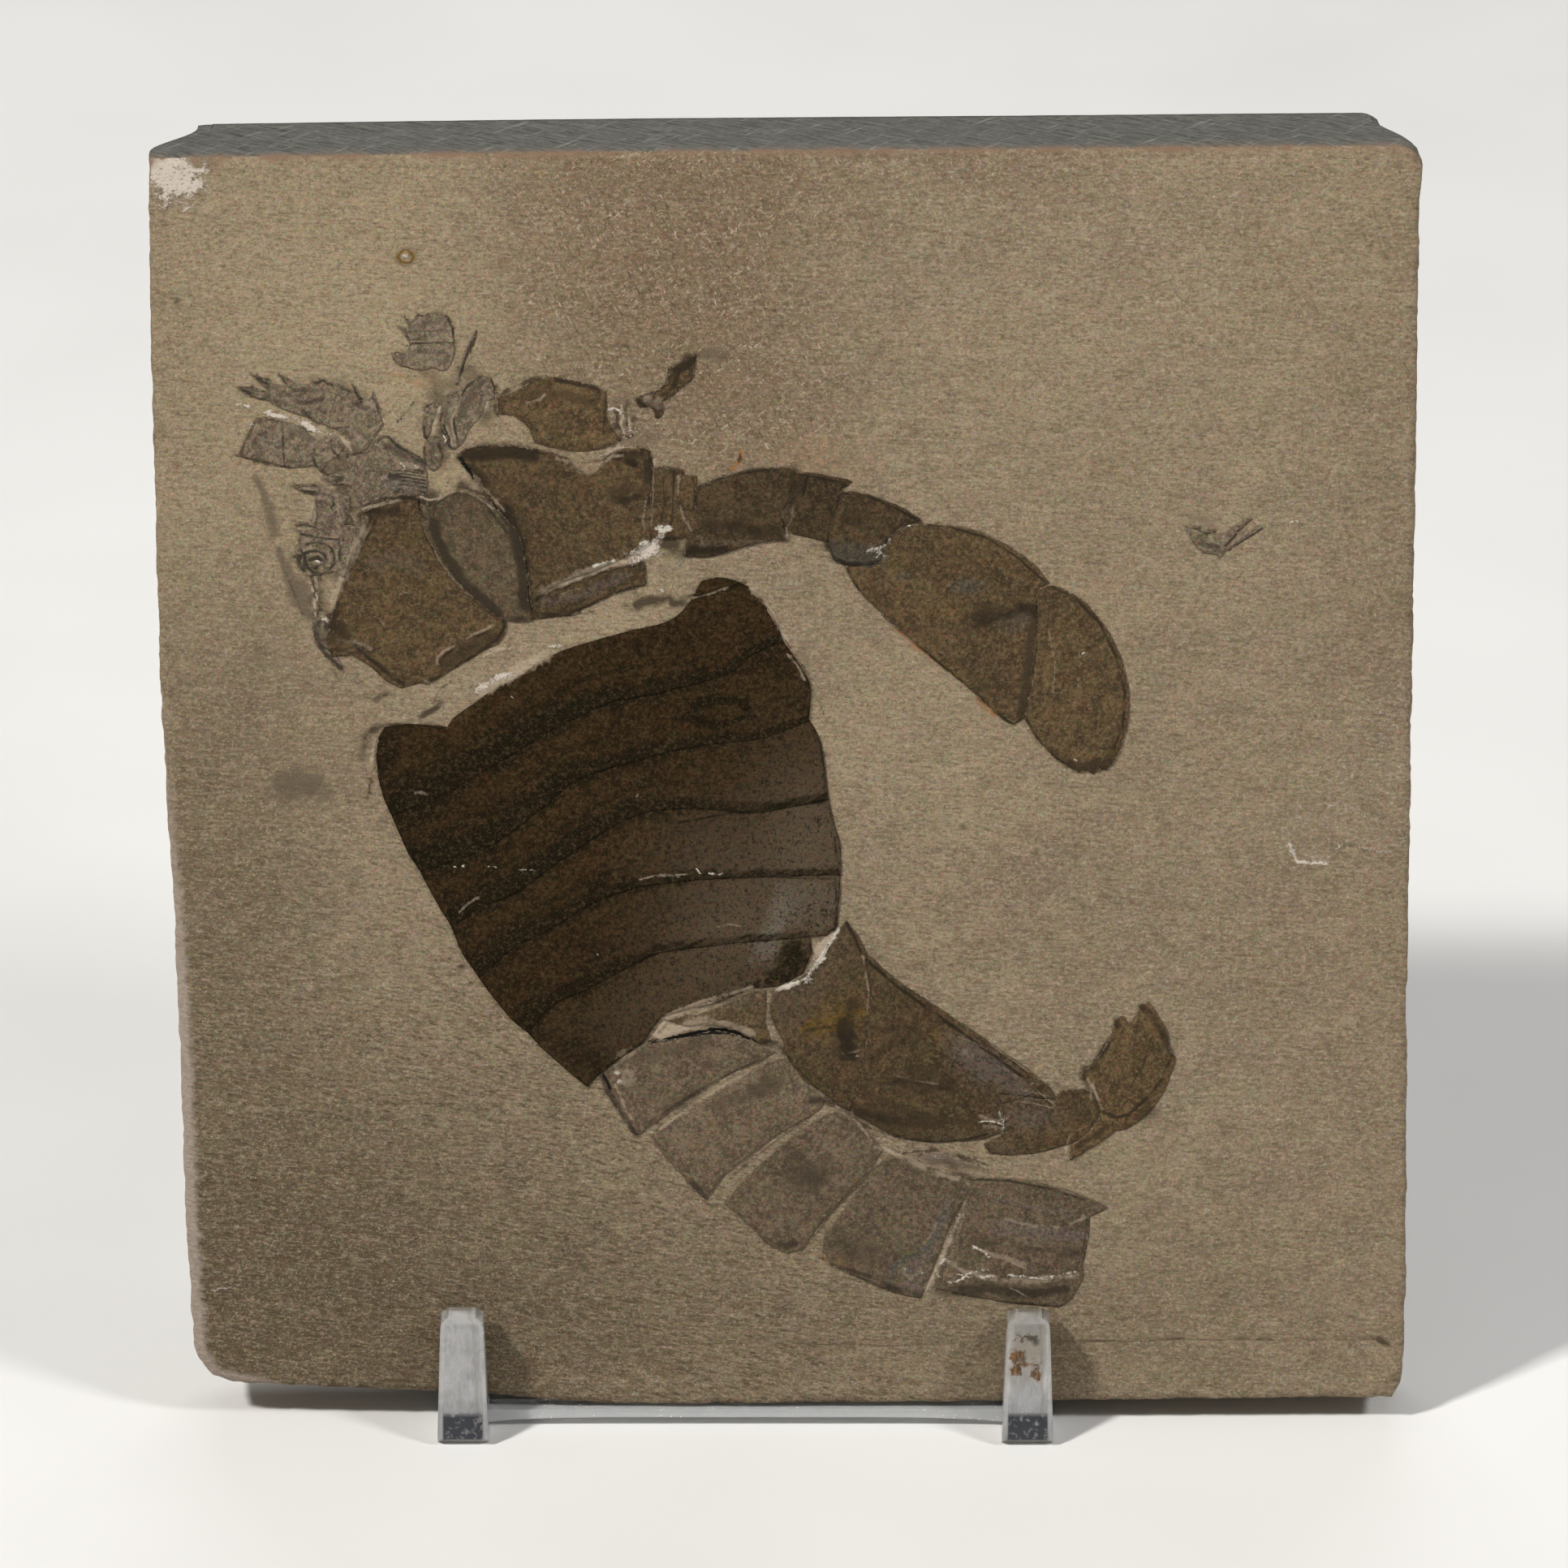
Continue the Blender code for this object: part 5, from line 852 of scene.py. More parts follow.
COXA_STROKES = [
    ("dark", 0.2, 0.7, 0, [(466, 126), (490, 160), (516, 190), (530, 220)]),
    ("pale", 0.14, 0.8, 0.02, [(478, 134), (500, 154), (522, 182), (540, 200)]),
    ("dark", 0.75, 0.85, 0.04, [(538, 200), (560, 244), (576, 294), (586, 344), (592, 400), (592, 456)]),
    ("dark", 0.45, 0.45, 0, [(560, 240), (580, 330), (580, 380)]),
    ("dark", 0.6, 0.8, 0.04, [(342, 226), (352, 270), (368, 310), (392, 346), (420, 386), (452, 420),
        (490, 452), (520, 476)]),
    ("dark", 0.4, 0.5, 0, [(380, 330), (420, 376), (460, 414)]),
    ("dark", 0.16, 0.6, 0, [(330, 180), (336, 230), (350, 270)]),
    ("pale", 0.18, 0.8, 0.03, [(680, 54), (708, 62), (724, 80), (740, 94), (770, 98), (796, 92), (810, 66),
        (830, 50), (860, 46)]),
    ("dark", 0.14, 0.7, 0, [(704, 58), (722, 78), (744, 96), (776, 100), (798, 92), (812, 70)]),
    ("dark", 0.2, 0.8, 0, [(932, 40), (936, 80), (938, 130), (930, 180)]),
    ("pale", 0.16, 0.6, 0.02, [(924, 170), (916, 220), (922, 260), (914, 284)]),
    ("white", 0.4, 0.9, 0.1, [(872, 320), (896, 308), (916, 292), (940, 290)]),
    ("white", 0.42, 0.9, 0.14, [(930, 306), (952, 298), (972, 258), (984, 248)]),
    ("pale", 0.45, 0.9, 0.07, [(640, 420), (670, 404), (716, 386), (762, 366), (806, 350), (850, 338),
        (884, 326)]),
    ("white", 0.2, 0.8, 0.05, [(780, 350), (806, 342), (840, 334)]),
    ("dark", 0.22, 0.9, 0, [(616, 452), (636, 432), (664, 416), (712, 400), (770, 378), (830, 356),
        (880, 350), (912, 342)]),
    ("dark", 0.3, 0.7, 0, [(608, 446), (612, 466), (626, 480), (680, 484), (740, 470), (800, 442),
        (860, 418), (914, 404)]),
    ("pale", 0.08, 0.7, 0, [(690, 430), (720, 414), (754, 412), (770, 392)]),
    ("mauve", 0.6, 0.6, 0, [(650, 450), (700, 440), (760, 424), (820, 396), (870, 376)]),
    ("dark", 0.3, 0.7, 0.02, [(530, 486), (560, 490), (600, 490), (612, 482)]),
    ("dark", 0.28, 0.8, 0.02, [(130, 566), (150, 590), (180, 612), (210, 636), (236, 658), (256, 668)]),
    ("mauve", 0.4, 0.6, 0, [(128, 560), (140, 580), (160, 596)]),
    ("dark", 0.3, 0.7, 0.02, [(60, 560), (50, 540), (70, 500), (88, 460)]),
    ("dark", 0.22, 0.7, 0, [(62, 576), (90, 580), (118, 572), (132, 562)]),
    ("dark", 0.24, 0.8, 0, [(536, 490), (536, 516), (520, 548), (480, 576), (440, 604), (400, 628),
        (360, 650), (330, 664)]),
    ("pale", 0.16, 0.8, 0.03, [(352, 616), (352, 600), (372, 582), (400, 568), (426, 552), (452, 536),
        (486, 522), (506, 510)]),
    ("dark", 0.95, 0.45, 0, [(372, 620), (410, 596), (450, 570), (500, 540)]),
    ("dark", 0.18, 0.8, 0, [(356, 612), (378, 590), (420, 562), (458, 542), (492, 530)]),
    ("pale", 0.2, 0.6, 0, [(320, 664), (336, 676), (350, 668)]),
    ("pale", 0.1, 0.5, 0, [(250, 426), (262, 420), (274, 424)]),
    ("pale", 0.08, 0.5, 0, [(180, 486), (194, 492), (206, 506)]),
    ("grey", 0.9, 0.6, 0, [(180, 340), (240, 330), (300, 350)]),
    ("white", 0.4, 0.9, 0.08, [(462, 690), (490, 672), (520, 656), (556, 640)]),
    ("pale", 0.6, 0.7, 0.04, [(480, 690), (540, 656), (600, 622), (660, 590)]),
    ("white", 0.18, 0.8, 0.05, [(634, 580), (652, 576), (668, 572), (684, 568)]),
    ("pale", 0.14, 0.7, 0.02, [(470, 600), (520, 580), (560, 574), (610, 568)]),
]
TAIL_STROKES = [
    # The black crack above the first tail segment is painted shadow under the stone's overhanging lip
    ("black", (0.12, 0.3), 1, -0.10, [(160, 210), (200, 202), (262, 190), (310, 182), (348, 181)]),
    ("black", (0.3, 0.1), 1, -0.10, [(348, 181), (380, 187), (404, 198), (426, 208)]),
    ("pale", 0.4, 0.9, 0.06, [(186, 196), (220, 182), (262, 168), (310, 158), (350, 162), (386, 174),
        (416, 188)]),
    ("pale", 0.5, 0.7, 0.04, [(196, 184), (230, 176), (262, 160), (300, 150)]),
    ("pale", 0.22, 0.8, 0.03, [(170, 196), (196, 160), (206, 140), (244, 124), (290, 106), (340, 92),
        (376, 82), (414, 72)]),
    ("pale", 0.22, 0.8, 0.03, [(206, 150), (236, 136), (270, 124), (316, 108), (350, 92)]),
    ("dark", 0.12, 0.6, 0, [(150, 206), (166, 190), (180, 170)]),
    ("dark", 0.26, 0.8, 0, [(98, 240), (118, 224), (142, 212)]),
    ("pale", 0.26, 0.7, 0.02, [(74, 262), (94, 254), (110, 240), (130, 228)]),
    ("white", 0.22, 0.8, 0.02, [(76, 282), (90, 286), (96, 298), (86, 304)]),
    ("pale", 0.26, 0.7, 0, [(78, 268), (98, 274), (100, 296), (90, 308)]),
    ("dark", 0.34, 0.9, 0, [(44, 290), (56, 320), (72, 352), (92, 386), (114, 418), (130, 436)]),
    # Painted shadow: black along the first tail segment's left tip
    ("black", 0.2, 0.7, 0, [(46, 288), (56, 304), (64, 322)]),
    ("pale", 0.14, 0.8, 0.02, [(76, 312), (90, 344), (104, 378), (118, 398)]),
    ("dark", 0.8, 0.3, 0, [(110, 250), (170, 236), (240, 222), (300, 206)]),
    ("dark", 0.16, 0.6, 0, [(160, 404), (210, 372), (260, 340), (320, 308), (380, 274), (430, 250)]),
    ("pale", 0.16, 0.6, 0, [(190, 420), (240, 382), (300, 342), (360, 306), (404, 288)]),
    ("dark", 0.18, 0.5, 0, [(164, 438), (200, 478), (240, 530), (262, 556)]),
    ("dark", 0.4, 0.8, 0, [(262, 548), (276, 566), (296, 588)]),
    ("dark", 0.9, 0.3, 0, [(330, 360), (400, 340), (460, 320)]),
    ("dark", 0.14, 0.6, 0, [(320, 576), (370, 536), (430, 486), (480, 446), (530, 410), (570, 386)]),
    ("dark", 0.5, 0.7, 0, [(560, 352), (590, 350), (606, 358)]),
    ("dark", 0.12, 0.4, 0, [(350, 606), (400, 646), (450, 690), (480, 712)]),
    ("dark", 0.5, 0.7, 0, [(482, 704), (504, 712), (520, 704)]),
    ("dark", 1.6, 0.3, 0, [(520, 540), (560, 530), (590, 520)]),
    ("dark", 0.14, 0.5, 0, [(546, 712), (590, 660), (630, 600), (670, 556), (706, 520)]),
    ("pale", 0.16, 0.6, 0, [(700, 526), (710, 514), (720, 500)]),
    ("dark", 0.14, 0.7, 0, [(596, 676), (590, 710), (588, 744), (620, 764), (670, 786), (724, 804)]),
    ("dark", 0.34, 0.9, 0, [(730, 808), (760, 814), (800, 826), (824, 830)]),
    ("pale", 0.26, 0.9, 0.04, [(712, 464), (740, 470), (770, 488), (806, 500), (846, 520), (886, 536),
        (920, 546)]),
    ("pale", 0.4, 0.6, 0, [(790, 500), (830, 514), (870, 530)]),
    ("dark", 0.12, 0.9, 0, [(784, 484), (830, 476), (870, 474), (904, 482), (940, 500), (980, 514)]),
    ("mauve", 0.5, 0.6, 0, [(820, 492), (860, 486), (900, 492), (930, 508)]),
    ("dark", 0.4, 0.6, 0, [(920, 540), (940, 536), (950, 546)]),
    ("pale", 0.16, 0.7, 0.02, [(620, 364), (650, 392), (676, 410), (700, 440), (716, 462)]),
    ("dark", 0.14, 0.7, 0, [(604, 354), (640, 380), (664, 400), (690, 420)]),
    ("pale", 0.1, 0.6, 0, [(640, 386), (664, 396), (676, 414)]),
    ("mauve", 0.6, 0.6, 0, [(900, 590), (880, 640), (862, 690), (850, 730)]),
    ("white", 0.2, 0.5, 0, [(760, 742), (776, 760), (800, 770), (830, 780), (846, 766)]),
    ("pale", 0.3, 0.5, 0, [(770, 770), (800, 784), (824, 780), (836, 750)]),
    ("mauve", 0.9, 0.5, 0, [(790, 760), (820, 750), (850, 720)]),
    ("white", 0.16, 0.8, 0.03, [(866, 780), (880, 790), (900, 800), (920, 796), (946, 778), (980, 770),
        (1000, 768)]),
    ("pale", (0.14, 0.28), 0.7, 0, [(940, 600), (920, 650), (896, 710), (870, 760), (850, 800),
        (834, 822)]),
    ("white", 0.12, 0.7, 0.02, [(932, 620), (912, 660), (900, 690)]),
    ("white", 0.2, 0.9, 0.03, [(872, 758), (888, 744), (904, 738)]),
    ("white", 0.18, 0.8, 0.03, [(960, 712), (980, 720), (996, 736)]),
    ("dark", 0.2, 0.7, 0, [(880, 818), (910, 812), (950, 810), (990, 808)]),
    ("dark", 0.5, 0.6, 0, [(884, 828), (930, 826), (980, 830)]),
    ("white", 0.34, 1, 0.1, [(480, 76), (504, 68), (530, 60), (552, 50), (566, 32), (576, 14), (590, 0)]),
    ("dark", 0.12, 0.6, 0, [(452, 96), (470, 100), (474, 110)]),
    ("dark", 0.4, 0.7, 0, [(440, 204), (456, 214), (470, 210), (486, 220)]),
    ("dark", 0.1, 0.6, 0, [(456, 146), (458, 170), (468, 190)]),
]
# Six pairs of a dark and a pale stroke, one below the other
FEATHERS = [
    stroke
    for drop, slip in ((0, 0), (10, 4), (22, 6), (34, 8), (48, 8), (62, 2))
    for stroke in (
        ("dark", 0.08, 0.8, 0, shifted([(590, 566), (616, 568), (668, 576)], slip, drop)),
        ("pale", 0.06, 0.8, 0, shifted([(600, 572), (630, 574), (684, 584)], slip, drop)),
    )
]
for view, strokes in (
    (LEGS_VIEW, LEG_STROKES + FEATHERS), (COXAE_VIEW, COXA_STROKES), (TAIL_VIEW, TAIL_STROKES),
    (CLAW_VIEW, CLAW_STROKES), (HOOK_VIEW, HOOK_STROKES), (COIL_VIEW, COIL_STROKES),
    (SPINES_VIEW, SPINE_STROKES), (PADDLE_VIEW, PADDLE_STROKES), (SWIM_VIEW, SWIM_STROKES),
):
    STROKES += seen_in(view, strokes)
OVERLAPS = [picture(points) for points in (OVERLAP_1, OVERLAP_2, OVERLAP_3, OVERLAP_4, OVERLAP_5)]
BAND_WIDTHS_MM = (1.5, 1.6, 1.3, 1.1, 1.0)
BAND_STRENGTHS = (0.95, 0.95, 0.9, 0.85, 0.85)
for overlap, width, fade in zip(OVERLAPS, BAND_WIDTHS_MM, BAND_STRENGTHS):
    STROKES += overlap_bands(overlap, width, fade)
# Stains of the stone that join neighbouring plates: (half width, strength, points)
FILM = [
    (0.7, 1.0, [(-39.6, 34), (-39.6, 32), (-38.4, 29), (-37, 26.4), (-35, 23.8), (-32.6, 21.6)]),
    (0.6, 1.0, [(-36, 35), (-33.4, 33.4), (-31.4, 31), (-30, 27.6), (-29.2, 24), (-28.8, 20.8)]),
    (0.6, 0.9, [(-15.2, 37.6), (-15.2, 34), (-15.2, 30)]),
    (0.5, 0.9, [(-10.2, 36), (-9.8, 33), (-10.4, 29.6)]),
    (0.5, 0.9, [(1, 37), (0.6, 34), (0, 31.6), (0.2, 29.4)]), (0.5, 0.9, [(6, 34.4), (5.2, 31), (5, 28.4)]),
    (0.6, 0.9, [(28.8, 22.6), (28.4, 18), (28, 13), (27.2, 8.6)]),
    (0.5, 0.8, [(7, 26.4), (10.6, 27.2), (12.6, 30.6)]),
    (0.6, 0.9, [(9, -20.6), (9.6, -24), (9.4, -28), (8.6, -33), (7.8, -38)]),
    (0.5, 0.9, [(24.6, -36.6), (24.8, -38.6), (24.2, -41)]),
    (0.5, 0.8, [(34.4, -35), (35.8, -37), (35.4, -39.6), (32.4, -42)]),
    (0.5, 0.6, [(-0.6, -22), (-1.4, -25), (-0.4, -28), (1, -31)]),
    (0.9, 0.6, [(-50, 44), (-48.6, 42), (-47.6, 40), (-49.8, 38)]),
    (0.8, 0.6, [(-50.4, 41), (-52, 38.6), (-51, 36.6)]),
    (1.2, 0.7, [(-49.6, 36.4), (-49.6, 33.6), (-50, 30.4), (-49.6, 27)]),
    (0.8, 0.6, [(-38.6, 46), (-37.8, 43.2), (-38.2, 40.4), (-38.8, 38.4)]),
    (1.4, 0.5, [(-47, 32), (-48.4, 28.6), (-50.2, 25)]),
    (0.9, 0.5, [(-35.2, 48.6), (-33.2, 46.6), (-33.4, 43.6)]),
    (0.8, 0.5, [(-52.6, 24.6), (-52.6, 22), (-52, 20)]),
    (0.7, 0.45, [(-39.8, 48.6), (-38.4, 47), (-36.8, 47.6)]),
    (0.6, 0.4, [(-47, 45.8), (-49.4, 47), (-52.6, 47.6)]),
    (0.5, 0.5, [(-3, -31.6), (0.4, -32.4), (3, -35.6), (6.6, -39.6), (9.4, -42)]),
    (0.5, 0.5, [(18.6, -45.6), (20.4, -48), (19.6, -52)]),
    (0.9, 0.4, [(-18.2, 45), (-18, 42.6), (-19.2, 40.6)]),
    (0.40, 0.7, from_view(PADDLE_VIEW, [(452, 650), (441, 700), (428, 756), (412, 810), (398, 850)])),
]
SPOTS = [
    # the stone
    ("white", 0.95, (-67.6, 71.4), (3.4, 2.9), -25), ("white", 0.8, (-69.4, 73.4), (2.2, 1.6), 0),
    ("white", 0.6, (-70.8, 70.4), (0.7, 2.4), 0), ("smudge", 0.5, (-64.4, 73.2), (1.4, 1.0), 0),
    ("white", 0.5, (-71.6, 34.0), (0.7, 2.2), 0),
    ("white", 0.3, (-71, 22), (0.5, 1.2), 0), ("white", 0.25, (-70.6, 0), (0.4, 1.4), 0),
    ("chalk", 0.8, (68.6, 8.6), (2.4, 3.0), 0), ("chalk", 0.75, (63.8, -0.4), (3.4, 3.0), 20),
    ("chalk", 0.7, (60.0, -5.4), (3.4, 2.4), 0), ("chalk", 0.65, (67.6, -5.6), (2.6, 2.0), 0),
    ("chalk", 0.6, (58.8, -8.6), (1.6, 1.4), 0), ("chalk", 0.7, (68.6, 3.4), (2.2, 2.6), 0),
    ("chalk", 0.35, (15, 70), (7, 8), 20), ("chalk", 0.3, (46, 60), (12, 14), 0),
    ("chalk", 0.25, (42, -16), (12, 6), 0),
    ("chalk", 0.3, (36, -32), (10, 7), 0), ("chalk", 0.25, (60, -40), (9, 12), 0),
    ("white", 0.9, (59.2, 34.2), (0.34, 0.34), 0), ("white", 0.7, (57.6, 31.2), (0.3, 0.2), 0),
    ("white", 0.9, (-3.0, 48.4), (0.30, 0.30), 0), ("white", 0.6, (61.6, 27.0), (0.3, 0.3), 0),
    ("dark", 0.9, (45.6, 61.4), (0.34, 0.28), 0), ("dark", 0.8, (-36.9, -22.1), (0.34, 0.3), 0),
    ("dark", 0.8, (20.2, -5.0), (0.34, 0.3), 0), ("dark", 0.7, (-67.6, 57.0), (0.2, 0.5), 20),
    ("rust", 0.22, (4.0, 38.4), (8.0, 4.6), 0),
    ("rust", 0.30, (-40.6, 47.6), (1.4, 0.8), 0), ("rust", 0.35, (-43.2, 48.2), (0.8, 0.4), 0),
    ("warm", 0.80, (-12.0, 60.0), (16.0, 22.0), 0), ("warm", 0.55, (-4.0, 44.0), (12.0, 8.0), 0),
    ("warm", 0.35, (-24.0, 66.0), (9.0, 16.0), 0), ("warm", 0.3, (24, 74), (14, 6), 0),
    ("warm", 0.25, (0, 70), (10, 10), 0),
    ("light", 0.9, (-50.0, 58.0), (22.0, 22.0), 0), ("light", 0.5, (-60.0, 36.0), (14.0, 16.0), 0),
    ("light", 0.4, (22.0, 10.0), (22.0, 14.0), 20), ("light", 0.5, (-36.0, 54.0), (9.0, 9.0), 0),
    ("light", 0.45, (60.0, 62.0), (20.0, 20.0), 0), ("light", 0.3, (34.0, 44.0), (24.0, 16.0), 0),
    ("light", 0.9, (-37.4, 36.8), (2.2, 1.6), 0), ("light", 0.8, (-31.0, 41.8), (3.0, 1.4), -20),
    ("light", 0.6, (-43.0, 44.0), (2.0, 3.0), 0), ("light", 0.6, (-20.0, 18.6), (12.0, 2.4), 22),
    ("light", 0.5, (-52.4, 46), (5, 1.4), -10), ("light", 0.6, (-43.6, 46), (1.6, 2.2), 0),
    ("dim", 1.0, (-58.0, -62.0), (30.0, 24.0), 10), ("dim", 0.8, (-64.0, -64.0), (13.0, 17.0), 0),
    ("dim", 0.3, (-52.0, -58.0), (22.0, 22.0), 0), ("dim", 0.6, (-30.0, -66.0), (28.0, 14.0), 0),
    ("dim", 0.55, (-66.0, -24.0), (12.0, 34.0), 0), ("dim", 0.35, (-62.0, 0.0), (10.0, 16.0), 0),
    ("dim", 0.35, (30.0, -66.0), (44.0, 12.0), 0), ("dim", 0.20, (68.0, 40.0), (8.0, 40.0), 0),
    ("dim", 0.35, (0.0, 79.0), (80.0, 3.0), 0),
    ("smudge", 0.75, (-55.2, 0), (2.6, 1.8), 10), ("smudge", 0.5, (-52.2, -1.2), (1.4, 1.0), 0),
    ("smudge", 0.4, (2.0, 15.6), (1.2, 2.2), -30),
    ("smudge", 0.35, (46.6, 31.4), (1.6, 0.8), -20), ("smudge", 0.3, (-36, 49.8), (2.6, 1.2), 0),
    # painted shade in the hollows of the fossil's surroundings
    ("smudge", 0.4, (-16, 41), (2.2, 1.6), 0), ("smudge", 0.4, (-44.4, 37), (3, 1.4), -10),
    # the trunk: haze and greyer lower right
    ("band", 0.55, (-2.2, 16.0), (1.8, 1.3), 0), ("band", 0.5, (1.2, 9.6), (1.6, 0.7), -20),
    ("band", 0.6, (-45.2, 4.6), (1.2, 2.4), 10), ("band", 0.5, (-40.6, -3.6), (3.4, 1.4), 24),
    ("grey", 1.0, (3.0, -8.0), (6.8, 11.6), 0), ("grey", 0.85, (-5.0, -17.0), (9.0, 6.4), 20),
    ("grey", 0.45, (-12.0, -26.0), (12.0, 5.0), 25), ("grey", 0.4, (-8.0, -8.0), (8.0, 6.0), 0),
    ("haze", 0.75, (-0.8, -16.4), (1.3, 4.2), -14), ("haze", 0.5, (-2.2, -19.6), (1.4, 2.4), -30),
    ("haze", 0.35, (3.0, -14.6), (3.4, 3.0), 0), ("haze", 0.3, (-6, -26), (6, 1.6), 22),
    ("band", 0.85, (1.2, -20.8), (1.6, 1.6), 20), ("band", 0.8, (-0.6, -23.2), (2.2, 0.8), 20),
    ("band", 0.5, (-24.0, -32.4), (5.0, 1.8), -40), ("band", 0.4, (-22.0, -33.6), (2.6, 1.4), -40),
    ("rust", 0.12, (-27, -1), (12, 3), 25), ("rust", 0.14, (-18, -7), (8, 2.4), 20),
    ("rust", 0.10, (-40, 2), (5, 4), 0),
    ("white", 0.6, (-30.6, 10.4), (0.3, 0.16), 0), ("white", 0.5, (-21.2, -20.6), (0.3, 0.14), 0),
    ("white", 0.5, (-16.6, -1.4), (0.24, 0.18), 0), ("pale", 0.5, (-17.9, -35.6), (0.8, 1.2), 20),
    ("pale", 0.4, (-18.6, -32.6), (1.2, 0.5), 30),
    # the second paddle: amber and dark patches, purple-grey bloom
    ("rust", 0.8, (6.8, -28.4), (1.6, 0.7), 15), ("rust", 0.4, (5.6, -27.2), (3.4, 1.6), 20),
    ("rust", 0.4, (18, -30.8), (2.2, 0.8), -35),
    ("dark", 0.5, (7.6, -31.6), (1.0, 1.6), 0), ("dark", 0.2, (13.6, -30.4), (1.8, 2.0), 0),
    ("mauve", 0.75, (22.6, -34.2), (4.2, 2.4), -35), ("mauve", 0.60, (28.0, -40.6), (4.0, 2.0), 0),
    ("dark", 0.35, (6.8, -30.6), (1.5, 2.6), 8), ("dark", 0.3, (11.6, -41.2), (5.6, 1.6), -20),
    ("rust", 0.6, (4.2, -29.6), (2.2, 1.2), 20), ("grey", 0.6, (24.0, -44.6), (4.4, 1.5), -16),
    ("pale", 0.35, (20.6, -32.6), (1.6, 0.5), -30), ("dark", 0.25, (14.0, -40.4), (5.0, 1.2), -4),
    ("dark", 0.50, (42.0, -40.0), (1.6, 1.0), 40), ("dark", 0.35, (16, -36), (3.4, 1.6), 0),
    ("grey", 0.5, (1.6, -27), (2.6, 3.4), 0),
    # tail segments: darker patches
    ("dark", 0.35, (-2.4, -36.6), (2.6, 0.9), 25), ("dark", 0.30, (-11.8, -38.8), (3.0, 0.9), 30),
    ("dark", 0.25, (3.0, -47.4), (1.6, 2.6), 40), ("dark", 0.35, (8.4, -57), (3.4, 1.4), -20),
    ("dark", 0.35, (33.2, -57.4), (1.2, 0.8), 0), ("mauve", 0.6, (15.0, -60.4), (1.6, 1.6), 0),
    ("rust", 0.3, (6, -58.4), (3, 0.7), -14),
    # coxae, paddle and legs
    ("dark", 0.45, (-18.4, 34.6), (1.8, 1.0), 0), ("rust", 0.12, (-24, 34), (5, 2.4), 0),
    ("dark", 0.3, (-39.4, 32.6), (0.8, 0.8), 0), ("rust", 0.12, (-43, 24), (5, 4), 0),
    ("dark", 0.35, (-50.4, 18.0), (1.2, 1.6), 20), ("mauve", 0.45, (-42.4, 35.8), (1.8, 0.8), -15),
    ("blue", 0.50, (20.8, 23.6), (1.8, 1.0), 0), ("blue", 0.55, (13.4, 24.8), (0.8, 0.5), 0),
    ("rust", 0.30, (17.4, 20.8), (2.4, 0.8), 10), ("dark", 0.30, (22.6, 20.0), (3.0, 1.2), 20),
    ("dark", 0.35, (8.0, 31.8), (1.0, 1.0), 0), ("blue", 0.45, (25.6, 19.4), (1.8, 1.4), 0),
    ("white", 0.9, (-13.6, 30.5), (0.7, 0.4), 0),
    ("white", 1.0, (-15.4, 27.8), (1.0, 0.8), 20), ("white", 0.8, (-16.8, 26.6), (0.8, 0.4), 20),
    ("dark", 0.9, (-12.8, 28.6), (0.9, 0.8), 0),
    ("dark", 0.6, (-11.6, 27.4), (1.2, 0.7), 0),
]
STONE_KINDS = (
    "dark", "black", "white", "rust", "warm", "light", "dim", "smudge", "chalk", "gold", "pale", "film",
    "mauve",
)
CUTICLE_KINDS = ("band", "dark", "black", "white", "pale", "rust", "grey", "haze", "mauve", "blue")


# Geometry helpers
def noise_2d(points, size, seed):
    """Smooth random heights from -1 to 1 on a grid of that size in millimetres."""
    grid = np.random.default_rng(seed).uniform(-1, 1, (256, 256))
    spot = points / size + 100.0
    low = np.floor(spot).astype(int)
    part = spot - low
    part = part * part * (3 - 2 * part)
    x0, y0 = low[:, 0] % 256, low[:, 1] % 256
    x1, y1 = (x0 + 1) % 256, (y0 + 1) % 256
    top = grid[x0, y0] * (1 - part[:, 0]) + grid[x1, y0] * part[:, 0]
    bottom = grid[x0, y1] * (1 - part[:, 0]) + grid[x1, y1] * part[:, 0]
    return top * (1 - part[:, 1]) + bottom * part[:, 1]


def nearest_on_path(points, path, closed=False):
    """The shortest distance of every point to a line of points, and how far along the line that is."""
    path = np.asarray(path, float)
    ends = np.roll(path, -1, axis=0) if closed else path[1:]
    starts = path if closed else path[:-1]
    best = np.full(len(points), 1e9)
    place = np.zeros(len(points))
    for number, (start, end) in enumerate(zip(starts, ends)):
        along = end - start
        share = np.clip(((points - start) @ along) / max(1e-12, along @ along), 0, 1)
        away = points - (start + share[:, None] * along)
        away = np.einsum("ij,ij->i", away, away)
        closer = away < best
        best = np.where(closer, away, best)
        place = np.where(closer, (number + share) / len(starts), place)
    return np.sqrt(best), place


def distance_to_path(points, path, closed=False):
    """The shortest distance of every point to a line of points."""
    return nearest_on_path(points, path, closed)[0]


def inside(points, path):
    """Which points lie inside a closed outline."""
    path = np.asarray(path, float)
    result = np.zeros(len(points), bool)
    x, y = points[:, 0], points[:, 1]
    for (x0, y0), (x1, y1) in zip(path, np.roll(path, -1, axis=0)):
        if y0 == y1:
            continue
        crosses = (y0 > y) != (y1 > y)
        result ^= crosses & (x < (x1 - x0) * (y - y0) / (y1 - y0) + x0)
    return result


def counterclockwise(path):
    x, y = path[:, 0], path[:, 1]
    area = np.sum(x * np.roll(y, -1) - np.roll(x, -1) * y)
    return path if area > 0 else path[::-1]


def turns(path):
    """How sharply a closed outline turns at each of its points, in radians."""
    before = path - np.roll(path, 1, axis=0)
    after = np.roll(path, -1, axis=0) - path
    angle = np.arctan2(after[:, 1], after[:, 0]) - np.arctan2(before[:, 1], before[:, 0])
    return np.abs((angle + math.pi) % (2 * math.pi) - math.pi)


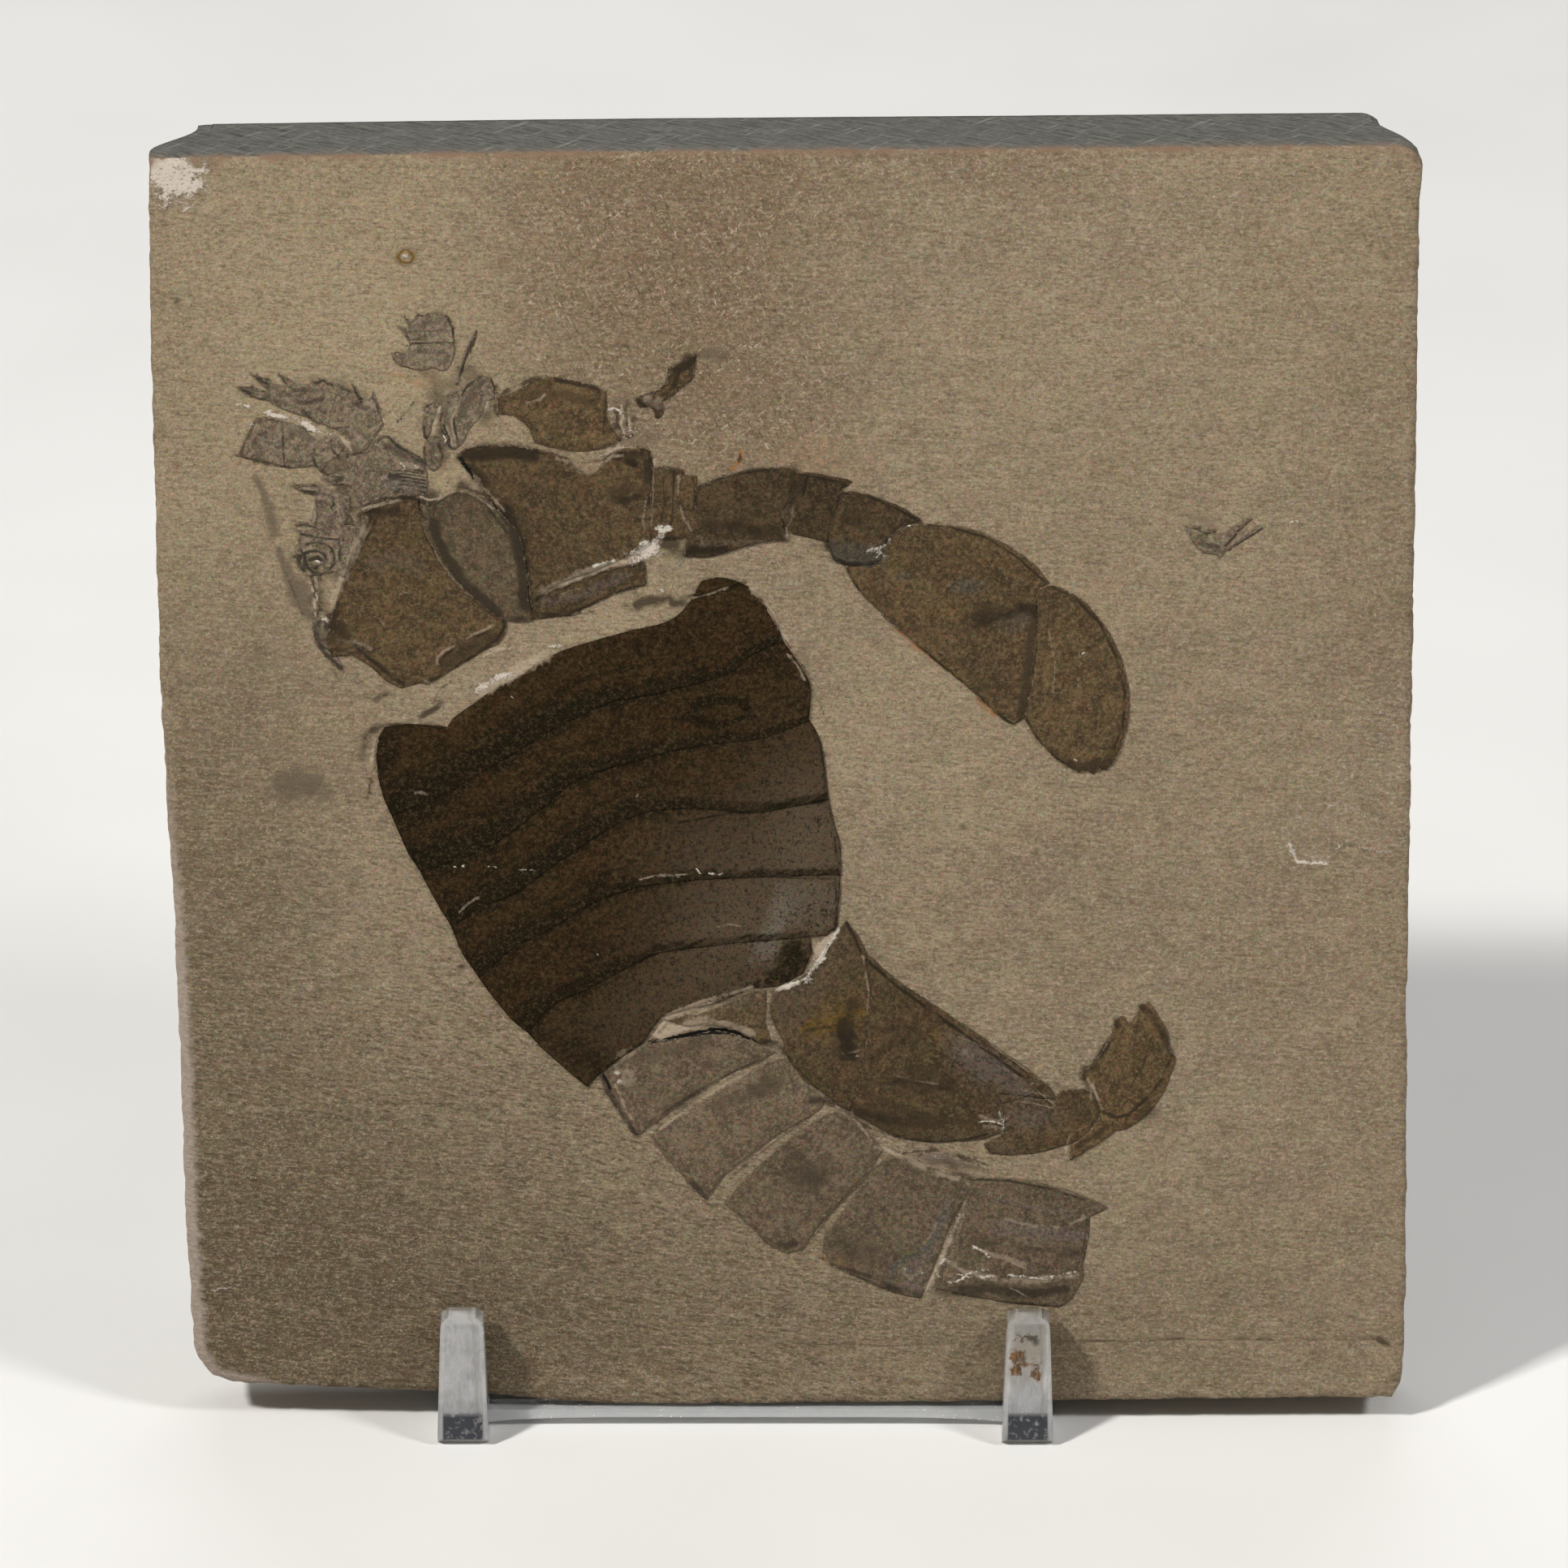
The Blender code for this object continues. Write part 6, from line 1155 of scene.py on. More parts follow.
def inward_normals(path):
    """The directions that point into a counterclockwise outline."""
    tangent = np.roll(path, -1, axis=0) - np.roll(path, 1, axis=0)
    tangent /= np.maximum(1e-9, np.linalg.norm(tangent, axis=1))[:, None]
    return np.stack([-tangent[:, 1], tangent[:, 0]], axis=1)


def smooth_outline(points, pitch, rough, seed):
    """A given outline as a fine curve: gentle bends rounded, corners kept, edge slightly ragged."""
    path = counterclockwise(np.asarray(points, float))
    gentle = turns(path) < 0.5
    count = len(path)
    fine = []
    for i in range(count):
        p0, p1, p2, p3 = path[i - 1], path[i], path[(i + 1) % count], path[(i + 2) % count]
        steps = max(1, int(round(np.linalg.norm(p2 - p1) / pitch)))
        start = (p2 - p0) / 2 if gentle[i] else p2 - p1
        end = (p3 - p1) / 2 if gentle[(i + 1) % count] else p2 - p1
        length = np.linalg.norm(p2 - p1)
        start = start * min(1.0, length / max(1e-9, np.linalg.norm(start)))
        end = end * min(1.0, length / max(1e-9, np.linalg.norm(end)))
        for step in range(steps):
            t = step / steps
            fine.append(
                (2 * t**3 - 3 * t**2 + 1) * p1 + (t**3 - 2 * t**2 + t) * start
                + (3 * t**2 - 2 * t**3) * p2 + (t**3 - t**2) * end
            )
    fine = np.array(fine)
    if rough:
        wobble = 0.6 * noise_2d(fine, 0.5, seed) + 0.6 * noise_2d(fine, 1.7, seed + 1)
        fine = fine + inward_normals(fine) * (wobble * rough)[:, None]
    return fine


def scatter(path, pitch, seed, clear=0.55):
    """Points inside an outline on a slightly shaken triangular grid."""
    low, high = path.min(axis=0), path.max(axis=0)
    columns = np.arange(low[0], high[0], pitch)
    rows = np.arange(low[1], high[1], pitch * 0.866)
    x, y = np.meshgrid(columns, rows)
    x[1::2] += pitch / 2
    points = np.stack([x.ravel(), y.ravel()], axis=1)
    points += np.random.default_rng(seed).uniform(-0.22, 0.22, points.shape) * pitch
    points = points[inside(points, path)]
    near = distance_to_path(points, path, closed=True)
    return points[near > clear * pitch]


def stroke_width(width):
    """The narrowest half width of a stroke."""
    return min(width) if isinstance(width, tuple) else width


def stroke_points(outline, finest, clear, spacing):
    """Extra points along the thin strokes and on both their sides, so that thin marks stay crisp."""
    low, high = outline.min(axis=0), outline.max(axis=0)
    found = [np.empty((0, 2))]
    for _, width, _, _, line in STROKES:
        path = np.asarray(line, float)
        width = max(finest, stroke_width(width))
        if width > 0.45 or (path.max(axis=0) < low).any() or (path.min(axis=0) > high).any():
            continue
        for start, end in zip(path[:-1], path[1:]):
            along = end - start
            length = np.linalg.norm(along)
            side = np.array([-along[1], along[0]]) / max(1e-9, length)
            share = np.linspace(0, 1, max(2, int(length / max(0.16, width * 0.9))), endpoint=False)
            middle = start + share[:, None] * along
            found += [middle + side * offset * width for offset in (-1.3, -0.5, 0.5, 1.3)]
    points = np.vstack(found)
    points = points[inside(points, outline)]
    points = points[distance_to_path(points, outline, closed=True) > clear] if len(points) else points
    return thin_out(points, spacing)


def thin_out(points, spacing, taken=None):
    """Drops points that share a grid cell with another one."""
    seen = set() if taken is None else {tuple(cell) for cell in np.floor(taken / spacing).astype(int)}
    kept = []
    for point, cell in zip(points, np.floor(points / spacing).astype(int)):
        key = (cell[0], cell[1])
        if key not in seen:
            seen.add(key)
            kept.append(point)
    return np.array(kept) if kept else np.empty((0, 2))


def smoothstep(value):
    value = np.clip(value, 0, 1)
    return value * value * (3 - 2 * value)


def marks_at(points, kinds):
    """The strength of every kind of mark at every point, and how far strokes raise the surface there."""
    found = {kind: np.zeros(len(points)) for kind in kinds}
    rise = np.zeros(len(points))
    ragged = 1 + 0.36 * noise_2d(points, 0.8, 71) + 0.30 * noise_2d(points, 0.3, 72)
    wear = np.clip(0.80 + 0.60 * noise_2d(points, 1.3, 73) + 0.35 * noise_2d(points, 0.5, 74), 0.05, 1.0)
    film = [("film", width, strength, 0.0, path) for width, strength, path in FILM]
    for kind, width, strength, lift, path in STROKES + film:
        line = np.asarray(path, float)
        reach = np.max(width) * 2 + 0.3
        box_low, box_high = line.min(axis=0) - reach, line.max(axis=0) + reach
        near = np.flatnonzero(((points > box_low) & (points < box_high)).all(axis=1))
        if not len(near):
            continue
        away, place = nearest_on_path(points[near], line)
        first, last = width if isinstance(width, tuple) else (width, width)
        widths = first + (last - first) * place
        away = away / (widths * (1.0 if kind == "black" else ragged[near]))
        soft = 2.0 if kind in ("band", "film", "smudge") else 1.5
        rise[near] += lift * smoothstep(1.6 - away)
        if kind in found:
            value = strength * smoothstep((soft - away) / (soft - 0.5))
            if kind in ("dark", "pale", "white"):
                value = np.where(widths < 0.5, value * wear[near], value)
            found[kind][near] = np.maximum(found[kind][near], value)
    for kind, strength, middle, radii, turn in SPOTS:
        if kind not in found:
            continue
        angle = math.radians(turn)
        shift = points - np.array(middle)
        along = shift[:, 0] * math.cos(angle) + shift[:, 1] * math.sin(angle)
        across = -shift[:, 0] * math.sin(angle) + shift[:, 1] * math.cos(angle)
        away = np.hypot(along / radii[0], across / radii[1])
        if max(radii) < 4:
            value = strength * smoothstep(1.6 - away / ragged)
        else:
            value = strength * np.exp(-away**2)
        found[kind] = 1 - (1 - found[kind]) * (1 - value)
    return found, rise


def new_object(name, verts, faces, material, values):
    """A mesh object from points on the face in millimetres, with its marks as point values."""
    mesh = bpy.data.meshes.new(name)
    mesh.from_pydata([tuple(v) for v in verts], [], [tuple(int(i) for i in f) for f in faces])
    mesh.transform(FACE_TO_WORLD)
    mesh.materials.append(material)
    mesh.polygons.foreach_set("use_smooth", [True] * len(mesh.polygons))
    for key, data in values.items():
        layer = mesh.attributes.new(key, "FLOAT", "POINT")
        layer.data.foreach_set("value", np.asarray(data, np.float32))
    mesh.update()
    obj = bpy.data.objects.new(name, mesh)
    bpy.context.scene.collection.objects.link(obj)
    return obj


def triangulated(outline, interior):
    """(points, triangles) of the outline filled with the interior points. The outline comes first."""
    points = [Vector(p) for p in np.vstack([outline, interior])]
    count = len(outline)
    edges = [(i, (i + 1) % count) for i in range(count)]
    verts, _, faces, _, _, _ = delaunay_2d_cdt(points, edges, [], 1, 1e-7)
    points = np.array([tuple(v) for v in verts])
    upward = []
    for face in faces:
        a, b, c = points[face[0]], points[face[1]], points[face[2]]
        turn = (b[0] - a[0]) * (c[1] - a[1]) - (b[1] - a[1]) * (c[0] - a[0])
        upward.append(tuple(face) if turn > 0 else tuple(face[::-1]))
    return points, upward


def boundary_loop(faces):
    """The rim of a triangulated sheet, as one loop of point numbers, counterclockwise."""
    edges = {(face[k], face[(k + 1) % 3]) for face in faces for k in range(3)}
    after = {a: b for a, b in edges if (b, a) not in edges}
    start = min(after)
    loop = [start]
    while after[loop[-1]] != start:
        loop.append(after[loop[-1]])
    return loop


def plate(name, outline, node, material, top=0.07, crown=0.06, wrinkle=0.02, rough=0.08, seed=1,
          pitch=0.30, grow=0.0, tone=1.0, steps=()):
    """A fossil plate: a thin closed sheet with a soft rim, a slightly raised middle and fine wrinkles."""
    rim = smooth_outline(outline, pitch, rough, seed)
    if grow:
        rim = rim - inward_normals(rim) * grow
    rim = rim[np.linalg.norm(rim - np.roll(rim, 1, axis=0), axis=1) > 0.05]
    extra = stroke_points(rim, 0.07, 0.1, 0.12)
    inner = scatter(rim, pitch, seed)
    points, faces = triangulated(rim, np.vstack([extra, thin_out(inner, 0.12, extra)]))
    loop = boundary_loop(faces)
    away = distance_to_path(points, rim, closed=True)
    marks, rise = marks_at(points, CUTICLE_KINDS)
    height = top - 0.05 * np.exp(-away / 0.12)
    height += crown * (1 - np.exp(-away / 2.2))
    height += wrinkle * (0.5 * noise_2d(points, 0.5, seed + 5) + 0.8 * noise_2d(points, 1.6, seed + 6)
                         + 1.2 * noise_2d(points, 5.0, seed + 7))
    height += rise
    for path, drop, reach in steps:
        height += drop * np.exp(-distance_to_path(points, path) / reach)
    height = np.maximum(height, 0.015)
    count = len(points)
    size = len(loop)
    skirt = np.column_stack([points[loop], np.full(size, -0.25)])
    verts = np.vstack([np.column_stack([points, height]), skirt])
    sides = [(loop[i], count + i, count + (i + 1) % size, loop[(i + 1) % size]) for i in range(size)]
    bottom = [tuple(range(count + size - 1, count - 1, -1))]
    values = {key: np.concatenate([data, data[loop]]) for key, data in marks.items()}
    values["rim"] = np.concatenate([away, np.zeros(size)])
    values["tone"] = np.full(count + size, tone)
    obj = new_object(name, verts, faces + sides + bottom, material, values)
    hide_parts(node)
    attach(obj, "root")
    return obj


# Materials
class Graph:
    """Short calls for building a material's nodes."""

    def __init__(self, name):
        self.material = bpy.data.materials.new(name)
        self.material.use_nodes = True
        self.tree = self.material.node_tree
        self.shader = self.tree.nodes["Principled BSDF"]
        coordinates = self.tree.nodes.new("ShaderNodeTexCoord")
        self.place = coordinates.outputs["Object"]

    def link(self, source, target):
        self.tree.links.new(source, target)

    def set(self, socket, value):
        """Links a socket, or sets a number or a colour."""
        if isinstance(value, bpy.types.NodeSocket):
            self.link(value, socket)
        elif isinstance(value, (tuple, list)):
            socket.default_value = (*value, 1.0) if len(value) == 3 and socket.type == "RGBA" else value
        else:
            socket.default_value = value

    def value_of(self, name):
        """A point value of the mesh."""
        node = self.tree.nodes.new("ShaderNodeAttribute")
        node.attribute_name = name
        return node.outputs["Fac"]

    def noise(self, size_mm, detail=3.0, rough=0.6, turn=(0.0, 0.0, 0.0), output="Fac"):
        """Cloud noise. Three sizes stretch it, and the turn, in degrees, tilts it."""
        node = self.tree.nodes.new("ShaderNodeTexNoise")
        node.inputs["Detail"].default_value = detail
        node.inputs["Roughness"].default_value = rough
        if isinstance(size_mm, tuple):
            mapping = self.tree.nodes.new("ShaderNodeMapping")
            mapping.vector_type = "TEXTURE"
            mapping.inputs["Scale"].default_value = [size / 1000.0 for size in size_mm]
            mapping.inputs["Rotation"].default_value = [math.radians(angle) for angle in turn]
            self.link(self.place, mapping.inputs["Vector"])
            self.link(mapping.outputs["Vector"], node.inputs["Vector"])
            node.inputs["Scale"].default_value = 1.0
        else:
            self.link(self.place, node.inputs["Vector"])
            node.inputs["Scale"].default_value = 1000.0 / size_mm
        return node.outputs["Fac" if output == "Fac" else "Color"]

    def math(self, operation, a, b=0.0):
        node = self.tree.nodes.new("ShaderNodeMath")
        node.operation = operation
        self.set(node.inputs[0], a)
        self.set(node.inputs[1], b)
        return node.outputs[0]

    def spread(self, value, low, high, to_low=0.0, to_high=1.0):
        """The value turned from the range low to high into the range to_low to to_high."""
        node = self.tree.nodes.new("ShaderNodeMapRange")
        self.set(node.inputs["Value"], value)
        node.inputs["From Min"].default_value = low
        node.inputs["From Max"].default_value = high
        node.inputs["To Min"].default_value = to_low
        node.inputs["To Max"].default_value = to_high
        return node.outputs["Result"]

    def mix(self, factor, a, b):
        """Colour a where the factor is 0, colour b where it is 1."""
        node = self.tree.nodes.new("ShaderNodeMix")
        node.data_type = "RGBA"
        self.set(node.inputs[0], factor)
        self.set(node.inputs[6], a)
        self.set(node.inputs[7], b)
        return node.outputs[2]

    def speckled(self, color, size_mm, amount):
        """The colour with its red, green and blue each varied on their own, as fine coloured grain."""
        grain = self.noise(size_mm, 2.0, 0.7, output="Color")
        spread = self.tree.nodes.new("ShaderNodeMapRange")
        spread.data_type = "FLOAT_VECTOR"
        self.link(grain, spread.inputs["Vector"])
        spread.inputs["From Min"].default_value = (0.25, 0.25, 0.25)
        spread.inputs["From Max"].default_value = (0.75, 0.75, 0.75)
        spread.inputs["To Min"].default_value = (1 - amount, 1 - amount, 1 - amount)
        spread.inputs["To Max"].default_value = (1 + amount, 1 + amount, 1 + amount)
        product = self.tree.nodes.new("ShaderNodeVectorMath")
        product.operation = "MULTIPLY"
        self.link(color, product.inputs[0])
        self.link(spread.outputs["Vector"], product.inputs[1])
        return product.outputs[0]

    def bump(self, heights):
        """Chains (height socket, millimetres of depth) into one normal."""
        normal = None
        for height, depth in heights:
            node = self.tree.nodes.new("ShaderNodeBump")
            node.inputs["Strength"].default_value = 1.0
            node.inputs["Distance"].default_value = depth / 1000.0
            self.link(height, node.inputs["Height"])
            if normal:
                self.link(normal, node.inputs["Normal"])
            normal = node.outputs["Normal"]
        self.link(normal, self.shader.inputs["Normal"])


def masked(graph, name, grain, strength=1.0):
    """A mark's strength with its edge and its inside broken up by grain."""
    value = graph.value_of(name)
    broken = graph.math("ADD", value, graph.spread(grain, 0.25, 0.75, -0.38, 0.38))
    broken = graph.spread(broken, 0.12, 0.78, 0.0, strength)
    return graph.math("MULTIPLY", broken, graph.spread(value, 0.01, 0.25))


def crumbs(graph, name, fine, grain):
    """A white mark, broken into small crumbs."""
    value = graph.value_of(name)
    broken = graph.math("ADD", value, graph.spread(fine, 0.25, 0.75, -0.55, 0.45))
    broken = graph.math("ADD", broken, graph.spread(grain, 0.25, 0.75, -0.30, 0.30))
    broken = graph.spread(broken, 0.35, 0.75)
    return graph.math("MULTIPLY", broken, graph.spread(value, 0.02, 0.30))


def layered(graph, color, layers):
    """Mixes colours in, one after another: (noise, where it starts, where it is full, strength, colour)."""
    for noise, start, full, strength, tint in layers:
        color = graph.mix(graph.spread(noise, start, full, 0.0, strength), color, tint)
    return color


def marked(graph, color, marks):
    """Mixes marks in, one after another: (kind, the grain that breaks it up, strength, colour)."""
    for kind, grain, strength, tint in marks:
        color = graph.mix(masked(graph, kind, grain, strength), color, tint)
    return color


def stone_material():
    """Waterlime: mottled and bedded, with stains, chalky flecks, a sawn top and worn edges."""
    graph = Graph("waterlime_visual")
    coarse = graph.noise(24.0, 3.0, 0.55)
    middle = graph.noise(3.2, 4.0, 0.62)
    hue = graph.noise(4.2, 4.0, 0.65)
    fine = graph.noise((0.62, 0.62, 0.40), 4.0, 0.75)
    grain = graph.noise(0.26, 2.0, 0.7)
    lines = graph.noise((2.0, 1.0, 0.26), 3.0, 0.6, (0.0, 3.0, 0.0))
    patches = graph.noise((9.0, 9.0, 5.0), 3.0, 0.6, (0.0, -8.0, 0.0))
    beds = graph.noise((1.5, 1.0, 0.36), 4.0, 0.7, (0.0, 14.0, 0.0))
    threads = graph.noise((0.95, 1.0, 0.26), 3.0, 0.6, (0.0, -38.0, 0.0))
    other_threads = graph.noise((0.24, 1.0, 0.95), 3.0, 0.6, (0.0, -24.0, 0.0))
    low = graph.value_of("low")
    warm = graph.value_of("warm")
    color = graph.mix(graph.spread(coarse, 0.36, 0.66), (0.222, 0.168, 0.106), (0.262, 0.202, 0.130))
    color = layered(graph, color, (
        (hue, 0.50, 0.72, 0.55, (0.236, 0.158, 0.108)),
        (hue, 0.50, 0.30, 0.50, (0.186, 0.166, 0.098)),
        (middle, 0.44, 0.70, 0.55, (0.150, 0.111, 0.068)),
        (patches, 0.52, 0.66, 0.30, (0.178, 0.134, 0.094)),
        (patches, 0.48, 0.36, 0.30, (0.286, 0.226, 0.140)),
    ))
    for tone, strength, tint in (
        (graph.value_of("light"), 0.55, (0.350, 0.275, 0.165)),
        (graph.value_of("dim"), 0.80, (0.066, 0.047, 0.023)),
        (warm, 0.80, (0.128, 0.078, 0.042)),
    ):
        color = graph.mix(graph.math("MULTIPLY", tone, strength), color, tint)
    for start, full, strength, least, most, tint in (
        (0.50, 0.36, 0.85, 0.15, 1.0, (0.064, 0.046, 0.026)),
        (0.57, 0.70, 0.70, 0.10, 0.9, (0.31, 0.25, 0.175)),
    ):
        where = graph.spread(low, 0.0, 0.7, least, most)
        dashes = graph.math("MULTIPLY", graph.spread(beds, start, full, 0.0, strength), where)
        color = graph.mix(dashes, color, tint)
    color = layered(graph, color, (
        (lines, 0.53, 0.66, 0.28, (0.36, 0.285, 0.195)),
        (lines, 0.47, 0.34, 0.38, (0.100, 0.072, 0.044)),
        (fine, 0.51, 0.68, 0.42, (0.42, 0.335, 0.235)),
        (fine, 0.49, 0.32, 0.60, (0.088, 0.061, 0.034)),
        (grain, 0.45, 0.30, 0.50, (0.080, 0.058, 0.036)),
        (grain, 0.58, 0.72, 0.50, (0.50, 0.41, 0.30)),
    ))
    wisps = graph.math("MAXIMUM", graph.spread(threads, 0.62, 0.70), graph.spread(other_threads, 0.63, 0.71))
    wisps = graph.math("MULTIPLY", wisps, graph.spread(warm, 0.0, 0.6, 0.30, 0.85))
    color = graph.mix(wisps, color, (0.46, 0.36, 0.27))
    specks = graph.spread(other_threads, 0.40, 0.33)
    specks = graph.math("MULTIPLY", specks, graph.spread(warm, 0.0, 0.6, 0.0, 0.7))
    color = graph.mix(specks, color, (0.060, 0.040, 0.024))
    color = graph.speckled(color, 0.42, 0.16)
    color = marked(graph, color, (
        # Dark smudges of the stone, and painted shade in the hollows around the fossil
        ("smudge", fine, 0.75, (0.098, 0.074, 0.050)),
        ("film", fine, 0.92, (0.060, 0.042, 0.027)),
        ("rust", fine, 0.8, (0.26, 0.105, 0.028)),
        ("mauve", fine, 0.6, (0.13, 0.098, 0.085)),
        ("gold", grain, 0.95, (0.13, 0.066, 0.008)),
        ("dark", fine, 0.90, (0.044, 0.031, 0.018)),
    ))
    # Painted shadow: near-black in cracks and hollows
    color = graph.mix(graph.spread(graph.value_of("black"), 0.3, 0.6), color, (0.006, 0.005, 0.004))
    color = marked(graph, color, (("pale", fine, 0.80, (0.40, 0.32, 0.235)),))
    flecks = graph.math("MULTIPLY", graph.value_of("chalk"), graph.spread(fine, 0.55, 0.66))
    white = graph.math("MAXIMUM", crumbs(graph, "white", fine, grain), flecks)
    color = graph.mix(white, color, (0.52, 0.45, 0.38))
    saw_lines = graph.noise((4.0, 0.30, 4.0), 4.0, 0.7, (0.0, 0.0, -32.0))
    scrapes = graph.noise((5.0, 0.5, 5.0), 3.0, 0.6, (0.0, 0.0, 48.0))
    sawn = graph.mix(graph.spread(saw_lines, 0.32, 0.68), (0.036, 0.038, 0.034), (0.150, 0.146, 0.130))
    sawn = layered(graph, sawn, (
        (scrapes, 0.60, 0.70, 0.6, (0.26, 0.25, 0.22)),
        (fine, 0.5, 0.8, 0.5, (0.23, 0.215, 0.18)),
    ))
    color = graph.mix(graph.value_of("sawn"), color, sawn)
    arris = graph.math("MULTIPLY", graph.value_of("arris"), graph.spread(middle, 0.35, 0.6))
    color = graph.mix(arris, color, (0.20, 0.125, 0.082))
    worn = graph.math("MULTIPLY", graph.value_of("worn"), graph.spread(fine, 0.3, 0.6, 0.5, 1.0))
    color = graph.mix(worn, color, (0.34, 0.28, 0.235))
    graph.link(color, graph.shader.inputs["Base Color"])
    graph.link(graph.spread(fine, 0.2, 0.8, 0.80, 0.96), graph.shader.inputs["Roughness"])
    graph.shader.inputs["Specular IOR Level"].default_value = 0.12
    bed_depth = graph.math("MULTIPLY", beds, graph.spread(low, 0.0, 0.8, 0.15, 1.0))
    graph.bump([(bed_depth, 0.20), (middle, 0.12), (lines, 0.05), (fine, 0.11), (grain, 0.05), (white, 0.05)])
    return graph.material


def cuticle_material(name, base, lighter, darker, fleck, dark, gloss=0.12, stone_edge=0.9):
    """Fossil cuticle: mottled, with dark rims that are partly painted shade, worn edges, overlap bands, pale
    veins and patches of bloom.
    """
    graph = Graph(name)
    coarse = graph.noise(7.0, 3.0, 0.55)
    hue = graph.noise(3.4, 4.0, 0.65)
    middle = graph.noise(1.4, 4.0, 0.7)
    fine = graph.noise(0.5, 4.0, 0.75)
    grain = graph.noise(0.24, 2.0, 0.75)
    streaks = graph.noise((3.2, 1.0, 0.55), 4.0, 0.65, (0.0, -26.0, 0.0))
    red = (base[0] * 1.14, base[1] * 0.93, base[2] * 0.90)
    olive = (base[0] * 0.92, base[1] * 1.04, base[2] * 0.80)
    darkest = [0.88 * part for part in base]
    lightest = [1.10 * part for part in lighter]
    palest = [1.35 * part for part in lighter]
    color = graph.mix(graph.spread(coarse, 0.38, 0.62), darkest, lightest)
    color = layered(graph, color, (
        (hue, 0.50, 0.70, 0.8, red),
        (hue, 0.50, 0.32, 0.8, olive),
        (middle, 0.49, 0.62, 0.74, darker),
        (middle, 0.45, 0.34, 0.55, palest),
    ))
    color = graph.mix(graph.math("MULTIPLY", graph.value_of("grey"), 0.9), color, (0.108, 0.079, 0.052))
    color = marked(graph, color, (
        ("haze", fine, 0.75, (0.165, 0.142, 0.112)),
        ("mauve", fine, 0.75, (0.128, 0.100, 0.088)),
        ("blue", fine, 0.7, (0.070, 0.072, 0.062)),
        ("rust", fine, 0.8, (0.150, 0.084, 0.011)),
    ))
    banded = graph.math("ADD", graph.value_of("band"), graph.spread(streaks, 0.35, 0.65, -0.35, 0.30))
    banded = graph.math("ADD", banded, graph.spread(fine, 0.35, 0.65, -0.16, 0.16))
    in_band = graph.spread(graph.value_of("band"), 0.0, 0.3)
    banded = graph.math("MULTIPLY", graph.spread(banded, 0.05, 0.80, 0.0, 0.92), in_band)
    color = graph.mix(banded, color, dark)
    color = layered(graph, color, (
        (fine, 0.51, 0.63, 0.66, fleck),
        (fine, 0.49, 0.36, 0.80, darker),
        (grain, 0.47, 0.31, 0.72, darker),
        (grain, 0.57, 0.70, 0.66, fleck),
    ))
    color = graph.speckled(color, 0.36, 0.26)
    # Dark rims: partly the cuticle's own dark margin, partly painted shade along each plate's raised edge
    rim = graph.value_of("rim")
    ragged_rim = graph.math("ADD", rim, graph.spread(middle, 0.3, 0.7, -0.15, 0.40))
    ragged_rim = graph.math("ADD", ragged_rim, graph.spread(fine, 0.3, 0.7, -0.12, 0.20))
    edge = graph.spread(ragged_rim, 0.34, 0.05, 0.0, 0.6)
    color = graph.mix(edge, color, dark)
    color = marked(graph, color, (("dark", fine, 0.85, dark),))
    # Painted shadow: near-black in cracks and hollows
    color = graph.mix(graph.spread(graph.value_of("black"), 0.3, 0.6), color, (0.006, 0.005, 0.004))
    color = marked(graph, color, (("pale", fine, 0.80, (0.27, 0.21, 0.148)),))
    worn = graph.math("ADD", rim, graph.spread(fine, 0.35, 0.65, -0.10, 0.26))
    worn = graph.spread(worn, 0.12, 0.02, 0.0, stone_edge)
    color = graph.mix(worn, color, (0.205, 0.155, 0.104))
    white = crumbs(graph, "white", fine, grain)
    color = graph.mix(white, color, (0.60, 0.54, 0.45))
    shade = graph.value_of("tone")
    toned = graph.tree.nodes.new("ShaderNodeVectorMath")
    toned.operation = "SCALE"
    graph.link(color, toned.inputs[0])
    graph.link(shade, toned.inputs["Scale"])
    graph.link(toned.outputs[0], graph.shader.inputs["Base Color"])
    graph.link(graph.spread(fine, 0.2, 0.8, 0.50, 0.72), graph.shader.inputs["Roughness"])
    graph.shader.inputs["Specular IOR Level"].default_value = gloss
    graph.bump([(middle, 0.12), (fine, 0.13), (grain, 0.07), (white, 0.05)])
    return graph.material


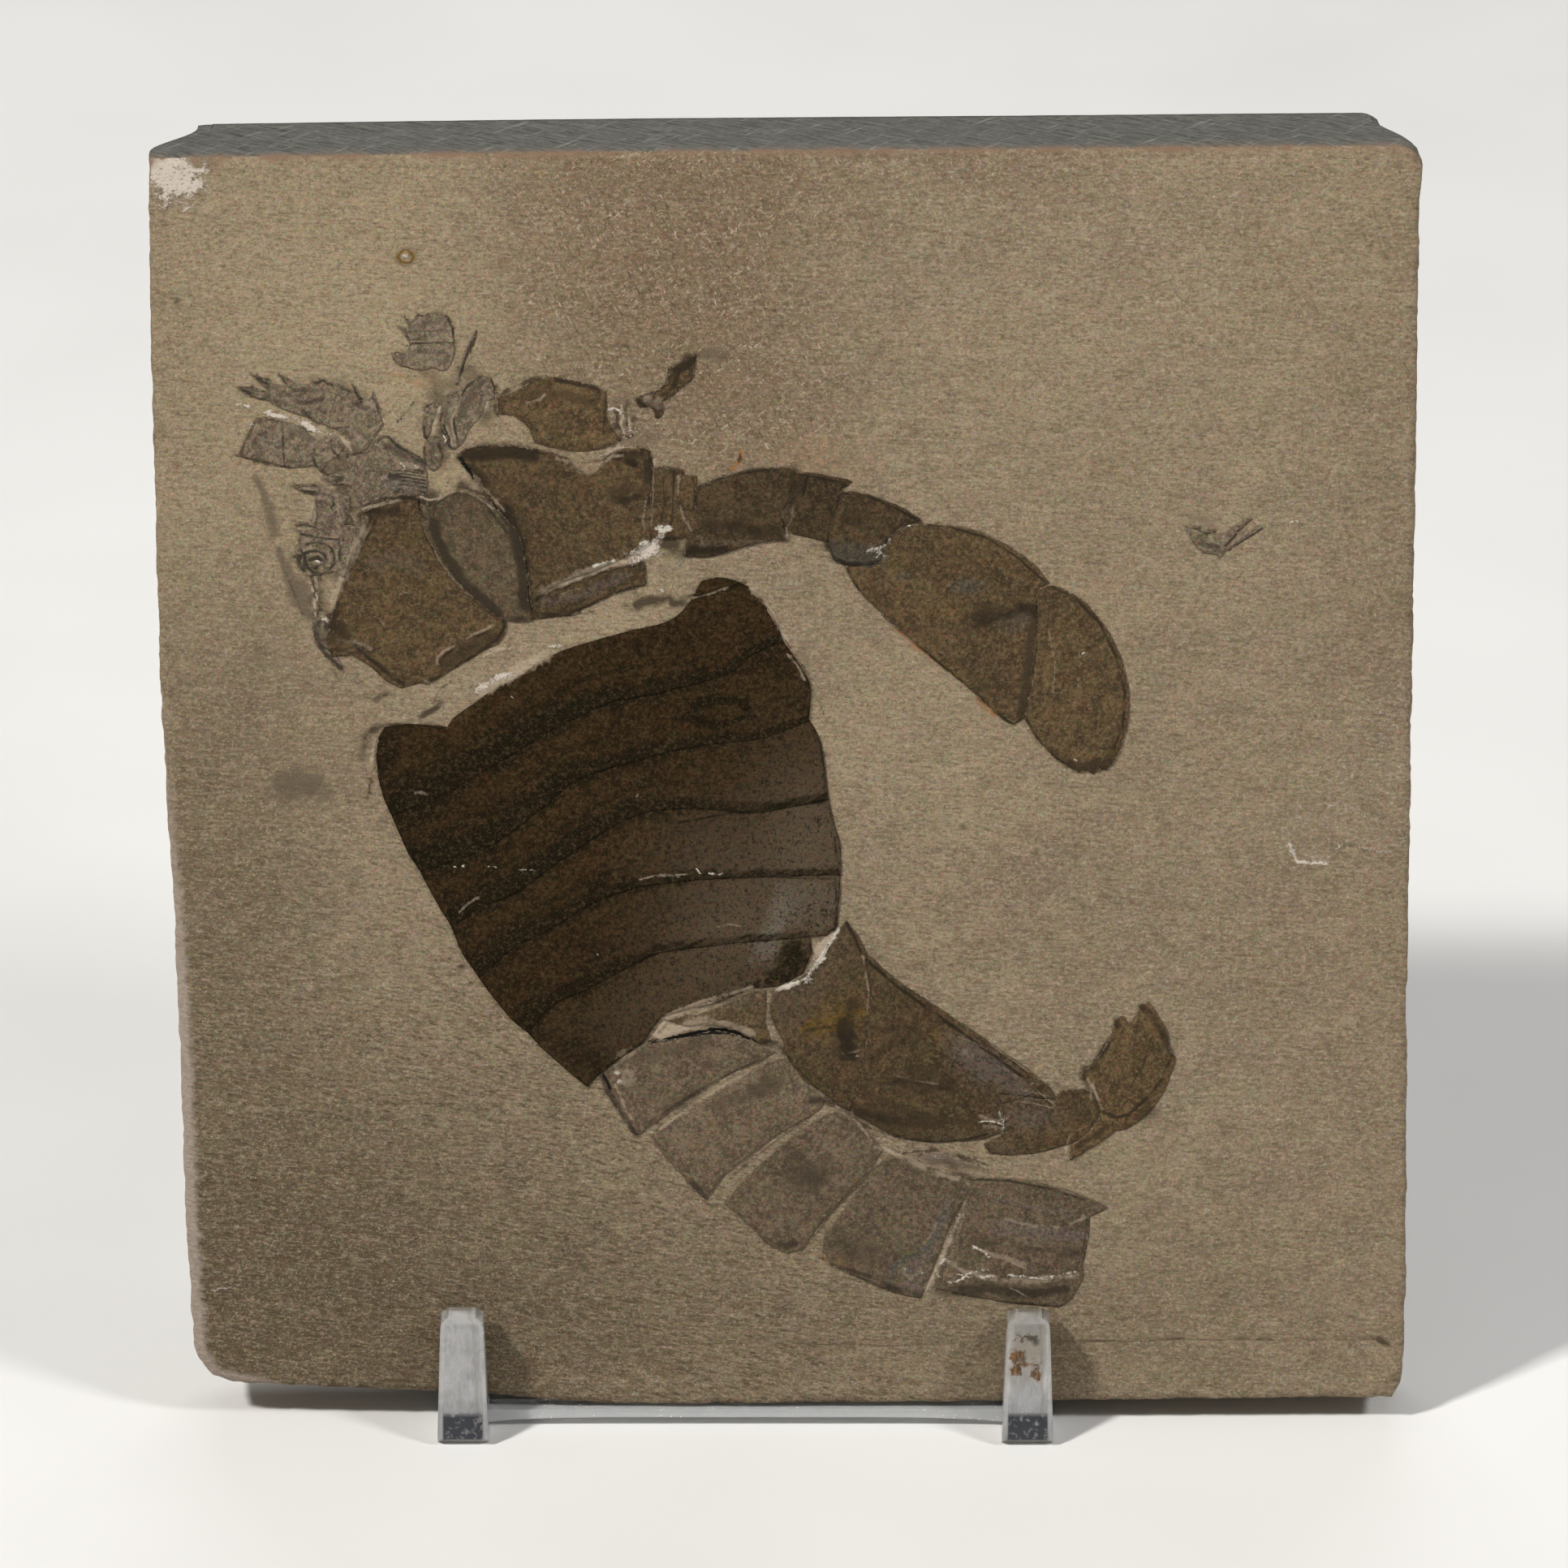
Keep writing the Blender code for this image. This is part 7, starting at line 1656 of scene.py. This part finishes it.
def plastic_material():
    """Clear plastic: milky on the prongs' fronts, with painted highlights on the edges, painted shade, dark
    feet, dirt and rusty specks.
    """
    graph = Graph("clear_plastic_visual")
    haze = graph.noise(2.6, 4.0, 0.65)
    scratch = graph.noise((0.30, 0.30, 5.0), 3.0, 0.7)
    specks = graph.noise(0.7, 3.0, 0.7)
    milky = graph.mix(graph.spread(haze, 0.38, 0.62), (0.50, 0.50, 0.49), (0.70, 0.695, 0.705))
    milky = graph.mix(graph.spread(scratch, 0.46, 0.62, 0.0, 0.6), milky, (0.80, 0.79, 0.79))
    # Painted shade: the 'shade' values turn the milky front tan grey on the flat tops, on a line inside each
    # prong's right edge, and where the stone shows through the right prong
    milky = graph.mix(graph.value_of("shade"), milky, (0.37, 0.34, 0.28))
    clear = graph.mix(graph.spread(haze, 0.38, 0.62), (0.86, 0.88, 0.885), (0.93, 0.94, 0.945))
    color = graph.mix(graph.value_of("front"), clear, milky)
    # Painted highlights: near-white mixed in along the prongs' edges, under their tops, along their bottoms
    # and in glints
    rim = graph.math("MULTIPLY", graph.value_of("painted_highlight"), graph.spread(haze, 0.30, 0.55, 0.35, 1.0))
    color = graph.mix(rim, color, (0.97, 0.95, 0.90))
    foot = graph.value_of("foot")
    deep = graph.math("MULTIPLY", foot, graph.spread(specks, 0.64, 0.54, 0.45, 1.0))
    color = graph.mix(deep, color, (0.008, 0.017, 0.036))
    dirt = graph.math("ADD", graph.value_of("dirt"), graph.spread(specks, 0.38, 0.62, -0.6, 0.4))
    in_dirt = graph.spread(graph.value_of("dirt"), 0.02, 0.25)
    dirt = graph.math("MULTIPLY", graph.spread(dirt, 0.15, 0.65), in_dirt)
    stain = graph.math("MULTIPLY", graph.value_of("stain"), graph.spread(haze, 0.35, 0.55, 0.3, 1.0))
    color = graph.mix(stain, color, (0.40, 0.30, 0.10))
    rusty = graph.mix(graph.spread(scratch, 0.42, 0.58), (0.075, 0.030, 0.006), (0.33, 0.125, 0.010))
    color = graph.mix(dirt, color, rusty)
    color = graph.mix(graph.value_of("speck"), color, (0.05, 0.045, 0.03))
    graph.link(color, graph.shader.inputs["Base Color"])
    rough = graph.math("MAXIMUM", graph.spread(haze, 0.3, 0.7, 0.12, 0.30), graph.math("MULTIPLY", dirt, 0.7))
    graph.link(rough, graph.shader.inputs["Roughness"])
    graph.shader.inputs["IOR"].default_value = 1.49
    graph.shader.inputs["Transmission Weight"].default_value = 0.62
    graph.shader.inputs["Coat Weight"].default_value = 0.5
    graph.shader.inputs["Coat Roughness"].default_value = 0.10
    graph.bump([(haze, 0.08), (scratch, 0.03)])
    return graph.material


def floor_material():
    """A plain pale floor, faintly mottled."""
    graph = Graph("pale_floor")
    soft = graph.noise(60.0, 2.0, 0.5)
    color = graph.mix(graph.spread(soft, 0.3, 0.7), (0.70, 0.69, 0.67), (0.74, 0.73, 0.71))
    graph.link(color, graph.shader.inputs["Base Color"])
    graph.shader.inputs["Roughness"].default_value = 0.85
    return graph.material


# The slab
EDGE_PITCH_MM = 0.62
FACE_PITCH_MM = 0.72
BACK_PITCH_MM = 1.6
SIDE_DEPTHS_MM = (0.3, 0.8, 1.6, 2.5, 3.4, 4.3, 5.2, 6.1, 7.0, 7.9, 8.8, 9.7, 10.5, 11.3, THICKNESS_MM)
# The sawn top edge, as picture points
TOP_LINE = [(183, 193), (700, 186), (1200, 182), (1726, 178)]


def below_top(points):
    """How far points of the face lie below the slab's top edge, in mm."""
    line = np.array(picture(TOP_LINE))
    return np.interp(points[:, 0], line[:, 0], line[:, 1]) - points[:, 1]


def back_corner_shift(points, share):
    """The slab's back, whose broken upper corners are cut away more and more with depth."""
    left, right, top = points[:, 0].min(), points[:, 0].max(), points[:, 1].max()
    moved = points.copy()
    near_top = smoothstep((points[:, 1] - (top - 9.5)) / 4.0)
    near_left = smoothstep((left + 7.0 - points[:, 0]) / 4.0)
    near_right = smoothstep((points[:, 0] - (right - 7.0)) / 4.0)
    moved[:, 0] += share * near_top * (5.0 * near_left - 3.6 * near_right)
    return moved


def nearest_points(points, outline):
    """The point of the outline that is nearest to each of the points."""
    away = ((points[:, None, :] - outline[None, :, :]) ** 2).sum(axis=2)
    return outline[away.argmin(axis=1)]


def build_slab():
    """The slab as one closed body: fine relief on its face, sawn top, broken sides and plain back."""
    outline = smooth_outline(picture(SLAB_OUTLINE), EDGE_PITCH_MM, 0.0, 3)
    up = outline[:, 1]
    on_top = smoothstep((1.6 - below_top(outline)) / 0.8)
    chips = np.clip(0.4 + 0.5 * noise_2d(outline, 2.6, 41) + 0.35 * noise_2d(outline, 0.9, 42), 0.0, 1.4)
    lower_left = smoothstep((-outline[:, 0] - 58.0) / 6.0) * smoothstep((16.0 - up) / 50.0)
    shrink = 0.22 + 0.26 * chips * (1 - 0.6 * on_top) + 0.75 * lower_left
    first = outline + inward_normals(outline) * shrink[:, None]
    extra = stroke_points(first, 0.12, 0.1, 0.22)
    inner = scatter(first, FACE_PITCH_MM, 5)
    points, faces = triangulated(first, np.vstack([extra, thin_out(inner, 0.30, extra)]))
    loop = boundary_loop(faces)
    marks, rise = marks_at(points, STONE_KINDS)
    low = smoothstep((20.0 - points[:, 1]) / 80.0) * smoothstep((60.0 - points[:, 0]) / 90.0)
    height = (
        -0.06 + 0.04 * noise_2d(points, 1.1, 51) + 0.05 * noise_2d(points, 3.0, 52)
        + 0.05 * noise_2d(points, 9.0, 53) + 0.05 * low * noise_2d(points * (0.5, 1.6), 1.4, 54)
        + np.clip(rise, -0.15, 0.06) + 0.05 * marks["white"]
    )
    height = np.minimum(height, 0.0)
    verts = [np.column_stack([points, height])]
    rim = nearest_points(points[loop], outline)
    rim_top = smoothstep((1.6 - below_top(rim)) / 0.8)
    side_worn = smoothstep((-rim[:, 0] - 58.0) / 6.0) * smoothstep((20.0 - rim[:, 1]) / 50.0)
    values = {key: [data] for key, data in marks.items()}
    near_edge = distance_to_path(points, first, closed=True)
    left_low = smoothstep((-points[:, 0] - 56.0) / 6.0) * smoothstep((20.0 - points[:, 1]) / 50.0)
    values["sawn"] = [np.zeros(len(points))]
    values["low"] = [low]
    values["arris"] = [np.exp(-near_edge / 0.4) * smoothstep((2.0 - below_top(points)) / 1.0)]
    values["worn"] = [0.9 * left_low * smoothstep((0.22 - near_edge) / 0.2)]
    start = len(points)
    size = len(loop)
    sides = []
    previous = list(loop)
    for depth in SIDE_DEPTHS_MM:
        share = depth / THICKNESS_MM
        coarse = 0.16 * noise_2d(rim + depth * 1.3, 2.2, 61)
        fine = 0.12 * noise_2d(rim - depth * 2.1, 0.9, 62)
        rough = np.clip(0.10 + coarse + fine, 0.0, 0.6) * (1 - 0.93 * rim_top)
        back_chamfer = 1.5 * smoothstep((depth - (THICKNESS_MM - 1.3)) / 1.3)
        rise = 0.42 * share * rim_top
        front_round = 0.18 * smoothstep((0.8 - depth) / 0.8)
        amount = rough + back_chamfer * (1 - 0.95 * rim_top) + front_round - rise
        ring = rim + inward_normals(rim) * amount[:, None]
        ring = back_corner_shift(ring, smoothstep((share - 0.15) / 0.75))
        verts.append(np.column_stack([ring, np.full(size, -depth)]))
        now = list(range(start, start + size))
        sides += [(previous[i], now[i], now[(i + 1) % size], previous[(i + 1) % size]) for i in range(size)]
        for key in STONE_KINDS:
            values[key].append(np.zeros(size))
        values["sawn"].append(rim_top)
        values["low"].append(np.full(size, 0.5))
        values["arris"].append(np.full(size, math.exp(-depth / 0.5)) * rim_top)
        values["worn"].append(side_worn * math.exp(-depth / 2.5))
        previous = now
        start += size
    back_ring = verts[-1][:, :2]
    flat, back_faces = triangulated(back_ring, scatter(back_ring, BACK_PITCH_MM, 9))
    inner_count = len(flat) - size
    back_relief = 0.12 + 0.10 * noise_2d(flat[size:], 4.0, 81) + 0.05 * noise_2d(flat[size:], 1.9, 82)
    back_height = -THICKNESS_MM + back_relief
    verts.append(np.column_stack([flat[size:], np.maximum(back_height, -THICKNESS_MM + 0.01)]))
    base = start - size
    for key in values:
        values[key].append(np.full(inner_count, 0.5 if key == "low" else 0.0))
    back = [tuple(base + i for i in face[::-1]) for face in back_faces]
    values = {key: np.concatenate(parts) for key, parts in values.items()}
    obj = new_object("slab_visual", np.vstack(verts), faces + sides + back, stone_material(), values)
    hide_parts("slab")
    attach(obj, "root")
    return obj


# The fossil. Tones are brighter or darker than the material, one for each piece of a group.
TAIL_TONES = (1.0, 1.12, 0.98, 0.95, 0.92)
TAIL_GROWTH_MM = (0.05, 0.05, 0.1, 0.18, 0.18)
LEG_BASE_TONES = (0.94, 1.0, 0.85, 0.75, 1.03)
LEG_BASE_TOP_MM = {"metastoma": 0.17, "right_coxa": 0.11}
LEG_BASE_GROWTH_MM = {"metastoma": 0.38, "right_coxa": 0.2, "left_coxa": 0.25, "coxa_rim": 0.15}
SWIMMING_LEG_TONES = (0.82, 0.60, 0.56, 0.66)
PADDLE_TONES = (0.95, 1.0)
SECOND_PADDLE_TONES = (0.79, 0.77, 0.84, 1.08)


def build_fossil():
    """Every plate, leg piece and paddle as a thin sheet with its own relief, tone and marks."""
    trunk = cuticle_material(
        "dark_cuticle_visual", (0.027, 0.0150, 0.0056), (0.037, 0.0205, 0.0076), (0.011, 0.0075, 0.0033),
        (0.068, 0.044, 0.022), (0.0070, 0.0060, 0.0026), 0.03, 0.0)
    brown = cuticle_material(
        "brown_cuticle_visual", (0.080, 0.050, 0.0225), (0.106, 0.067, 0.030), (0.035, 0.0230, 0.0105),
        (0.172, 0.119, 0.065), (0.018, 0.012, 0.006))
    olive = cuticle_material(
        "olive_cuticle_visual", (0.090, 0.064, 0.036), (0.104, 0.072, 0.040), (0.046, 0.033, 0.019),
        (0.165, 0.125, 0.080), (0.022, 0.016, 0.009))
    tail = cuticle_material(
        "grey_cuticle_visual", (0.104, 0.074, 0.045), (0.132, 0.096, 0.060), (0.055, 0.039, 0.024),
        (0.205, 0.155, 0.105), (0.026, 0.019, 0.012))
    legs = cuticle_material(
        "leg_cuticle_visual", (0.150, 0.114, 0.076), (0.190, 0.148, 0.100), (0.070, 0.052, 0.034),
        (0.30, 0.235, 0.165), (0.024, 0.018, 0.012))

    for number, outline in enumerate(TRUNK_PLATES, 1):
        steps = []
        if number <= len(OVERLAPS):
            steps.append((OVERLAPS[number - 1], 0.07, 0.8))
        if number >= 2:
            steps.append((OVERLAPS[number - 2], -0.05, 0.6))
        plate(f"trunk_{number}", picture(outline), f"trunk_plate_{number}", trunk,
              top=0.16, crown=0.0, wrinkle=0.04, rough=0.05, seed=100 + number, steps=steps, grow=0.12)
    plate("trunk_7", picture(LAST_TRUNK_PLATE), "trunk_plate_7", brown, seed=108)
    for i, (name, outline) in enumerate(TAIL.items()):
        plate(name + "_visual", picture(outline), name, tail, top=0.05, crown=0.10,
              wrinkle=0.04, seed=120 + i, tone=TAIL_TONES[i], grow=TAIL_GROWTH_MM[i])
    for i, (name, outline) in enumerate(LEG_BASES.items()):
        material = olive if name == "metastoma" else brown
        plate(name + "_visual", picture(outline), name, material,
              top=LEG_BASE_TOP_MM.get(name, 0.07), wrinkle=0.03, seed=130 + i,
              grow=LEG_BASE_GROWTH_MM.get(name, 0.0), tone=LEG_BASE_TONES[i])
    plate("hooked_leg_visual", from_view(HOOK_VIEW, HOOKED_LEG), "hooked_leg", brown,
          wrinkle=0.03, seed=135, pitch=0.22, tone=0.9)
    for i, (name, outline) in enumerate(SWIMMING_LEG.items()):
        plate(name + "_visual", picture(outline), name, brown, top=0.06 + 0.04 * (i % 2),
              wrinkle=0.04, seed=140 + i, grow=0.25, tone=SWIMMING_LEG_TONES[i])
    for i, (name, outline) in enumerate(PADDLE.items()):
        plate(name + "_visual", picture(outline), name, brown, top=0.06 + 0.06 * i,
              wrinkle=0.03, seed=150 + i, grow=0.12, tone=PADDLE_TONES[i])
    for i, (name, outline) in enumerate(SECOND_PADDLE.items()):
        plate(name + "_visual", picture(outline), name, brown, top=0.08 + 0.05 * (i % 2),
              crown=0.10, wrinkle=0.05, seed=160 + i, grow=0.18, tone=SECOND_PADDLE_TONES[i])
    claws = {name: from_view(CLAW_VIEW, outline) for name, outline in CLAW_OUTLINES.items()}
    for i, (name, outline) in enumerate({**SPINY_LEG, **LEG_PIECES, **claws}.items()):
        fine = 0.16 if name in ("needle", "small_claw", "loose_fragment") else 0.20
        plate(name + "_visual", outline, name, legs, top=0.05, crown=0.05, wrinkle=0.05,
              rough=0.06, seed=170 + i, pitch=fine, tone=0.94)


# The easel. The middles of the prongs, as picture points on the slab's lower edge
LEFT_PRONG = (572, 1721)
RIGHT_PRONG = (1265, 1730)
PRONG_HALF_MM = 2.75
PRONG_TOP_HALF_MM = 2.45
PRONG_REACH_MM = 3.4
CORNER_MM = 0.9
PRONG_FRONT_MM = 4.9
PRONG_TOP_MM = 15.4
FOOT_TOP_MM = 4.6
FOOT_FADE_MM = 0.7
BEVEL_M = 0.0006
# Extra loops for the colours: level with the floor, close under the prongs' tops, and upright
LEVEL_LOOPS_M = [0.0003 * step for step in range(1, 49)]
TOP_LOOPS_BELOW_MM = (0.12, 0.24, 0.36, 0.5, 0.64, 0.78)
UPRIGHT_LOOPS_MM = [0.22 * step for step in range(-12, 13)]
# Spots on the right prong: picture point, half width and half height in millimetres, strength
DIRT = [
    ((1252, 1667), 0.75, 0.95, 1.0), ((1251, 1683), 0.6, 0.9, 0.9), ((1275, 1690), 0.6, 0.85, 0.95),
    ((1262, 1648), 1.6, 0.6, 0.4), ((1266, 1676), 1.4, 0.5, 0.35),
]
SPECKS = [((1270, 1647), 0.6, 0.3, 1.0), ((1275, 1651), 0.35, 0.4, 0.9), ((1260, 1671), 0.3, 0.3, 0.7)]
STAIN = [((1266, 1664), 1.5, 2.0, 0.4), ((1258, 1690), 1.0, 1.4, 0.3)]
# Painted highlights on the right prong
GLINTS = [
    ((1241, 1703), 0.16, 1.0, 0.9), ((1286, 1702), 0.16, 1.1, 0.8), ((1273, 1756), 0.14, 1.3, 0.7),
    ((1246, 1640), 0.14, 1.6, 0.5),
]


def spots_at(points, spots):
    """The strength of soft spots given as picture points on the prongs' front."""
    found = np.zeros(len(points))
    for point, wide, high, strength in spots:
        right, up = on_face(point)
        up += PRONG_FRONT_MM * math.tan(VIEW_TILT)
        away = np.hypot((points[:, 0] - right) / wide, (points[:, 1] - up) / high)
        found = np.maximum(found, strength * smoothstep(1.6 - away))
    return found


def cut_across(shape, axis, places):
    """Extra edge loops of a mesh at the given places along one axis, in metres."""
    normal = Vector([1.0 if i == axis else 0.0 for i in range(3)])
    for place in places:
        everything = shape.verts[:] + shape.edges[:] + shape.faces[:]
        bmesh.ops.bisect_plane(shape, geom=everything, dist=1e-7, plane_co=normal * place, plane_no=normal)


def easel_mesh(middles):
    """The easel's own shape with rounded edges, and with extra loops where the prongs' colours change."""
    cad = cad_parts["easel"]
    shape = bmesh.new()
    shape.from_mesh(cad.data)
    shape.transform(cad.matrix_world)
    bmesh.ops.remove_doubles(shape, verts=shape.verts, dist=2e-6)
    bmesh.ops.dissolve_limit(shape, angle_limit=math.radians(1.0), verts=shape.verts, edges=shape.edges)
    sharp = [edge for edge in shape.edges if edge.is_manifold and edge.calc_face_angle() > math.radians(20)]
    bmesh.ops.bevel(shape, geom=sharp, offset=BEVEL_M, offset_type="OFFSET", segments=3, profile=0.5,
                    affect="EDGES", clamp_overlap=True)
    bmesh.ops.triangulate(shape, faces=shape.faces)
    cut_across(shape, 2, LEVEL_LOOPS_M)
    cut_across(shape, 2, [(PRONG_TOP_MM - drop) / 1000 for drop in TOP_LOOPS_BELOW_MM])
    for middle in middles:
        cut_across(shape, 0, [(middle + aside) / 1000 for aside in UPRIGHT_LOOPS_MM])
    bmesh.ops.triangulate(shape, faces=shape.faces)
    mesh = bpy.data.meshes.new("easel_visual")
    shape.to_mesh(mesh)
    shape.free()
    return mesh


def build_easel():
    """The easel with a milky front, painted highlights and painted shade, dark feet and rust-coloured dirt on
    the right prong.
    """
    middles = [on_face(point)[0] + FACE_X_MM for point in (LEFT_PRONG, RIGHT_PRONG)]
    mesh = easel_mesh(middles)
    mesh.materials.append(plastic_material())
    mesh.polygons.foreach_set("use_smooth", [True] * len(mesh.polygons))
    places = np.array([tuple(vertex.co) for vertex in mesh.vertices]) * 1000
    points = np.array([tuple(FACE_TO_WORLD.inverted() @ vertex.co) for vertex in mesh.vertices])
    height = places[:, 2]
    in_front = points[:, 2] > 1.2
    from_left, from_right = places[:, 0] - middles[0], places[:, 0] - middles[1]
    near_left = np.abs(from_left) < np.abs(from_right)
    from_middle = np.where(near_left, from_left, from_right)
    on_prong = in_front * (np.abs(from_middle) < PRONG_REACH_MM)
    up_prong = height / PRONG_TOP_MM
    half = PRONG_HALF_MM - 0.5 * up_prong
    # Painted highlights: along the prongs' side edges (edge), under their tops (top), in glints and along
    # their bottom edge (bottom). flat_top is painted shade on the prongs' flat tops
    edge = np.exp(-((np.abs(from_middle) - half + 0.12) / 0.16) ** 2)
    top = 0.4 * smoothstep((height - PRONG_TOP_MM + 0.55) / 0.2) * smoothstep((points[:, 2] - 3.2) / 0.3)
    flat_top = smoothstep((height - PRONG_TOP_MM + 0.25) / 0.2) * smoothstep((3.5 - points[:, 2]) / 0.4)
    glints = spots_at(points, GLINTS) * in_front
    bottom = smoothstep((0.9 - height) / 0.3)
    inset = smoothstep((half - 0.25 - np.abs(from_middle)) / 0.2)
    # Painted shade: a dark line inside each prong's right edge (inner), and on the right prong's upper part
    # the stone seen through the plastic, painted
    inner = np.exp(-((from_middle - half + 0.9) / 0.22) ** 2)
    painted_see_through = smoothstep((up_prong - 0.45) / 0.5) * ~near_left
    values = {
        "front": on_prong.astype(float),
        "dirt": spots_at(points, DIRT) * in_front,
        "speck": spots_at(points, SPECKS) * in_front,
        "stain": spots_at(points, STAIN) * in_front,
        "painted_highlight": np.clip(np.maximum.reduce([0.55 * edge, top, bottom, glints]), 0, 1) * on_prong,
        "shade": np.clip(0.45 * inner + 0.55 * painted_see_through + 0.8 * flat_top, 0, 1) * on_prong,
        "foot": smoothstep((FOOT_TOP_MM - height) / FOOT_FADE_MM) * on_prong * (1 - bottom) * inset,
    }
    # The prongs' upper corners are rounded
    over = np.clip(height - (PRONG_TOP_MM - CORNER_MM), 0, CORNER_MM) / CORNER_MM
    narrower = 1 - CORNER_MM * (1 - np.sqrt(1 - over ** 2)) / PRONG_TOP_HALF_MM
    nearest = np.where(near_left, middles[0], middles[1])
    across = np.where(on_prong, nearest + from_middle * narrower, places[:, 0])
    for vertex, x in zip(mesh.vertices, across):
        vertex.co.x = float(x) / 1000
    for key, data in values.items():
        mesh.attributes.new(key, "FLOAT", "POINT").data.foreach_set("value", data.astype(np.float32))
    obj = bpy.data.objects.new("easel_visual", mesh)
    bpy.context.scene.collection.objects.link(obj)
    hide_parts("easel")
    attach(obj, "root")
    return obj


# Room, light and camera
FLOOR_HALF_M = 6.0
WHITE = (1.0, 1.0, 1.0)
# Name, place and the point it faces in metres, width and height in metres, power in watts, colour
LIGHTS = [
    ("key", (-0.96, -0.72, 1.32), (0, 0, 0.07), (0.16, 0.16), 29.0, (1.0, 0.985, 0.95)),
    ("fill", (0.70, -0.40, 0.72), (0, 0, 0.07), (0.17, 0.17), 4.9, WHITE),
    ("back", (0.0, 0.75, 0.85), (0, 0, 0.08), (0.8, 0.4), 3.0, WHITE),
]
ROOM_COLOR = (0.80, 0.81, 0.83, 1.0)
ROOM_STRENGTH = 0.22
PICTURE_SIZE = 1932
SENSOR_MM = 36.0


def add_floor():
    """The floor that the easel stands on, which is stage and no part of the object."""
    mesh = bpy.data.meshes.new("floor")
    size = FLOOR_HALF_M
    corners = [(-size, -size, 0), (size, -size, 0), (size, size, 0), (-size, size, 0)]
    mesh.from_pydata(corners, [], [(0, 1, 2, 3)])
    mesh.materials.append(floor_material())
    floor = bpy.data.objects.new("floor", mesh)
    bpy.context.scene.collection.objects.link(floor)


def add_area(name, location, target, size, power, color):
    """A rectangular light that faces a point."""
    data = bpy.data.lights.new(name, "AREA")
    data.shape = "RECTANGLE"
    data.size, data.size_y = size
    data.energy = power
    data.color = color
    light = bpy.data.objects.new(name, data)
    light.location = location
    light.rotation_euler = (Vector(target) - Vector(location)).to_track_quat("-Z", "Y").to_euler()
    bpy.context.scene.collection.objects.link(light)


def add_lights():
    """The lights and the room's own soft light."""
    for light in LIGHTS:
        add_area(*light)
    world = bpy.data.worlds.new("room")
    world.use_nodes = True
    world.node_tree.nodes["Background"].inputs["Color"].default_value = ROOM_COLOR
    world.node_tree.nodes["Background"].inputs["Strength"].default_value = ROOM_STRENGTH
    bpy.context.scene.world = world


def add_camera():
    """The photo's camera, square to the picture's middle and tilted to the slab's face."""
    data = bpy.data.cameras.new("camera")
    data.sensor_width = SENSOR_MM
    data.lens = PICTURE_SCALE / PICTURE_SIZE * SENSOR_MM
    data.clip_start = 0.05
    data.clip_end = 50.0
    camera = bpy.data.objects.new("camera", data)
    away = Vector((0.0, math.sin(VIEW_TILT), math.cos(VIEW_TILT))) * VIEW_DISTANCE_MM
    location = FACE_TO_WORLD @ away
    target = FACE_TO_WORLD @ Vector((0.0, 0.0, 0.0))
    camera.location = location
    camera.rotation_euler = (target - location).to_track_quat("-Z", "Y").to_euler()
    bpy.context.scene.collection.objects.link(camera)
    bpy.context.scene.camera = camera
    bpy.context.scene.view_settings.view_transform = "Standard"


build_slab()
build_fossil()
build_easel()
add_floor()
add_lights()
add_camera()
